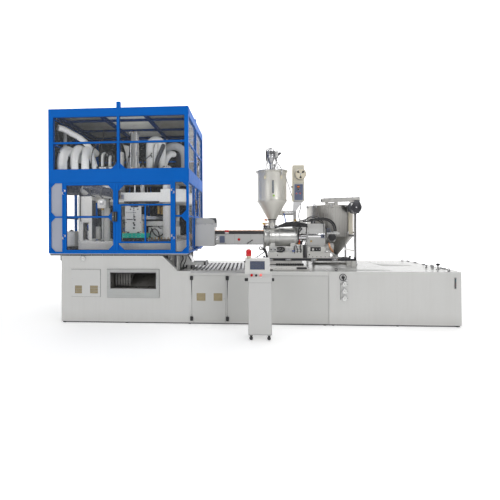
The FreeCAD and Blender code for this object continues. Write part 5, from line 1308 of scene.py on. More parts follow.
# blow mould: front half with the tall plate's holes, bolts, nipples, clamps
def mould_side(name, body, ys, yplate, sgn, tall):
    pc = Piece(name, body)
    y0, y1 = ys
    for x in ((1045, 1355) if tall else (1045,)):
        s = -1 if x < 1200 else 1
        for z in (1636, 1700, 1764, 1812):
            ym = (y0 + y1) / 2 + 8 * math.sin(z)
            pc.lathe([(8, 0), (8, 5), (6, 6), (6, 16), (7.5, 17), (7.5, 26), (4, 28)], (x, ym, z), (s, 0, 0), "brass", 16)
        for a, b, c in ((1636, 1700, "hose_blue"), (1764, 1812, "hose")):
            pc.tube([(x + s * 26, (y0 + y1) / 2, a), (x + s * 62, (y0 + y1) / 2, a + 8), (x + s * 66, (y0 + y1) / 2, (a + b) / 2),
                     (x + s * 62, (y0 + y1) / 2, b - 8), (x + s * 26, (y0 + y1) / 2, b)], 6, c, 10, smooth=6)
    for x in spread(1075, 1325, 4):
        pc.box(x - 4, x + 4, y0, y1, 1835, 1836.2, "seam", 0.3)
    for x in (1062, 1338):
        for z in (1625, 1800):
            pc.hexbolt((x, yplate, z), (0, sgn, 0), 9, "dark_steel")
    if tall:
        for x, z, r in ((1218, 1907, 17), (1231, 1848, 18), (1208, 1789, 17), (1223, 1752, 18), (1212, 1693, 18), (1150, 2050, 12), (1290, 2050, 12)):
            pc.lathe([(r, 0), (r, 7), (r - 4, 9), (r - 8, 9), (r - 9, 4), (0, 4)], (x, yplate, z), (0, sgn, 0), "black", 22)
        pc.box(1069, 1189, yplate - 5, yplate, 1851, 1865, "black", 1.5)
        pc.box(1150, 1300, yplate - 7, yplate, 2086, 2116, "dark_steel", 2)
        for z in (1868, 1905, 1942, 1985, 2030, 2068, 2100):
            pc.lathe([(13, 0), (13, 1.6), (10, 1.6), (10, 0.4), (0, 0.4)], (1212, yplate, z), (0, sgn, 0), "seam", 24)
            if z % 2:
                pc.lathe([(8, 0), (8, 1.6), (6, 1.6), (6, 0.4), (0, 0.4)], (1244, yplate, z), (0, sgn, 0), "seam", 20)
        pc.box(1060, 1200, yplate - 1.2, yplate, 1981, 1987, "seam", 0.5)
        for x in (1062, 1328):
            for z in (1880, 2000, 2100):
                pc.hexbolt((x, yplate, z), (0, sgn, 0), 8, "steel")
        pc.ring((1130, 422, 2120 + 20), (0, 1, 0), 20, 12, 8, "dark_steel", 28, 3)
        pc.ring((1270, 422, 2120 + 20), (0, 1, 0), 20, 12, 8, "dark_steel", 28, 3)
        pc.rod((1130, 426, 2112), (1130, 426, 2124), 9, "dark_steel", 14)
        pc.rod((1270, 426, 2112), (1270, 426, 2124), 9, "dark_steel", 14)
    for x in (1100, 1300):
        pc.box(x - 22, x + 22, yplate - 16 if sgn < 0 else yplate, yplate if sgn < 0 else yplate + 16, 1598, 1622, "dark_steel", 3)
        pc.hexbolt((x, yplate + sgn * 8, 1622), (0, 0, 1), 8, "steel")
    pc.done()


mould_side("blow_mould_front_kit", "mould_front", (444, 569), 400, -1, True)
mould_side("blow_mould_rear_kit", "mould_rear", (571, 696), 740, 1, False)

# slides of the blow station: strips on the green plate, hydraulic cylinder
pc = Piece("slide_strips")
for x in (1012, 1400):
    pc.box(x, x + 28, 354, 806, 1595, 1615, "brass", 3)
    for y in spread(380, 780, 6):
        pc.screw((x + 14, y, 1615), (0, 0, 1), 6, "dark_steel")
pc.rod((1230, 812, 1545), (1230, 850, 1545), 22, "chrome", 24)
for y0 in (350,):
    for x in spread(1030, 1430, 6):
        pc.screw((x, 350, 1530), (0, -1, 0), 7, "steel")
        pc.screw((x, 350, 1575), (0, -1, 0), 7, "steel")
pc.box(1120, 1340, 330, 352, 1448, 1504, "black", 4)
for x in (1150, 1230, 1310):
    pc.lathe([(12, 0), (12, 10), (8, 12), (8, 26), (0, 27)], (x, 330, 1476), (0, -1, 0), "brass", 16)
    pc.tube([(x, 304, 1476), (x + 10, 286, 1474), (x + 60, 280, 1466), (x + 190, 284, 1462), (1520, 290, 1460)], 7, "hose", 10, smooth=6)
pc.done()

# clamp platen: bushes, bolts, oil manifold, cable bundle under the front edge
pc = Piece("clamp_platen_kit", "clamp")
for (x, y) in ((600, 600), (1800, 600), (600, 1500), (1800, 1500)):
    pc.ring((x, y, 2430), (0, 0, 1), 118, 75.8, 3.5, "steel", 56, 1)
    for k in range(8):
        a = math.radians(22.5 + 45 * k)
        pc.screw((x + 100 * math.cos(a), y + 100 * math.sin(a), 2433.5), (0, 0, 1), 5, "dark_steel")
    pc.ring((x, y, 2190), (0, 0, -1), 100, 75.8, 14, "steel", 56, 3)
pc.ring((1200, 1050, 2370), (0, 0, 1), 110, 46, 26, "steel", 48, 3)
for k in range(8):
    a = math.radians(45 * k)
    pc.hexbolt((1200 + 84 * math.cos(a), 1050 + 84 * math.sin(a), 2396), (0, 0, 1), 11, "dark_steel")
pc.tube([(1010, 446, 2184), (1120, 438, 2180), (1240, 444, 2184), (1380, 438, 2178), (1500, 446, 2184), (1680, 442, 2182)], 11, "hose", 12, smooth=8)
pc.tube([(1020, 452, 2174), (1180, 448, 2168), (1340, 454, 2176), (1520, 450, 2170)], 9, "hose", 12, smooth=8)
pc.box(1010, 1690, 434, 450, 2186, 2204, "black", 3)
for x in spread(1040, 1660, 6):
    pc.screw((x, 434, 2195), (0, -1, 0), 4, "steel")
pc.box(830, 1010, 402, 450, 2240, 2330, "steel", 4)
for x in (860, 905, 950):
    pc.lathe([(11, 0), (11, 10), (8, 12), (8, 28), (0, 29)], (x, 402, 2285), (0, -1, 0), "brass", 16)
    pc.tube([(x, 374, 2285), (x, 352, 2290), (x - 6, 346, 2340), (x + 10, 400, 2400), (x + 20, 452, 2392)], 7, "hose" if x != 905 else "hose_blue", 10, smooth=6)
for x, y in ((480, 1000), (480, 1150), (2120, 1000), (2120, 1150)):
    pc.ring((x, y - 8, 2396), (0, 1, 0), 30, 18, 16, "dark_steel", 28, 4)
    pc.lathe([(24, 0), (24, 6), (16, 10)], (x, y, 2370), (0, 0, 1), "dark_steel", 22)
for x, y in ((1535, 895), (1535, 1205), (1845, 895), (1845, 1205), (1690, 895), (1690, 1205)):
    pc.lathe([(9, 0), (9, 2), (5, 2), (5, 0.5), (0, 0.5)], (x, y, 2150), (0, 0, -1), "dark_steel", 18)
for k in (-1, 0, 1):
    pc.ring((1680, 1050 + 90 * k, 2110), (0, 0, -1), 30, 22.2, 10, "brass", 32, 2)
pc.done()

# fixed top platen: nuts' washers, clamp cylinder flange, pipes, valve block
pc = Piece("top_platen_kit")
for (x, y) in ((600, 600), (1800, 600), (600, 1500), (1800, 1500)):
    pc.ring((x, y, 2800), (0, 0, 1), 112, 101, 8, "steel", 48, 2)
    pc.lathe([(75, 0), (75, 6), (68, 12), (0, 12)], (x, y, 2880), (0, 0, 1), "steel_z", 40)
    pc.ring((x, y, 2620), (0, 0, -1), 96, 76, 3, "steel", 48, 1)
pc.ring((1200, 1050, 2800), (0, 0, 1), 190, 131, 34, "steel", 56, 4)
for k in range(12):
    a = math.radians(30 * k)
    pc.hexbolt((1200 + 160 * math.cos(a), 1050 + 160 * math.sin(a), 2834), (0, 0, 1), 13, "dark_steel")
pc.lathe([(130, 0), (130, 4), (124, 10), (40, 12), (40, 24), (0, 26)], (1200, 1050, 2920), (0, 0, 1), "cast", 48)
pc.lathe([(26, 0), (26, 20), (20, 24), (20, 50), (14, 54)], (1200, 1050, 2940), (0, 0, 1), "steel", 28)
pc.tube([(1200, 1050, 2990), (1200, 1050, 3060), (1160, 1100, 3120), (1040, 1250, 3120), (900, 1450, 3060), (860, 1560, 2900), (860, 1580, 2820)], 24, "hose", 18, smooth=8)
pc.box(760, 960, 1480, 1640, 2800, 2890, "dark_steel", 6)
pc.box(780, 940, 1500, 1620, 2890, 2960, "motor", 6)
for x in (810, 870, 930):
    pc.lathe([(16, 0), (16, 40), (12, 46), (0, 48)], (x, 1480, 2850), (0, -1, 0), "blackp", 20)
for k in range(4):
    a = math.radians(45 + 90 * k)
    pc.hexbolt((1180 + 92 * math.cos(a), 570 + 92 * math.sin(a), 2832), (0, 0, 1), 10, "dark_steel")
    pc.rod((1180 + 84 * math.cos(a), 570 + 84 * math.sin(a), 2832), (1180 + 84 * math.cos(a), 570 + 84 * math.sin(a), 3540), 6, "chrome_z", 12)
    pc.hexbolt((1180 + 84 * math.cos(a), 570 + 84 * math.sin(a), 3548), (0, 0, 1), 8, "dark_steel")
for z in (2832, 3520):
    pc.box(1102, 1258, 492, 648, z, z + 28, "steel", 5)
for z in (2848, 3534):
    pc.lathe([(12, 0), (12, 14), (9, 16), (9, 30), (0, 31)], (1180, 492, z), (0, -1, 0), "brass", 18)
pc.tube([(1180, 462, 3534), (1180, 440, 3534), (1150, 430, 3480), (1120, 436, 3100), (1080, 440, 2900), (1060, 446, 2810)], 9, "hose", 12, smooth=6)
for x in spread(470, 2130, 7):
    pc.hexbolt((x, 420, 2710), (0, -1, 0), 13, "dark_steel")
pc.tube([(440, 460, 2808), (700, 440, 2812), (960, 452, 2808), (1040, 470, 2820), (1060, 600, 2826)], 10, "hose_blue", 12, smooth=6)
pc.tube([(430, 500, 2812), (520, 640, 2816), (640, 760, 2812), (900, 860, 2818), (1050, 960, 2830)], 13, "hose", 12, smooth=6)
pc.tube([(1560, 470, 2812), (1740, 446, 2816), (1960, 450, 2812), (2150, 480, 2816), (2200, 600, 2760), (2215, 700, 2560)], 11, "hose", 12, smooth=6)
pc.done()

# valve terminal and silencers on the left of the upper platen
pc = Piece("valve_terminal")
pc.box(440, 1010, 470, 560, 2800, 2816, "steel", 2)
for i in range(11):
    x = 455 + 48 * i
    pc.box(x, x + 42, 482, 548, 2816, 2872, "whitep" if i % 4 else "motor", 3)
    pc.box(x + 6, x + 36, 490, 540, 2872, 2886, "blackp", 3)
    pc.lathe([(5, 0), (5, 10), (3, 12)], (x + 21, 482, 2836), (0, -1, 0), "brass", 12)
    pc.tube([(x + 21, 470, 2836), (x + 21, 452, 2838), (x + 15, 440, 2826 - (i % 3) * 6), (x - 10, 436, 2806 + (i % 2) * 6)], 4, ("hose_blue", "hose", "hose_white")[i % 3], 8, smooth=5)
pc.done()

# injection mould: guide bushes, water lines, heater plugs, terminal box
pc = Piece("injection_mould_kit")
for x, y in ((1560, 915), (1560, 1185), (1820, 915), (1820, 1185)):
    pc.ring((x, y, 1835), (0, 0, 1), 38, 26, 8, "brass", 40, 2)
for x in (1480, 1880):
    for y in spread(770, 1330, 5):
        pc.lathe([(10, 0), (10, 1.5), (6, 1.5), (6, -4), (0, -4)], (x, y, 1835), (0, 0, 1), "dark_steel", 18)
for k in range(5):
    x = 1540 + 80 * k
    pc.lathe([(9, 0), (9, 8), (7, 9), (7, 22), (8.5, 23), (8.5, 30), (4, 32)], (x, 730, 1800), (0, -1, 0), "brass", 16)
    if k in (1, 3, 4):
        pc.tube([(x, 700, 1800), (x, 676, 1798), (x + 6, 660, 1770), (x + 12, 664, 1700), (1752 + 26 * k, 700, 1620), (1760 + 26 * k, 716, 1490)], 7,
                ("hose", "hose", "hose", "hose_white", "hose")[k], 10, smooth=6)
pc.box(1412, 1712, 676, 728, 1465, 1710, "cast", 6)
pc.box(1424, 1700, 670, 677, 1478, 1697, "whitep", 3)
for x in (1434, 1562, 1690):
    for z in (1488, 1687):
        pc.screw((x, 670, z), (0, -1, 0), 4.5, "steel")
pc.box(1364, 1714, 652, 728, 1735, 1741, "steel", 1.5)
pc.box(1364, 1714, 648, 653, 1735, 1828, "cast", 1.5)
for x in spread(1384, 1694, 4):
    pc.hexbolt((x, 648, 1750), (0, -1, 0), 6, "dark_steel")
pc.tube([(1440, 668, 1500), (1452, 640, 1540), (1490, 620, 1640), (1560, 616, 1676), (1620, 622, 1620), (1640, 640, 1530), (1652, 640, 1450)], 11, "hose", 14, smooth=8)
pc.tube([(1480, 668, 1690), (1500, 640, 1650), (1560, 624, 1560), (1640, 620, 1530), (1720, 620, 1580), (1768, 632, 1680), (1790, 660, 1790)], 11, "hose", 14, smooth=8)
pc.tube([(1660, 640, 1600), (1765, 630, 1560), (1860, 560, 1520), (1960, 480, 1480), (2030, 420, 1450)], 9, "hose_white", 12, smooth=6)
pc.ring((1935, 1050, 1506), (1, 0, 0), 60, 33, 6, "steel", 40, 2)
for k in range(4):
    a = math.radians(45 + 90 * k)
    pc.screw((1941, 1050 + 47 * math.cos(a), 1506 + 47 * math.sin(a)), (1, 0, 0), 5, "dark_steel")
for x in (1476, 1904):
    for z in (1460, 1560, 1700):
        pc.hexbolt((x, 730, z), (0, -1, 0), 9, "dark_steel")
pc.done()

# index drive: motor flange, ribs and bolts
pc = Piece("index_drive_kit")
for k in range(12):
    a = math.radians(30 * k)
    pc.hexbolt((1200 + 182 * math.cos(a), 1050 + 182 * math.sin(a), 1700 - 2), (0, 0, 1), 9, "steel")
for z in (1500, 1560, 1620):
    pc.ring((1200, 1050, z), (0, 0, 1), 208, 199, 10, "black", 64, 2)
pc.rod((1005, 1050, 1560), (900, 1050, 1560), 60, "motor", 32)
for k in range(5):
    pc.ring((915 + 18 * k, 1050, 1560), (1, 0, 0), 66, 59, 6, "motor", 36, 1.5)
pc.done()

# stretch rods: clamp nuts and a proximity flag
pc = Piece("stretch_kit", "stretch")
for x in (1110, 1200, 1290):
    pc.lathe([(13, 0), (13, 14), (9, 16), (7.2, 16)], (x, 570, 2110), (0, 0, -1), "steel", 6)
    pc.lathe([(13, 0), (13, 10), (9, 12), (0, 12)], (x, 570, 2145), (0, 0, 1), "steel", 6)
for x in (1062, 1338):
    pc.screw((x, 540, 2128), (0, -1, 0), 6, "dark_steel")
pc.lathe([(26, 0), (26, 16), (15.3, 18)], (1180, 570, 2145), (0, 0, 1), "dark_steel", 24)
pc.done()

# corrugated air ducts, a little uneven, with clamp bands
def duct(name, x0, x1, y, ztop, r, mat, seed, rep=()):
    rd = random.Random(seed)
    rad = (x1 - x0) / 2.0
    pts = [(x0, y, 2802), (x0 + rd.uniform(-6, 6), y + rd.uniform(-5, 5), 2800 + (ztop - rad - 2800) * 0.5)]
    for k in range(9):
        a = math.pi * (1 - k / 8)
        pts.append(((x0 + x1) / 2 + rad * math.cos(a), y + rd.uniform(-4, 4), ztop - rad + rad * math.sin(a) - abs(rd.uniform(0, 4))))
    pts += [(x1 + rd.uniform(-6, 6), y + rd.uniform(-5, 5), 2800 + (ztop - rad - 2800) * 0.5), (x1, y, 2802)]
    pc = Piece(name)
    pc.corrugated(pts, r, mat, 20.0, 9.0, 32, 10)
    for x in (x0, x1):
        pc.ring((x, y, 2801), (0, 0, 1), r + 4, r - 8, 30, "steel", 48, 2)
        pc.ring((x, y, 2800), (0, 0, 1), r + 22, r - 6, 8, "cast", 48, 2)
        pc.box(x - r - 16, x - r - 2, y - 12, y + 12, 2806, 2826, "steel", 2)
        for k in range(6):
            a = math.radians(60 * k)
            pc.hexbolt((x + (r + 13) * math.cos(a), y + (r + 13) * math.sin(a), 2808), (0, 0, 1), 5, "dark_steel")
    return pc.done(sharp=60, replaces=rep)


duct("air_duct_white", 1420, 1665, 800, 3450, 80, "duct_w", 3, ("air_ducts",))
duct("air_duct_grey", 1625, 2085, 1010, 3365, 80, "duct_g", 5)

# bundle of loose white air ducts at the left of the upper storey, with the
# black and grey lines between them
pc = Piece("upper_ducts_left")


def flex(pts, r, mat="duct_w", pitch=26.0, depth=5.0, n=26):
    pc.corrugated(pts, r, mat, pitch, depth, n, 8)


def collar(x, y, z, r):
    pc.ring((x, y, z), (0, 0, 1), r + 5, r - 6, 24, "steel", 40, 2)
    pc.box(x - r - 14, x - r - 2, y - 9, y + 9, z + 4, z + 20, "steel", 2)


flex([(-75, 190, 2606), (-80, 194, 2800), (-78, 205, 2960), (-70, 235, 3080), (-58, 300, 3150), (-50, 450, 3165), (-45, 680, 3150), (-40, 860, 3100)], 92)
flex([(100, 350, 2606), (82, 350, 2800), (80, 352, 2980), (92, 362, 3100), (112, 400, 3190), (126, 480, 3225), (136, 620, 3225), (142, 800, 3190)], 76)
flex([(272, 400, 2606), (270, 400, 2850), (276, 402, 3060), (286, 424, 3170), (292, 500, 3222), (300, 640, 3228), (306, 820, 3200)], 72)
flex([(-140, 170, 3560), (-70, 250, 3548), (40, 330, 3490), (190, 420, 3400), (318, 500, 3240), (352, 530, 3060), (398, 540, 2900), (420, 545, 2806)], 58)
flex([(-165, 330, 2606), (-160, 330, 2900), (-150, 420, 3200), (-140, 440, 3420), (-150, 430, 3640)], 34, "duct_g", 18, 4)
flex([(534, 600, 2806), (532, 600, 3000), (534, 606, 3110), (540, 660, 3160), (548, 760, 3168)], 32, "duct_w", 16, 4)
flex([(665, 640, 2806), (663, 640, 3000), (666, 644, 3080), (672, 690, 3120), (676, 780, 3130)], 33, "duct_w", 16, 4)
for k, (dx, r) in enumerate(((0, 17), (34, 13))):
    pc.tube([(592 + dx, 560 + dx, 2806), (586 + dx, 560 + dx, 3030), (608 + dx, 560 + dx, 3126 - dx * 0.6), (672, 560 + dx, 3168 - dx), (748 - dx, 560 + dx, 3136 - dx * 0.6),
             (782 - dx, 560 + dx, 3030), (790 - dx, 560 + dx, 2806)], r, "hose", 14, smooth=8)
pc.tube([(536, 430, 3300), (490, 415, 3288), (436, 408, 3210), (402, 404, 3100), (392, 402, 2960), (392, 402, 2812)], 9, "hose", 12, smooth=8)
pc.tube([(-190, 110, 3220), (-120, 140, 3120), (-30, 180, 3000), (30, 240, 2880), (60, 300, 2760)], 8, "hose", 12, smooth=8)
pc.tube([(470, 640, 2812), (462, 640, 3000), (470, 700, 3300), (480, 760, 3500), (484, 800, 3690)], 12, "hose", 12, smooth=8)
for x, y, z, r in ((-75, 190, 2612, 92), (97, 350, 2612, 76), (272, 400, 2612, 72), (420, 545, 2808, 58), (534, 600, 2808, 32), (665, 640, 2808, 33)):
    collar(x, y, z, r)
# light filter bowl and a grey tank right of the middle post, sheet-metal guide
pc.lathe([(50, 0), (50, 230), (47, 236), (56, 240), (56, 262), (50, 268), (50, 372), (40, 388), (14, 396), (14, 408), (0, 410)], (874, 700, 2802), (0, 0, 1), "cast", 44)
for k in range(8):
    a = math.radians(45 * k)
    pc.hexbolt((874 + 52 * math.cos(a), 700 + 52 * math.sin(a), 3064), (0, 0, 1), 4, "dark_steel")
pc.lathe([(72, 0), (72, 8), (66, 10), (66, 270), (56, 292), (20, 300), (0, 301)], (1004, 800, 2802), (0, 0, 1), "duct_g", 48)
pc.prism([(884, 3356), (1030, 3322), (1012, 3180), (948, 3036), (936, 3190)], "y", 764, 770, "cast", 2)
for x, z in ((904, 3336), (1010, 3306), (1000, 3190), (946, 3070)):
    pc.hexbolt((x, 764, z), (0, -1, 0), 6, "dark_steel")
for x in (858, 886):
    pc.tube([(x, 690, 3200), (x, 690, 3290), (x + 4, 700, 3360), (x + 12, 760, 3400)], 7, "hose", 12, smooth=6)
pc.done(sharp=60)

# ducts filling the arches, and the dark ribbed hose between them
pc = Piece("upper_ducts_right")
flex([(1542, 930, 2806), (1540, 928, 3000), (1542, 930, 3200), (1546, 944, 3300), (1560, 1010, 3360), (1580, 1140, 3370)], 66)
flex([(1542, 795, 2806), (1541, 793, 3050), (1544, 797, 3250), (1552, 836, 3350)], 44)
flex([(1560, 694, 2806), (1572, 696, 2940), (1606, 700, 3060), (1652, 704, 3170), (1690, 716, 3260), (1700, 760, 3330)], 44, "motor", 18, 6)
flex([(1655, 905, 2806), (1672, 912, 2930), (1712, 925, 3060), (1760, 945, 3150), (1800, 990, 3200), (1850, 1090, 3210)], 62)
flex([(1930, 1180, 2806), (1928, 1184, 3000), (1920, 1200, 3160), (1916, 1280, 3240)], 60, "motor", 22, 5)
for x, y, r in ((1542, 930, 66), (1542, 795, 44), (1560, 694, 44), (1655, 905, 62), (1930, 1180, 60)):
    collar(x, y, 2806, r)
pc.tube([(1300, 760, 2812), (1310, 700, 2960), (1380, 690, 3060), (1460, 694, 3120), (1484, 704, 3090)], 7, "hose", 12, smooth=8)
pc.tube([(1484, 712, 3170), (1468, 700, 3150), (1470, 698, 3110), (1490, 704, 3080)], 9, "hose", 12, smooth=8)
pc.lathe([(16, 0), (16, 30), (12, 36), (12, 90), (20, 94), (20, 150), (0, 156)], (1236, 640, 2802), (0, 0, 1), "whitep", 28)
pc.done(sharp=60)

# dark cable tray behind the platens with its hoses, and the clamp's oil lines
pc = Piece("rear_cable_tray")
pc.box(300, 2160, 1752, 1762, 2200, 2650, "black", 3)
for x in spread(340, 2120, 14):
    pc.box(x, x + 14, 1742, 1753, 2205, 2645, "dark_steel", 2)
for z in (2230, 2420, 2620):
    pc.box(304, 2156, 1736, 1744, z, z + 16, "dark_steel", 2)
rd = random.Random(21)
for k in range(22):
    x = 360 + 82 * k + rd.uniform(-22, 22)
    pc.tube([(x, 1724, 2650), (x + rd.uniform(-18, 18), 1720, 2540), (x + rd.uniform(-40, 40), 1716, 2420), (x + rd.uniform(-40, 40), 1722, 2300), (x, 1728, 2196)],
            rd.uniform(9, 17), ("hose", "hose", "hose", "steel_z", "hose_blue", "hose")[k % 6], 12, smooth=6)
pc.done()
# -------------------------------------------------------------- injection unit --
AY, AZ = 1050, 1506
# barrel cover: dark vented top strip, brown edge, ribs, side plate with its fittings
pc = Piece("barrel_cover_kit", "sled")
pc.box(2709, 3676, 884, 890, 1566, 1636, "blackp", 1)
pc.box(2709, 3676, 885, 1215, 1636, 1640, "copper", 1)
pc.box(2709, 3676, 880, 886, 1628, 1640, "copper", 1)
for x in spread(2722, 3660, 44):
    pc.box(x - 4, x + 4, 879, 885, 1572, 1624, "dark_and_painted_shade", 1)
pc.box(2709, 3676, 883.5, 890, 1355, 1366, "dark_and_painted_shade", 1)
for x in spread(2790, 3600, 9):
    pc.box(x - 30, x + 30, 950, 956, 1640, 1641.5, "seam", 0.5)
    pc.box(x - 30, x + 30, 1144, 1150, 1640, 1641.5, "seam", 0.5)
pc.box(2712, 2930, 881, 890, 1374, 1558, "gear", 2)
pc.box(2800, 2905, 877, 882, 1392, 1530, "panel_blue", 2)
for x in (2810, 2895):
    for z in (1402, 1520):
        pc.screw((x, 877, z), (0, -1, 0), 4, "steel")
pc.lathe([(34, 0), (34, 3), (28, 8), (18, 11), (0, 12)], (2748, 881, 1476), (0, -1, 0), "chrome", 32)
for x in (2722, 2922):
    for z in (1384, 1548):
        pc.screw((x, 881, z), (0, -1, 0), 5, "dark_steel")
# red clip over the top edge, red button, black grab bar
pc.box(2906, 2986, 870, 900, 1602, 1646, "red", 4)
pc.box(2916, 2976, 864, 871, 1612, 1640, "red", 3)
pc.box(2910, 2982, 876, 889, 1576, 1602, "whitep", 3)
pc.lathe([(26, 0), (26, 4), (22, 5), (22, 18), (18, 22), (0, 23)], (3186, 890, 1458), (0, -1, 0), "red", 32)
pc.ring((3186, 890, 1458), (0, -1, 0), 33, 26, 3, "steel", 32, 1)
pc.tube([(3360, 890, 1384), (3366, 866, 1392), (3400, 858, 1412), (3436, 866, 1434), (3444, 890, 1440)], 7, "blackp", 12, smooth=6)
for x, z in ((3358, 1382), (3446, 1442)):
    pc.lathe([(13, 0), (13, 4), (9, 6)], (x, 890, z), (0, -1, 0), "blackp", 18)
for x in spread(2980, 3650, 5):
    pc.screw((x, 890, 1550), (0, -1, 0), 5, "steel")
    pc.screw((x, 890, 1378), (0, -1, 0), 5, "steel")
for x in (3100, 3420):
    pc.box(x - 1, x + 1, 889, 890.6, 1366, 1566, "seam", 0.2)
for y in (1210,):
    for x in spread(2740, 3650, 6):
        pc.screw((x, y, 1460), (0, 1, 0), 5, "steel")
pc.done()

# heater bands, thermocouples and wires on the barrel, in the purge guard
pc = Piece("heater_bands", "sled")
for i, x in enumerate((2130, 2225, 2320, 2415, 2510)):
    pc.ring((x, AY, AZ), (1, 0, 0), 70.5, 65.3, 70, "brass" if i % 2 else "copper", 48, 1.5)
    if i > 2:
        continue
    pc.box(x + 22, x + 50, AY - 12, AY + 12, AZ + 70, AZ + 92, "whitep", 3)
    pc.box(x + 30, x + 42, AY - 80, AY - 66, AZ - 16, AZ + 16, "steel", 2)
    pc.screw((x + 36, AY - 80, AZ), (0, -1, 0), 4, "dark_steel")
pc.done()

# purge guard: dark lid edge, hinge, latch, glass strip, screws
pc = Piece("purge_guard_kit")
pc.box(2318, 2708, 823, 829, 1779, 1884, "gear", 3)
pc.box(2318, 2710, 826, 1282, 1883, 1887, "gear", 1.5)
pc.box(2318, 2708, 1271, 1277, 1779, 1884, "gear", 3)
pc.prism([(2560, 1886), (2742, 1886), (2742, 1790), (2716, 1782), (2704, 1838), (2660, 1862)], "y", 817, 823.5, "motor", 1.5)
pc.rod((2330, 824, 1776), (2700, 824, 1776), 4, "steel", 12)
for x in (2380, 2520, 2660):
    pc.box(x - 16, x + 16, 820, 826, 1758, 1776, "steel", 1.5)
    pc.screw((x, 820, 1765), (0, -1, 0), 4, "dark_steel")
for x in spread(2345, 2690, 5):
    for z in (1342, 1748):
        pc.screw((x, 829.5, z), (0, -1, 0), 5, "steel")
pc.box(2704.5, 2708, 850, 1250, 1850, 1866, "seam", 0.5)
for y in (860, 1240):
    for z in (1350, 1600, 1840):
        pc.screw((2705, y, z), (1, 0, 0), 5, "steel")
pc.done()

# injection cylinder: flange bolts, tie nuts, ring lines, hose saddle and ports
pc = Piece("injection_cylinder_kit", "sled")
for k in range(16):
    a = math.radians(11.25 + 22.5 * k)
    pc.hexbolt((3680, AY + 178 * math.cos(a), AZ + 178 * math.sin(a)), (-1, 0, 0), 12, "dark_steel")
for x in (3726, 3782, 3820, 3905, 4250, 4322):
    r = 196 if x < 3790 else 190
    pc.lathe([(r, 0), (r + 2.5, 1.5), (r + 2.5, 4), (r, 5.5)], (x, AY, AZ), (1, 0, 0), "steel", 88, cap=False)
for k in range(12):
    a = math.radians(15 + 30 * k)
    pc.hexbolt((4340, AY + 168 * math.cos(a), AZ + 168 * math.sin(a)), (1, 0, 0), 13, "dark_steel")
    pc.lathe([(9, 0), (9, 3), (0, 3)], (3806 - 1, AY + 199 * math.cos(a), AZ + 199 * math.sin(a)), (1, 0, 0), "dark_steel", 14)
for x in (3740, 3990, 4290):
    pc.ring((x - 10, AY, AZ), (1, 0, 0), 0.1 + (197.5 if x < 3790 else 191.5), (195.5 if x < 3790 else 189.5), 20, "unit", 88, 0.6)
# ring bolts for lifting
for x in (3950, 4280):
    pc.lathe([(20, 0), (20, 8), (12, 12)], (x, AY, 1695), (0, 0, 1), "dark_steel", 20)
    pc.ring((x - 5, AY, 1730), (1, 0, 0), 26, 15, 10, "dark_steel", 32, 4)
# red caps, brown and black connectors between the body and the gear housing
for (y, z, r, m) in ((900, 1640, 18, "red"), (900, 1590, 15, "copper"), (896, 1530, 15, "red"), (894, 1420, 18, "red"), (905, 1375, 15, "orange")):
    pc.lathe([(r + 4, 0), (r + 4, 8), (r, 10), (r, 36), (r - 3, 40), (0, 41)], (4370, y + 4, z), (0, -1, 0), m, 24)
pc.box(4345, 4440, 905, 960, 1360, 1432, "dark_steel", 4)
pc.rod((4342, 900, 1497), (4512, 900, 1497), 58, "chrome", 48, 3)
for x in (4350, 4494):
    pc.ring((x, 900, 1497), (1, 0, 0), 66, 57.5, 12, "steel", 48, 2)
pc.box(4345, 4430, 930, 1160, 1340, 1365, "blackp", 3)
for z in (1385, 1405, 1545):
    pc.tube([(4360, 900, z), (4400, 888, z + 12), (4440, 896, z + 30), (4470, 930, z + 40)], 8, "hose", 10, smooth=5)
pc.done()

# bundle of hoses from the throat of the cylinder to the valve block
pc = Piece("hydraulic_hoses", "sled")
rd = random.Random(11)
pc.corrugated([(3972, 930, 1722), (4006, 898, 1742), (4070, 884, 1752), (4128, 886, 1766), (4170, 892, 1790)], 15, "hose_white", 9, 3.5, 18, 8)
pc.corrugated([(3978, 905, 1706), (4030, 872, 1716), (4100, 862, 1722), (4160, 868, 1750), (4220, 880, 1776)], 14, "blackp", 9, 3.5, 18, 8)
for k in range(4):
    # front row of the bundle, hanging over the cylinder's shoulder
    pc.tube([(3902 + 30 * k, 902, 1690 + 8 * k), (3960 + 26 * k, 868, 1704 + 9 * k), (4110, 852 + 5 * k, 1716 + 20 * k + rd.uniform(-4, 6)),
             (4260, 850 + 6 * k, 1720 + 21 * k + rd.uniform(-6, 6)), (4400, 842 + 4 * k, 1716 + 18 * k), (4500, 858, 1708 + 16 * k), (4522, 900, 1700 + 14 * k)], 15, "hose", 16, smooth=8)
for k in range(6):
    y = 866 + 16 * k
    z = 1712 + 9 * (k % 3)
    pc.tube([(3960 + 22 * k, y + 60, z - 4), (4030 + 18 * k, y + 14, z + 22 + rd.uniform(0, 18)), (4120, y + rd.uniform(-6, 6), z + 54 + rd.uniform(-6, 10)),
             (4230, y + rd.uniform(-6, 6), z + 68 + rd.uniform(-8, 10)), (4330, y + 4, 1800 + rd.uniform(-6, 6)), (4380 + 20 * (k % 2), y + 18, 1800)], 12, "hose", 14, smooth=8)
pc.tube([(4068, 900, 1976), (4086, 892, 1930), (4098, 888, 1860), (4112, 890, 1800), (4130, 898, 1752)], 10, "hose_blue", 14, smooth=8)
pc.lathe([(14, 0), (14, 14), (10, 18)], (4066, 902, 1990), (0, 0, -1), "brass", 18)
pc.lathe([(17, 0), (17, 22), (11, 24), (11, 44), (0, 46)], (4200, 884, 1776), (1, 0, 0.25), "hose_blue", 20)
pc.lathe([(24, 0), (24, 26), (16, 30), (16, 48), (0, 50)], (4300, 900, 1808), (0, 0, 1), "brass", 22)
pc.box(4260, 4330, 872, 930, 1776, 1812, "collar", 6)
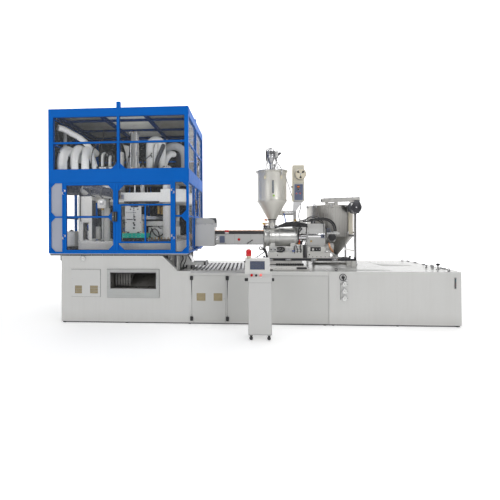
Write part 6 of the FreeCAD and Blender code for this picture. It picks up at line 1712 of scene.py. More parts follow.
for z, y in ((1770, 846), (1720, 846), (1660, 846)):
    pc.lathe([(20, 0), (20, 5), (15, 7), (15, 26), (11, 30), (0, 30)], (4385 + (z % 3) * 22, y + 4, z), (0, -1, 0), "dark_steel", 22)
    pc.tube([(4385 + (z % 3) * 22, 822, z), (4385 + (z % 3) * 22, 806, z - 6), (4360, 806, z - 60), (4350, 830, z - 160), (4356, 872, 1400)], 9, "hose", 12, smooth=6)
pc.box(4350, 4495, 846, 851, 1585, 1775, "unit", 2)
for x in (4362, 4482):
    for z in (1600, 1760):
        pc.hexbolt((x, 846, z), (0, -1, 0), 8, "dark_steel")
pc.box(4405, 4440, 1000, 1150, 1790, 1850, "black", 5)
pc.rod((4422, 1000, 1820), (4422, 960, 1820), 22, "blackp", 24)
# loose thin cables over the gear housing
pc.tube([(4470, 900, 1800), (4520, 880, 1870), (4620, 872, 1912), (4720, 876, 1900), (4790, 880, 1850), (4830, 884, 1780), (4850, 880, 1690), (4848, 866, 1600)], 6, "hose", 10, smooth=8)
pc.tube([(4480, 980, 1810), (4560, 990, 1880), (4660, 1000, 1890), (4760, 1010, 1860), (4850, 1010, 1800), (4920, 1010, 1660)], 8, "hose", 10, smooth=8)
pc.tube([(4440, 1040, 1830), (4560, 1060, 1858), (4700, 1060, 1852), (4820, 1070, 1800), (4900, 1060, 1720)], 10, "hose", 12, smooth=8)
pc.done()

# under the cylinder: valve body, its covers and boxes, looped hoses, cable with a blue tie
pc = Piece("sled_gear", "sled")
pc.box(3772, 4440, 842, 1258, 1092, 1104, "cast", 3)
# long white terminal box with a seam, screws and a gland
pc.box(3770, 4239, 838, 900, 1104, 1208, "whitep", 5)
pc.box(3996, 3999, 836.6, 839, 1108, 1204, "seam", 0.4)
pc.box(3776, 4233, 836.8, 839, 1196, 1198.5, "seam", 0.4)
pc.box(3822, 3856, 833, 839, 1140, 1176, "blackp", 2)
for x in (3786, 3890, 3985, 4012, 4120, 4222):
    for z in (1118, 1188):
        pc.screw((x, 838, z), (0, -1, 0), 4.6, "steel")
pc.lathe([(14, 0), (14, 8), (10, 11), (10, 20)], (3940, 838, 1150), (0, -1, 0), "blackp", 6)
# grey solenoid block on its left half
pc.box(3773, 3938, 842, 928, 1210, 1306, "gear", 5)
pc.box(3786, 3850, 835, 843, 1222, 1294, "unit", 3)
pc.box(3862, 3928, 835, 843, 1222, 1294, "unit", 3)
for x in (3794, 3842, 3870, 3920):
    for z in (1230, 1286):
        pc.screw((x, 835, z), (0, -1, 0), 4, "dark_steel")
for x in (3818, 3895):
    pc.lathe([(15, 0), (15, 5), (11, 7), (11, 15), (7, 18), (0, 18)], (x, 835, 1258), (0, -1, 0), "dark_steel", 24)
# hoses looping between the block and the light box
pc.tube([(3930, 852, 1226), (3964, 836, 1222), (4024, 826, 1222), (4062, 826, 1238), (4072, 828, 1266), (4058, 830, 1292), (4010, 832, 1300), (3960, 840, 1296), (3930, 856, 1292)], 14, "hose", 16, smooth=8)
pc.tube([(3934, 862, 1258), (3980, 850, 1252), (4018, 846, 1262), (4020, 850, 1282), (3984, 854, 1288), (3940, 866, 1280)], 10, "hose", 14, smooth=8)
pc.tube([(4070, 868, 1216), (4040, 848, 1212), (3996, 846, 1226), (3960, 852, 1246), (3934, 866, 1244)], 8, "hose_white", 12, smooth=8)
# light box in front of the block
pc.box(4082, 4240, 846, 928, 1212, 1316, "cast", 5)
pc.box(4094, 4228, 841, 847, 1224, 1304, "unit", 3)
for x in (4102, 4220):
    for z in (1232, 1296):
        pc.screw((x, 841, z), (0, -1, 0), 4, "steel")
pc.lathe([(22, 0), (22, 3), (17, 5), (17, 9), (0, 10)], (4160, 841, 1264), (0, -1, 0), "steel", 30)
# cable with the blue tie
pc.tube([(4268, 896, 1330), (4250, 852, 1302), (4242, 832, 1262), (4244, 828, 1216), (4252, 836, 1168), (4262, 860, 1120)], 11, "hose_white", 14, smooth=8)
pc.tube([(4282, 900, 1326), (4268, 856, 1300), (4262, 834, 1256), (4268, 832, 1206), (4288, 842, 1160), (4310, 862, 1118)], 8, "hose", 12, smooth=8)
pc.ring((4251, 832, 1222), (0.05, -0.06, 1), 27, 20, 22, "hose_blue", 28, 2)
pc.box(4262, 4276, 800, 812, 1228, 1238, "hose_blue", 2)
# plates and lines to the right of it
pc.box(4285, 4436, 856, 900, 1119, 1356, "whitep", 5)
for z in (1168, 1214, 1262, 1308):
    pc.box(4292, 4430, 853.5, 857, z, z + 7, "dark_and_painted_shade", 0.8)
for x in (4300, 4360, 4422):
    for z in (1140, 1190, 1238, 1286, 1334):
        pc.screw((x, 856, z), (0, -1, 0), 4.2, "dark_steel")
pc.tube([(4296, 846, 1350), (4318, 838, 1300), (4330, 836, 1240), (4322, 838, 1180), (4336, 846, 1122)], 8, "hose", 12, smooth=8)
pc.tube([(4392, 848, 1352), (4382, 838, 1296), (4396, 836, 1236), (4386, 840, 1170), (4398, 848, 1112)], 10, "hose", 12, smooth=8)
pc.tube([(4412, 850, 1340), (4418, 842, 1280), (4410, 840, 1210), (4420, 846, 1130)], 6, "hose_white", 12, smooth=8)
# dark channel in front of the gear foot
pc.box(4445, 4512, 862, 940, 1092, 1352, "dark_and_painted_shade", 5)
for z in (1120, 1220, 1320):
    pc.hexbolt((4478, 862, z), (0, -1, 0), 8, "dark_steel")
pc.tube([(4462, 858, 1352), (4466, 850, 1290), (4460, 850, 1200), (4470, 856, 1110)], 9, "hose", 12, smooth=8)
pc.box(4250, 4500, 942, 1248, 1104, 1180, "cast", 5)
for x in (3800, 3930, 4060, 4180, 4640, 4800, 4930, 5060, 5140):
    pc.hexbolt((x, 862 if x > 4500 else 920, 1104 if x < 4290 else 1092) if x > 4500 else (x, 1240, 1104), (0, 0, 1), 9, "dark_steel")
pc.done()

# rails: bearing shoes, end stops, energy chain on the platform
pc = Piece("rail_shoes", "sled")
for y in (850, 1210):
    for x in (3800, 4150, 4640, 5040):
        pc.box(x - 52, x + 52, y - 34, y - 21, 1044, 1080, "steel", 3)
        pc.box(x - 52, x + 52, y + 21, y + 34, 1044, 1080, "steel", 3)
        pc.lathe([(6, 0), (6, 8), (3.5, 10), (3.5, 16), (0, 17)], (x + 52, y - 27, 1062), (1, 0, 0), "brass", 12)
        for dx in (-36, 36):
            pc.lathe([(7, 0), (7, 2), (4, 2), (4, 0.5), (0, 0.5)], (x + dx, y - 34, 1066), (0, -1, 0), "dark_steel", 14)
pc.done()
pc = Piece("rail_base_kit")
for x in spread(3720, 5420, 18):
    for y in (850, 1210):
        pc.lathe([(8, 0), (8, 1), (5, 1), (5, -3), (0, -3)], (x, y, 1080), (0, 0, 1), "dark_steel", 14)
for y in (850, 1210):
    for x in (3690, 5440):
        pc.box(x - 12, x + 12, y - 30, y + 30, 1080, 1112, "dark_steel", 3)
        pc.lathe([(14, 0), (14, 10), (9, 14), (0, 15)], (x + (12 if x < 4000 else -12), y, 1098), (1 if x < 4000 else -1, 0, 0), "blackp", 20)
for z in (968, 1004):
    pc.box(3742, 4438, 97.5, 100, z - 34, z - 32.5, "seam", 0.3)
pc.box(3748, 3798, 92, 100, 936, 956, "blackp", 3)
pc.box(3756, 3790, 84, 93, 940, 952, "black", 3)
pc.box(4220, 4392, 84, 150, 962, 990, "black", 4)
pc.box(4240, 4372, 78, 85, 966, 984, "blackp", 3)
for x in spread(3760, 4420, 8):
    for y in (118, 1880):
        pc.hexbolt((x, y, 962), (0, 0, 1), 10, "steel")
rdm = random.Random(4)
for i in range(12):
    x = 3900 + 44 * i
    pc.box(x, x + 36, 640, 720, 966 if x < 4440 else 934, 1004 if x < 4440 else 972, "blackp", 4)
for k in range(3):
    pc.tube([(3700, 770 - 18 * k, 950), (3760, 760 - 18 * k, 972), (3900, 742 - 16 * k, 974 + 3 * k), (4200, 740 - 16 * k, 972), (4420, 740 - 14 * k, 974)], 8, "hose", 10, smooth=6)
pc.done()

# cables dropping from the cylinder to the platform, and behind the console
pc = Piece("cylinder_cables", "sled")
for k, (dx, m) in enumerate(((0, "hose"), (26, "hose"), (48, "hose"), (70, "hose"))):
    pc.tube([(3640 + dx, 880, 1316), (3632 + dx, 858, 1290), (3664 + dx * 0.7, 846, 1256), (3700 + dx * 0.5, 842, 1200), (3716 + dx * 0.4, 846, 1150), (3722 + dx * 0.4, 852, 1096)], 9, m, 12, smooth=8)
pc.tube([(3700, 868, 1230), (3640, 846, 1180), (3560, 832, 1126), (3480, 828, 1090), (3436, 826, 1062)], 9, "hose", 12, smooth=8)
pc.tube([(3690, 880, 1300), (3650, 850, 1262), (3600, 842, 1264), (3590, 850, 1290), (3610, 880, 1330)], 9, "hose", 12, smooth=8)
pc.done()

# gear housing: ribs, bolts, pin, sight glass, plate, breather
pc = Piece("screw_drive_kit", "drive")
for x in (4526, 4868):
    pc.prism([(930, 1766), (1150, 1766), (1203, 1691), (1235, 1506), (1203, 1320), (897, 1320), (865, 1506), (882, 1661)], "x", x - 5, x + 5, "gear", 2)
pc.box(4534, 4862, 861, 869.5, 1500, 1566, "chrome", 3)
pc.box(4505 + 19, 4871, 845, 850, 1198, 1318, "cast", 2)
pc.box(4580, 4781, 842.5, 846, 1226, 1309, "black", 2)
for x in (4536, 4860):
    for z in (1212, 1304):
        pc.hexbolt((x, 845, z), (0, -1, 0), 7, "dark_steel")
for x in (4545, 4850):
    for (y, z) in ((866, 1590), (866, 1470), (884, 1660)):
        pc.screw((x, y, z), (0, -1, 0), 7, "dark_steel")
for k in range(10):
    a = math.radians(36 * k)
    pc.hexbolt((4520, AY + 150 * math.cos(a), AZ + 150 * math.sin(a)), (-1, 0, 0), 11, "dark_steel")
pc.ring((4515, AY, AZ), (1, 0, 0), 96, 61, 6, "steel", 56, 2)
pc.box(4790, 4856, 848, 868, 1486, 1560, "panel_blue", 4)
pc.rod((4822, 850, 1522), (4822, 800, 1522), 12, "black", 20)
pc.lathe([(16, 0), (16, 6), (10, 10), (0, 11)], (4822, 802, 1522), (0, -1, 0), "black", 22)
pc.box(4560, 4840, 866, 886, 1326, 1330, "steel", 1)
for x in spread(4545, 4945, 6):
    pc.hexbolt((x, 850, 1118), (0, -1, 0), 8, "dark_steel")
pc.lathe([(14, 0), (14, 3), (9, 4), (0, 4)], (4560, 850, 1160), (0, -1, 0), "blackp", 22)
pc.box(4612, 4650, 838, 843, 1240, 1282, "cast", 2)
pc.lathe([(9, 0), (9, 4), (6, 6), (0, 6)], (4700, 842.5, 1266), (0, -1, 0), "steel", 20)
pc.lathe([(9, 0), (9, 4), (6, 6), (0, 6)], (4752, 842.5, 1266), (0, -1, 0), "steel", 20)
pc.lathe([(22, 0), (22, 10), (16, 14), (16, 40), (24, 42), (24, 60), (0, 64)], (4640, 1040, 1764), (0, 0, 1), "dark_steel", 26)
pc.lathe([(18, 0), (18, 4), (13, 4), (13, 2), (0, 2)], (4600, 866.5, 1420), (0, -1, 0), "brass", 24)
for x in (4560, 4700, 4840):
    pc.hexbolt((x, 1040 + 60 * (x == 4700), 1764), (0, 0, 1), 10, "dark_steel")
pc.ring((4700 - 6, 1100, 1800), (1, 0, 0), 34, 20, 12, "dark_steel", 32, 5)
pc.done()

# hydraulic motor: fins, dark ports, cable, elbow
pc = Piece("hydraulic_motor_kit", "drive")
for k in range(6):
    pc.ring((4890 + 30 * k, AY, 1500), (1, 0, 0), 106, 99, 12, "motor", 56, 2)
pc.lathe([(100, 0), (100, 6), (86, 14), (0, 16)], (5090, AY, 1500), (1, 0, 0), "motor", 48)
pc.lathe([(74, 0), (74, 3), (60, 3), (60, 10), (46, 16), (0, 17)], (5000, 862, 1500), (0, -1, 0), "black", 44)
for k in range(6):
    a = math.radians(30 + 60 * k)
    pc.lathe([(8, 0), (8, 5), (5, 5), (5, 2), (0, 2)], (5000 + 65 * math.cos(a), 862, 1500 + 65 * math.sin(a)), (0, -1, 0), "dark_steel", 16)
pc.box(4912, 4980, 890, 940, 1590, 1672, "panel_blue", 5)
pc.box(4920, 4972, 886, 891, 1600, 1662, "motor", 1.5)
pc.tube([(4940, 868, 1400), (4944, 846, 1340), (4966, 840, 1280), (5000, 846, 1240), (5012, 872, 1200)], 20, "copper", 18, smooth=8)
pc.ring((4940, 866, 1406), (0.05, -0.3, -1), 27, 20, 16, "dark_steel", 26, 2)
for k in range(3):
    pc.tube([(4905, 880, 1260 - 14 * k), (4960, 842 + 6 * k, 1222 - 12 * k), (5030, 840 + 6 * k, 1180 - 10 * k), (5080, 850, 1130), (5100, 862, 1100)], 5, "hose_white", 10, smooth=6)
for x in (5100, 5045):
    y = 960 if x == 5100 else 868
    pc.lathe([(24, 0), (24, 12), (19, 14), (19, 22)], (x, y, 1588), (0, 0, 1), "steel", 6)
for k in range(8):
    a = math.radians(45 * k)
    pc.hexbolt((5060, AY + 66 * math.cos(a), 1300 + 66 * math.sin(a)), (1, 0, 0), 8, "dark_steel")
pc.done()
# --------------------------------------------------------------------- hopper ---
HXC = 3854


def hoop(pc, z, r, h, d, mat, n=96):
    pc.lathe([(r, 0), (r + d, h * 0.25), (r + d, h * 0.75), (r, h)], (HXC, AY, z), (0, 0, 1), mat, n, cap=False)


pc = Piece("hopper_kit", "sled")
for z in (2300, 2440, 2580, 2700):
    hoop(pc, z, 292, 7, 2.2, "greige")
hoop(pc, 2232, 292, 8, 9, "greige")
hoop(pc, 2786, 292, 10, 14, "greige")
for k in range(24):
    a = math.radians(15 * k + 7.5)
    pc.hexbolt((HXC + 298.5 * math.cos(a), AY + 298.5 * math.sin(a), 2232), (0, 0, 1), 5.5, "steel")
# sight slot with black frame and glass
pc.box(3838, 3870, 749, 760, 2360, 2610, "blackp", 6)
# the glass uses the display material, so it glows faintly: painted glow
pc.box(3845, 3863, 746, 750, 2372, 2598, "display", 3)
for z in (2372, 2485, 2598):
    pc.screw((3842, 749, z), (0, -1, 0), 3, "steel")
# plain green disc, latches, rivets
pc.lathe([(20, 0), (20, 2), (0, 2.5)], (3868, 759.5, 2312), (0.03, -1, 0), "lime", 28)
for x, z in ((3700, 2690), (4020, 2690)):
    y = AY - math.sqrt(292 ** 2 - (x - HXC) ** 2)
    pc.box(x - 22, x + 22, y - 22, y - 1, z - 50, z + 40, "collar", 5)
    pc.rod((x - 26, y - 22, z + 26), (x + 26, y - 22, z + 26), 6, "steel", 14)
    pc.box(x - 10, x + 10, y - 40, y - 20, z + 20, z + 118, "steel", 3)
# seams of the four plates
for a in (45, 135, 225, 315):
    ca, sa = math.cos(math.radians(a)), math.sin(math.radians(a))
    pc.rod((HXC + 292.5 * ca, AY + 292.5 * sa, 2234), (HXC + 292.5 * ca, AY + 292.5 * sa, 2786), 2.2, "greige", 8)
# cone seam, lower flange, black clamp band, bolts
pc.rod((HXC + 60, AY - 68, 1862), (HXC + 206, AY - 208, 2212), 2.4, "greige", 8)
pc.ring((HXC, AY, 1800), (0, 0, 1), 86, 70.5, 14, "steel", 56, 3)
for k in range(8):
    a = math.radians(45 * k + 22)
    pc.hexbolt((HXC + 81 * math.cos(a), AY + 81 * math.sin(a), 1856), (0, 0, 1), 6, "dark_steel")
    pc.hexbolt((HXC + 84 * math.cos(a), AY + 84 * math.sin(a), 1738), (0, 0, 1), 7, "dark_steel")
# slide gate with its knob, two small orange valves at the left
pc.rod((3782, 1010, 1780), (3700, 1000, 1786), 9, "steel", 16)
pc.lathe([(20, 0), (20, 8), (15, 12), (15, 30), (22, 34), (22, 44), (0, 47)], (3742, 986, 1842), (-1, -0.3, 0.2), "orange", 22)
pc.lathe([(18, 0), (18, 8), (13, 12), (13, 26), (20, 30), (20, 40), (0, 43)], (3690, 990, 1768), (-0.6, -1, 0.1), "yellow", 22)
pc.rod((3690, 990, 1768), (3786, 1020, 1760), 8, "brass", 16)
pc.rod((3742, 986, 1842), (3790, 1010, 1840), 8, "brass", 16)
pc.box(3672, 3760, 900, 1010, 1700, 1736, "dark_steel", 4)
pc.box(3680, 3716, 896, 940, 1736, 1764, "copper", 3)
# strut to the dryer
pc.rod((HXC + 262, AY - 120, 2700), (4300, 1060, 2170), 9, "steel", 16)
pc.lathe([(16, 0), (16, 10), (10, 14)], (HXC + 262, AY - 120, 2704), (-0.6, 0.4, -1), "steel", 20)
pc.box(HXC + 246, HXC + 280, AY - 136, AY - 104, 2684, 2716, "steel", 4)
pc.done()

# loader: sight ring, clamp, motor, lever, hoses; lid with its handle
pc = Piece("loader_kit", "sled")
bx = HXC - 20
for z in (3100, 3222):
    pc.lathe([(90, 0), (95, 2), (95, 8), (90, 10)], (bx, AY, z), (0, 0, 1), "chrome_z", 56, cap=False)
pc.lathe([(34, 0), (34, 2.5), (27, 2.5), (27, 0.8), (0, 0.8)], (bx + 14, AY - 93, 3182), (0, -1, 0), "dark_steel", 36)
pc.lathe([(27, 0.8), (0, 1.6)], (bx + 14, AY - 94, 3182), (0, -1, 0), "chrome", 36)
for k in range(6):
    a = math.radians(60 * k)
    pc.screw((bx + 14 + 30.5 * math.cos(a), AY - 95.6, 3182 + 30.5 * math.sin(a)), (0, -1, 0), 2.6, "steel")
for k in range(5):
    a = math.radians(200 + 35 * k)
    pc.box(bx + 97 * math.cos(a) - 5, bx + 97 * math.cos(a) + 5, AY + 97 * math.sin(a) - 5, AY + 97 * math.sin(a) + 5, 3132, 3166, "dark_steel", 2)
pc.box(bx - 104, bx - 78, AY - 40, AY - 8, 3040, 3236, "blackp", 6)
pc.tube([(bx - 92, AY - 30, 3236), (bx - 84, AY - 36, 3262), (bx - 40, AY - 40, 3276), (bx + 20, AY - 30, 3272)], 8, "blackp", 12, smooth=6)
pc.box(HXC + 66, HXC + 122, AY - 58, AY - 49, 3100, 3206, "gear", 3)
pc.rod((HXC + 118, AY - 30, 3150), (HXC + 166, AY - 44, 3186), 22, "dark_steel", 24)
pc.lathe([(22, 0), (22, 4), (14, 12), (0, 14)], (HXC + 166, AY - 44, 3186), (0.78, -0.22, 0.58), "black", 24)
for k, (x0, z0) in enumerate(((HXC + 90, 3215), (HXC + 108, 3215), (HXC + 76, 3215))):
    pc.tube([(x0, AY - 20, z0), (x0 + 6, AY - 24, z0 + 30 + 8 * k), (x0 - 20, AY - 10, z0 + 52), (x0 - 60, AY, z0 + 56), (bx + 30, AY, 3262)], 5, "hose_white", 10, smooth=6)
pc.tube([(HXC + 96, AY - 40, 3092), (HXC + 90, AY - 60, 3040), (HXC + 120, AY - 80, 2960), (HXC + 168, AY - 120, 2880), (HXC + 176, AY - 130, 2832)], 7, "hose", 12, smooth=6)
pc.tube([(HXC + 72, AY - 40, 3092), (HXC + 78, AY - 70, 3020), (HXC + 66, AY - 100, 2930), (HXC + 96, AY - 150, 2834)], 6, "hose", 12, smooth=6)
pc.tube([(bx - 60, AY - 70, 3060), (bx - 70, AY - 90, 2990), (bx - 62, AY - 120, 2900), (bx - 96, AY - 160, 2836)], 6, "hose", 12, smooth=6)
pc.ring((HXC + 10, AY, 2829), (0, 0, 1), 82, 62.4, 10, "whitep", 56, 2)
pc.ring((HXC + 10, AY, 2940), (0, 0, 1), 72, 62.4, 14, "whitep", 56, 3)
for k in range(8):
    a = math.radians(45 * k)
    pc.hexbolt((HXC + 10 + 73 * math.cos(a), AY + 73 * math.sin(a), 2839), (0, 0, 1), 5, "steel")
pc.lathe([(20, 0), (24, 3), (24, 12), (18, 16), (0, 16)], (bx, AY, 3284), (0, 0, 1), "steel", 28)
for k in range(12):
    a = math.radians(30 * k + 15)
    pc.screw((HXC + 300 * math.cos(a), AY + 300 * math.sin(a), 2829), (0, 0, 1), 5, "steel")
pc.tube([(HXC - 190, AY - 60, 2829), (HXC - 190, AY - 60, 2852), (HXC - 184, AY - 54, 2860), (HXC - 184, AY + 54, 2860), (HXC - 190, AY + 60, 2852), (HXC - 190, AY + 60, 2829)], 7, "steel", 12, smooth=4)
pc.box(HXC - 318, HXC - 292, AY - 40, AY + 40, 2800, 2836, "dark_steel", 4)
pc.done()

# hot-air dryer: blower cover with three openings, case seams, control panel
pc = Piece("dryer_kit", "sled")
cx, cz = 4398, 2738
pc.lathe([(104, 0), (104, 3), (98, 8), (90, 9), (90, 6), (0, 6)], (cx, 852, cz), (0, -1, 0), "collar", 64)
pc.lathe([(109, 0), (112, 3), (112, 12), (109, 15)], (cx, 868, cz), (0, -1, 0), "steel", 64, cap=False)
for a in (90 + 50, 90 - 50, -90):
    ca, sa = math.cos(math.radians(a)), math.sin(math.radians(a))
    px_, pz_ = -sa, ca
    tri = [(cx + 22 * ca, cz + 22 * sa), (cx + 78 * ca + 26 * px_, cz + 78 * sa + 26 * pz_), (cx + 84 * ca, cz + 84 * sa), (cx + 78 * ca - 26 * px_, cz + 78 * sa - 26 * pz_)]
    pc.prism(tri, "y", 843.8, 846.4, "black", 0.6)
pc.lathe([(16, 0), (16, 4), (10, 7), (0, 8)], (cx, 846, cz), (0, -1, 0), "steel", 28)
for k in range(6):
    a = math.radians(60 * k + 30)
    pc.screw((cx + 96 * math.cos(a), 844.5, cz + 96 * math.sin(a)), (0, -1, 0), 4.5, "steel")
pc.lathe([(60, 0), (60, 40), (52, 50), (0, 52)], (cx, 1150, cz), (0, 1, 0), "motor", 40)
for z in (2590, 2900):
    for x in (4276, 4470):
        pc.screw((x, 950, z), (0, -1, 0), 5, "steel")
pc.box(4262, 4484, 948.4, 950.4, 2574, 2577, "seam", 0.4)
pc.box(4259, 4262.4, 970, 1130, 2240, 2900, "collar", 1.5)
for z in spread(2620, 2860, 8):
    pc.box(4484, 4486.5, 990, 1110, z, z + 10, "seam", 1)
# panel: frame, lamp, knob, two push-buttons, round plain dial
pc.box(4280, 4462, 936.5, 940.5, 2549, 2560, "gear", 1.5)
pc.box(4280, 4462, 936.5, 940.5, 2222, 2233, "gear", 1.5)
pc.box(4280, 4289, 936.5, 940.5, 2233, 2549, "gear", 1.5)
pc.box(4453, 4462, 936.5, 940.5, 2233, 2549, "gear", 1.5)
pc.lathe([(29, 0), (29, 3), (25, 4), (0, 4)], (4366, 940, 2500), (0, -1, 0), "blackp", 36)
pc.box(4344, 4388, 931, 936.5, 2486, 2514, "orange", 4)
pc.ring((4366, 940, 2452), (0, -1, 0), 26, 19, 3, "steel", 36, 1)
pc.lathe([(19, 0), (19, 14), (16, 18), (0, 19)], (4366, 940, 2452), (0, -1, 0), "blackp", 30)
pc.box(4363.5, 4368.5, 918.8, 921.4, 2454, 2470, "whitep", 0.8)
for x in (4328, 4398):
    pc.ring((x, 940, 2366), (0, -1, 0), 17, 12.5, 4, "steel", 30, 1)
    pc.lathe([(12.5, 0), (12.5, 8), (10, 11), (0, 12)], (x, 940, 2366), (0, -1, 0), "red", 28)
for i, n_ in enumerate("024"):
    a = math.radians(210 - 120 * i)
    pc.text(n_, (4366 + 36 * math.cos(a), 939.6, 2452 + 36 * math.sin(a) - 3), 9, "whitep", 0.5)
for x in (4296, 4446):
    for z in (2240, 2541):
        pc.screw((x, 936.5, z), (0, -1, 0), 3.4, "steel")
pc.lathe([(14, 0), (14, 5), (9, 8), (9, 20), (16, 24), (16, 36), (0, 38)], (4262, 980, 2500), (-1, -0.2, 0), "blackp", 24)
# funnel seams, pipe bands, leg bolts
for z in (2204,):
    pc.box(4276, 4464, 966, 970.5, z - 4, z + 12, "steel", 2)
for x in (4092, 4160, 4236):
    pc.lathe([(42, 0), (45.5, 2), (45.5, 10), (42, 12)], (x, AY, 1982), (1, 0, 0), "steel", 44, cap=False)
for k in range(6):
    a = math.radians(60 * k)
    pc.hexbolt((4078, AY + 51 * math.cos(a), 1982 + 51 * math.sin(a)), (1, 0, 0), 5, "dark_steel")
for (x, y) in ((4264, 1018), (4264, 1082), (4322, 1018), (4322, 1082)):
    pc.hexbolt((x, y, 1712), (0, 0, 1), 5, "dark_steel")
pc.tube([(4440, 1150, 2300), (4452, 1170, 2240), (4440, 1160, 2100), (4400, 1120, 1980), (4390, 1080, 1900), (4400, 1050, 1852)], 8, "hose", 12, smooth=8)
pc.done()
# ---------------------------------------------------------------------- mixer ---
MX, MY = 5143, 1740
pc = Piece("mixer_kit")
for z in (1502, 1560, 2092):
    pc.lathe([(490, 0), (493, 2), (493, 7), (490, 9)], (MX, MY, z), (0, 0, 1), "stainless", 120, cap=False)
# upright weld, access hatch at the front right with hinge and clamp
pc.rod((MX - 250, MY - 422.5, 1515), (MX - 250, MY - 422.5, 2085), 2.4, "stainless", 8)
pc.rod((MX + 330, MY - 363, 1515), (MX + 330, MY - 363, 2085), 2.4, "stainless", 8)
n = 14
rows = []
for i in range(n + 1):
    a = math.radians(-52 + (24) * i / n)
    rows.append((MX + 492.5 * math.cos(a), MY + 492.5 * math.sin(a), math.cos(a), math.sin(a)))
for i in range(n):
    (xa, ya, _, _), (xb, yb, _, _) = rows[i], rows[i + 1]
    pc.prism([(xa, ya), (xb, yb), (xb * 1.0 + (xb - MX) * 0.006, yb + (yb - MY) * 0.006), (xa + (xa - MX) * 0.006, ya + (ya - MY) * 0.006)], "z", 1545, 2060, "collar", 0)
for z in (1580, 2020):
    pc.box(rows[0][0] - 24, rows[0][0] + 6, rows[0][1] - 14, rows[0][1] + 6, z - 20, z + 20, "steel", 3)
    pc.box(rows[-1][0] - 4, rows[-1][0] + 20, rows[-1][1] - 16, rows[-1][1] + 4, z - 16, z + 16, "dark_steel", 3)
# lid: ring clamp, handle, motor flange, filler neck
for k in range(10):
    a = math.radians(36 * k + 10)
    x, y = MX + 500 * math.cos(a), MY + 500 * math.sin(a)
    pc.box(x - 14, x + 14, y - 14, y + 14, 2108, 2160, "steel", 4)
    pc.hexbolt((x, y, 2160), (0, 0, 1), 7, "dark_steel")
pc.tube([(4820, 1660, 2162), (4820, 1660, 2200), (4828, 1664, 2208), (4828, 1816, 2208), (4820, 1820, 2200), (4820, 1820, 2162)], 8, "steel", 12, smooth=4)
pc.ring((MX + 40, MY + 60, 2178), (0, 0, 1), 120, 100, 16, "steel", 56, 3)
pc.lathe([(96, 0), (96, 30), (80, 36), (0, 36)], (MX + 40, MY + 60, 2186), (0, 0, 1), "stainless", 48)
# cone: welded seam and brace, outlet slide valve, leg plates and anchors
pc.rod((MX + 420, MY - 250, 1496), (5314, 1700, 1104), 3, "stainless", 8)
pc.lathe([(62, 0), (66, 2), (66, 10), (62, 12)], (5262, MY, 1085), (0, 0, 1), "steel", 44, cap=False)
pc.box(5180, 5352, MY - 96, MY + 96, 1029, 1045, "dark_steel", 3)
pc.box(5350, 5420, MY - 30, MY + 30, 1033, 1041, "steel", 2)
pc.lathe([(18, 0), (18, 26), (12, 30), (0, 30)], (5418, MY, 1037), (1, 0, 0), "blackp", 22)
for k in range(4):
    a = math.radians(45 + 90 * k)
    pc.hexbolt((5262 + 72 * math.cos(a), MY + 72 * math.sin(a), 1057), (0, 0, 1), 7, "dark_steel")
for x in (4720, 5575):
    for y in (1340, 2115):
        pc.box(x - 42, x + 42, y - 42, y + 42, 930, 939, "steel", 2)
        for dx in (-30, 30):
            for dy in (-30, 30):
                pc.hexbolt((x + dx, y + dy, 939), (0, 0, 1), 7, "dark_steel")
pc.done()

pc = Piece("mixer_drive_kit")
# ribbed casing, fan cover, terminal box, coupling
for k in range(9):
    pc.lathe([(117, 0), (122, 1.5), (122, 6), (117, 7.5)], (5535, 1168 + 17 * k, 2092), (0, 1, 0), "motor", 56, cap=False)
pc.lathe([(100, 0), (100, 4), (88, 10), (0, 12)], (5535, 1112, 2092), (0, -1, 0), "dark_steel", 48)
for r in (30, 46, 62, 78):
    pc.ring((5535, 1099.5, 2092), (0, -1, 0), r + 3, r - 3, 2, "black", 44, 0.6)
pc.lathe([(14, 0), (14, 6), (8, 9), (0, 9)], (5535, 1100, 2092), (0, -1, 0), "steel", 24)
pc.box(5566, 5627, 1206, 1324, 2236, 2242, "dark_steel", 2)
for x in (5572, 5621):
    for y in (1212, 1318):
        pc.screw((x, y, 2242), (0, 0, 1), 4, "steel")
pc.box(5440, 5500, 1106, 1140, 2110, 2170, "whitep", 5)
pc.lathe([(62, 0), (62, 3), (50, 3), (50, 1), (0, 1)], (5500, 1126, 2040), (0, -1, 0), "chrome", 36)
pc.tube([(5600, 1206, 2200), (5630, 1180, 2190), (5640, 1170, 2120), (5620, 1200, 2000), (5590, 1310, 1960), (5588, 1316, 1300), (5590, 1314, 960)], 7, "hose", 12, smooth=6)
# trough: lid clamps, end plate, stiffeners, pads
rot = -1.6
for x in spread(5000, 5710, 7):
    dz = (x - 5350) * math.tan(math.radians(1.6))
    pc.box(x - 12, x + 12, 1546, 1553, 2296 + dz, 2328 + dz, "steel", 2)
    pc.box(x - 12, x + 12, 1707, 1714, 2296 + dz, 2328 + dz, "steel", 2)
    pc.box(x - 1.5, x + 1.5, 1552, 1708, 2322 + dz, 2324 + dz, "seam", 0.3)
pc.box(4955, 4965, 1564, 1696, 2232, 2300, "trough", 2)
pc.lathe([(34, 0), (34, 10), (22, 14), (0, 14)], (4955, 1630, 2268), (-1, 0, 0), "dark_steel", 32)
for (x, y) in ((5040, 1600), (5080, 1600), (5040, 1660), (5080, 1660), (5240, 1600), (5280, 1600), (5240, 1660), (5280, 1660)):
    pc.hexbolt((x, y, 2244 - (6 if x > 5100 else 4)), (0, 0, -1), 6, "dark_steel")
pc.done()
# -------------------------------------------------------------------- console ---
pc = Piece("console_display")
# bezel round the screen recess; display face set back in it
t = math.atan2(35, 225)


def head_y(z):
    return -910 + 35 * (z - 1000) / 225.0


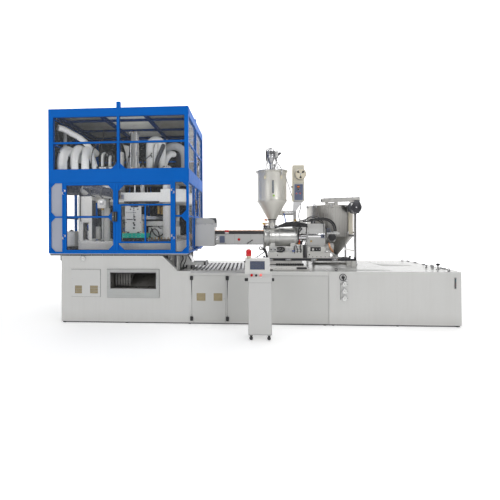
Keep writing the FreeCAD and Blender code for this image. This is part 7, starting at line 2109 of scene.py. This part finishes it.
def slab(pc, x0, x1, z0, z1, d0, d1, mat, b=1.0):
    """plate on the sloping front of the head; d0, d1 out of the face"""
    y0, y1 = head_y(z0), head_y(z1)
    pc.prism([(y0 - d0, z0), (y1 - d0, z1), (y1 - d1, z1), (y0 - d1, z0)], "x", x0, x1, mat, b)


slab(pc, 3376, 3627, 1190, 1202, -1, 4, "console_head", 1.5)
slab(pc, 3376, 3627, 1050, 1062, -1, 4, "console_head", 1.5)
slab(pc, 3376, 3389, 1062, 1190, -1, 4, "console_head", 1.5)
slab(pc, 3614, 3627, 1062, 1190, -1, 4, "console_head", 1.5)
zs0, zs1 = 1064, 1188
yA, yB = head_y(zs0) + 3.0, head_y(zs1) + 3.0
pc.quad_uv((3391, yA, zs0), (3612, yA, zs0), (3612, yB, zs1), (3391, yB, zs1), "display")
for x in (3340, 3352, 3664, 3676):
    for z in (1014, 1210):
        pc.screw((x, head_y(z), z), (0, -1, 0.155), 3.2, "steel")
pc.done()

pc = Piece("console_fittings")
# hinges and lock of the cabinet door, seams, vents, tag under the lit button
pc.box(3364, 3714, -931.2, -929.6, 868, 870.5, "seam", 0.3)
pc.box(3364, 3714, -931.2, -929.6, 96, 98.5, "seam", 0.3)
for x in (3372, 3706):
    for z in (884, 934):
        pc.screw((x, -930, z), (0, -1, 0), 2.4, "steel")
for z in spread(160, 300, 9):
    pc.box(3360.2, 3361.4, -870, -660, z, z + 7, "seam", 0.5)
    pc.box(3716.6, 3717.8, -870, -660, z, z + 7, "seam", 0.5)
# ledge: button collars and tags
n = math.hypot(54, 25)
ax = Vector((0, -54 / n, 25 / n))


def led(x, tt):
    return Vector((x, -930 + tt * 25, 946 + tt * 54))


for x in (3415, 3482, 3551):
    pc.ring(led(x, 0.55) - ax * 1.5, ax, 19, 13.5, 3.0, "steel", 40, 1)
q = led(3551, 0.12)
pc.box(3532, 3570, q.y - 3.5, q.y + 1.5, q.z - 3, q.z + 5, "whitep", 1)
for x in (3448, 3516):
    q = led(x, 0.4)
    pc.screw((q.x, q.y, q.z), ax, 2.8, "steel")
for i, s_ in enumerate("01"):
    q = led(3468 + 28 * i, 0.88) + ax * 0.3
    pc.text(s_, (q.x, q.y, q.z), 8, "blackp", 0.5, up=(0, 25 / n, 54 / n))
# arms of the side handles
for x0, x1, sx in ((3310, 3361, -1), (3717, 3757, 1)):
    for z in (888, 916):
        pc.screw(((x0 + x1) / 2, -830, z), (0, -1, 0), 4, "dark_steel")
    pc.box(min(x0, x1) + 4, max(x0, x1) - 4, -832.5, -829.5, 894, 910, "blackp", 1.5)
pc.lathe([(16, 0), (16, 6), (12, 10), (12, 20), (0, 22)], (3320, -880, 1180), (-1, -0.1, 0), "blackp", 22)
# beacon: ribs round the bell and the collar's foot
pc.ring((3373, -820, 1225), (0, 0, 1), 34, 20, 6, "blackp", 40, 1.5)
# cable gland at the back, cables dropping to the floor channel of the base
for k in range(3):
    x = 3480 + 50 * k
    pc.lathe([(16, 0), (16, 10), (12, 13), (12, 26), (9, 28)], (x, -600, 160), (0, 1, 0), "blackp", 20)
    pc.tube([(x, -572, 160), (x + 4, -480, 120), (x + 10, -330, 84), (x + 16, -160, 92), (x + 18, -50, 140), (x + 18, -8, 170)], 9, "hose", 12, smooth=8)
    pc.lathe([(17, 0), (17, 8), (12, 10)], (x + 18, -4, 172), (0, -1, 0.1), "blackp", 20)
pc.box(3380, 3700, -601.5, -598, 300, 900, "console_head", 2)
for z in spread(340, 860, 6):
    for x in (3392, 3688):
        pc.screw((x, -598, z), (0, 1, 0), 4, "steel")
# casters: swivel plates, bearing rings, axles
for x, y in ((3405, -880), (3673, -880), (3405, -650), (3673, -650)):
    pc.lathe([(24, 0), (27, 2), (27, 8), (22, 10)], (x, y, 70), (0, 0, 1), "dark_steel", 30)
    for s_ in (-1, 1):
        pc.lathe([(8, 0), (8, 3), (5, 5), (0, 5)], (x, y + s_ * 19, 28), (0, s_, 0), "dark_steel", 18)
pc.done()

for i, (x, y) in enumerate(((3405, -880), (3673, -880), (3405, -650), (3673, -650))):
    pc = Piece("wheel_hub_%d" % (i + 1), "wheel_%d" % (i + 1))
    for s_ in (-1, 1):
        pc.lathe([(19, 0), (19, 1.2), (10, 2.2), (6, 2.2)], (x, y + s_ * 13.5, 28), (0, s_, 0), "blackp", 26)
        for k in range(5):
            a = math.radians(72 * k)
            pc.screw((x + 14 * math.cos(a), y + s_ * 14.8, 28 + 14 * math.sin(a)), (0, s_, 0), 1.8, "dark_steel")
    pc.done()

# ------------------------------------------------------------------- stage ---
def stage():
    # pale seamless floor that turns up into a wall far behind the machine
    s, yb, h, rr = 40.0, 14.0, 26.0, 6.0
    prof = [(-40.0, 0.0), (yb - rr, 0.0)]
    for k in range(1, 13):
        a = math.pi / 2 * k / 12
        prof.append((yb - rr + rr * math.sin(a), rr - rr * math.cos(a)))
    prof.append((yb, h))
    vs, fs = [], []
    for y, z in prof:
        vs += [(-s, y, z), (s, y, z)]
    for i in range(len(prof) - 1):
        fs.append((2 * i, 2 * i + 1, 2 * i + 3, 2 * i + 2))
    me = bpy.data.meshes.new("floor")
    me.from_pydata(vs, [], fs)
    for q in me.polygons:
        q.use_smooth = True
    fl = bpy.data.objects.new("floor", me)
    m, nt, b = new_mat("floor_pale")
    vec, _ = coords(nt)
    c = ramp2(nt, noise(nt, vec, 0.6, 3), (0.87, 0.87, 0.87, 1), (0.91, 0.91, 0.91, 1))
    nt.links.new(c, b.inputs["Base Color"])
    # the floor behind the machine and the wall glow towards plain white
    sep = nt.nodes.new("ShaderNodeSeparateXYZ")
    tco = nt.nodes.new("ShaderNodeTexCoord")
    nt.links.new(tco.outputs["Object"], sep.inputs["Vector"])
    far = rng(nt, sep.outputs["Y"], 1.0, 9.0, FLOOR_GLOW[0], FLOOR_GLOW[1])
    mx = nt.nodes.new("ShaderNodeMix")
    mx.data_type = "RGBA"
    nt.links.new(far, mx.inputs["Factor"])
    mx.inputs["A"].default_value = (0, 0, 0, 1)
    mx.inputs["B"].default_value = (1, 1, 1, 1)
    nt.links.new(mx.outputs["Result"], b.inputs["Emission Color"])
    b.inputs["Emission Strength"].default_value = 1.0
    b.inputs["Roughness"].default_value = 0.7
    me.materials.append(m)
    scene.collection.objects.link(fl)
    w = bpy.data.worlds.new("studio")
    scene.world = w
    w.use_nodes = True
    nt = w.node_tree
    bg = nt.nodes["Background"]
    tc = nt.nodes.new("ShaderNodeTexCoord")
    sep = nt.nodes.new("ShaderNodeSeparateXYZ")
    nt.links.new(tc.outputs["Generated"], sep.inputs["Vector"])
    r = nt.nodes.new("ShaderNodeValToRGB")
    el = r.color_ramp.elements
    el[0].position, el[0].color = 0.0, (0.85, 0.85, 0.85, 1)
    el[1].position, el[1].color = 1.0, (1.0, 1.0, 1.0, 1)
    for pos, v in ((0.46, 0.85), (0.50, 0.60), (0.58, 0.55), (0.70, 0.85)):
        e = el.new(pos)
        e.color = (v, v, v * 1.01, 1)
    nt.links.new(rng(nt, sep.outputs["Z"], -1, 1, 0, 1), r.inputs["Fac"])
    nt.links.new(r.outputs["Color"], bg.inputs["Color"])
    bg.inputs["Strength"].default_value = WORLD

    def area(name, loc, target, size, power, col=(1, 1, 1)):
        ld = bpy.data.lights.new(name, "AREA")
        ld.shape = "RECTANGLE"
        ld.size, ld.size_y = size
        ld.energy = power
        ld.color = col
        o = bpy.data.objects.new(name, ld)
        o.location = loc
        d = Vector(target) - Vector(loc)
        o.rotation_euler = d.to_track_quat("-Z", "Y").to_euler()
        scene.collection.objects.link(o)

    for nm, loc, tgt, size, power in LIGHTS:
        area(nm, loc, tgt, size, power)
    # strip of light behind the guard's front beam, as the bright room gives
    scene.objects["strip"].visible_camera = False


FLOOR_GLOW, WORLD = (0.33, 0.95), 0.26
LIGHTS = [("key", (6.0, -9.0, 6.5), (0.5, 0, 1.2), (5, 4), 300), ("fill", (-6.5, -8.5, 5.0), (-0.5, 0, 1.4), (5, 4), 170),
          ("top", (0.3, 0.3, 9.0), (0.3, 0.3, 0), (10, 5), 330), ("back", (1.0, 9.0, 6.0), (0, 0, 1.5), (7, 3), 90),
          ("strip", (-2.2575, -0.556, 2.64), (-2.2575, 0.4, 2.5), (2.0, 0.2), 3)]
stage()
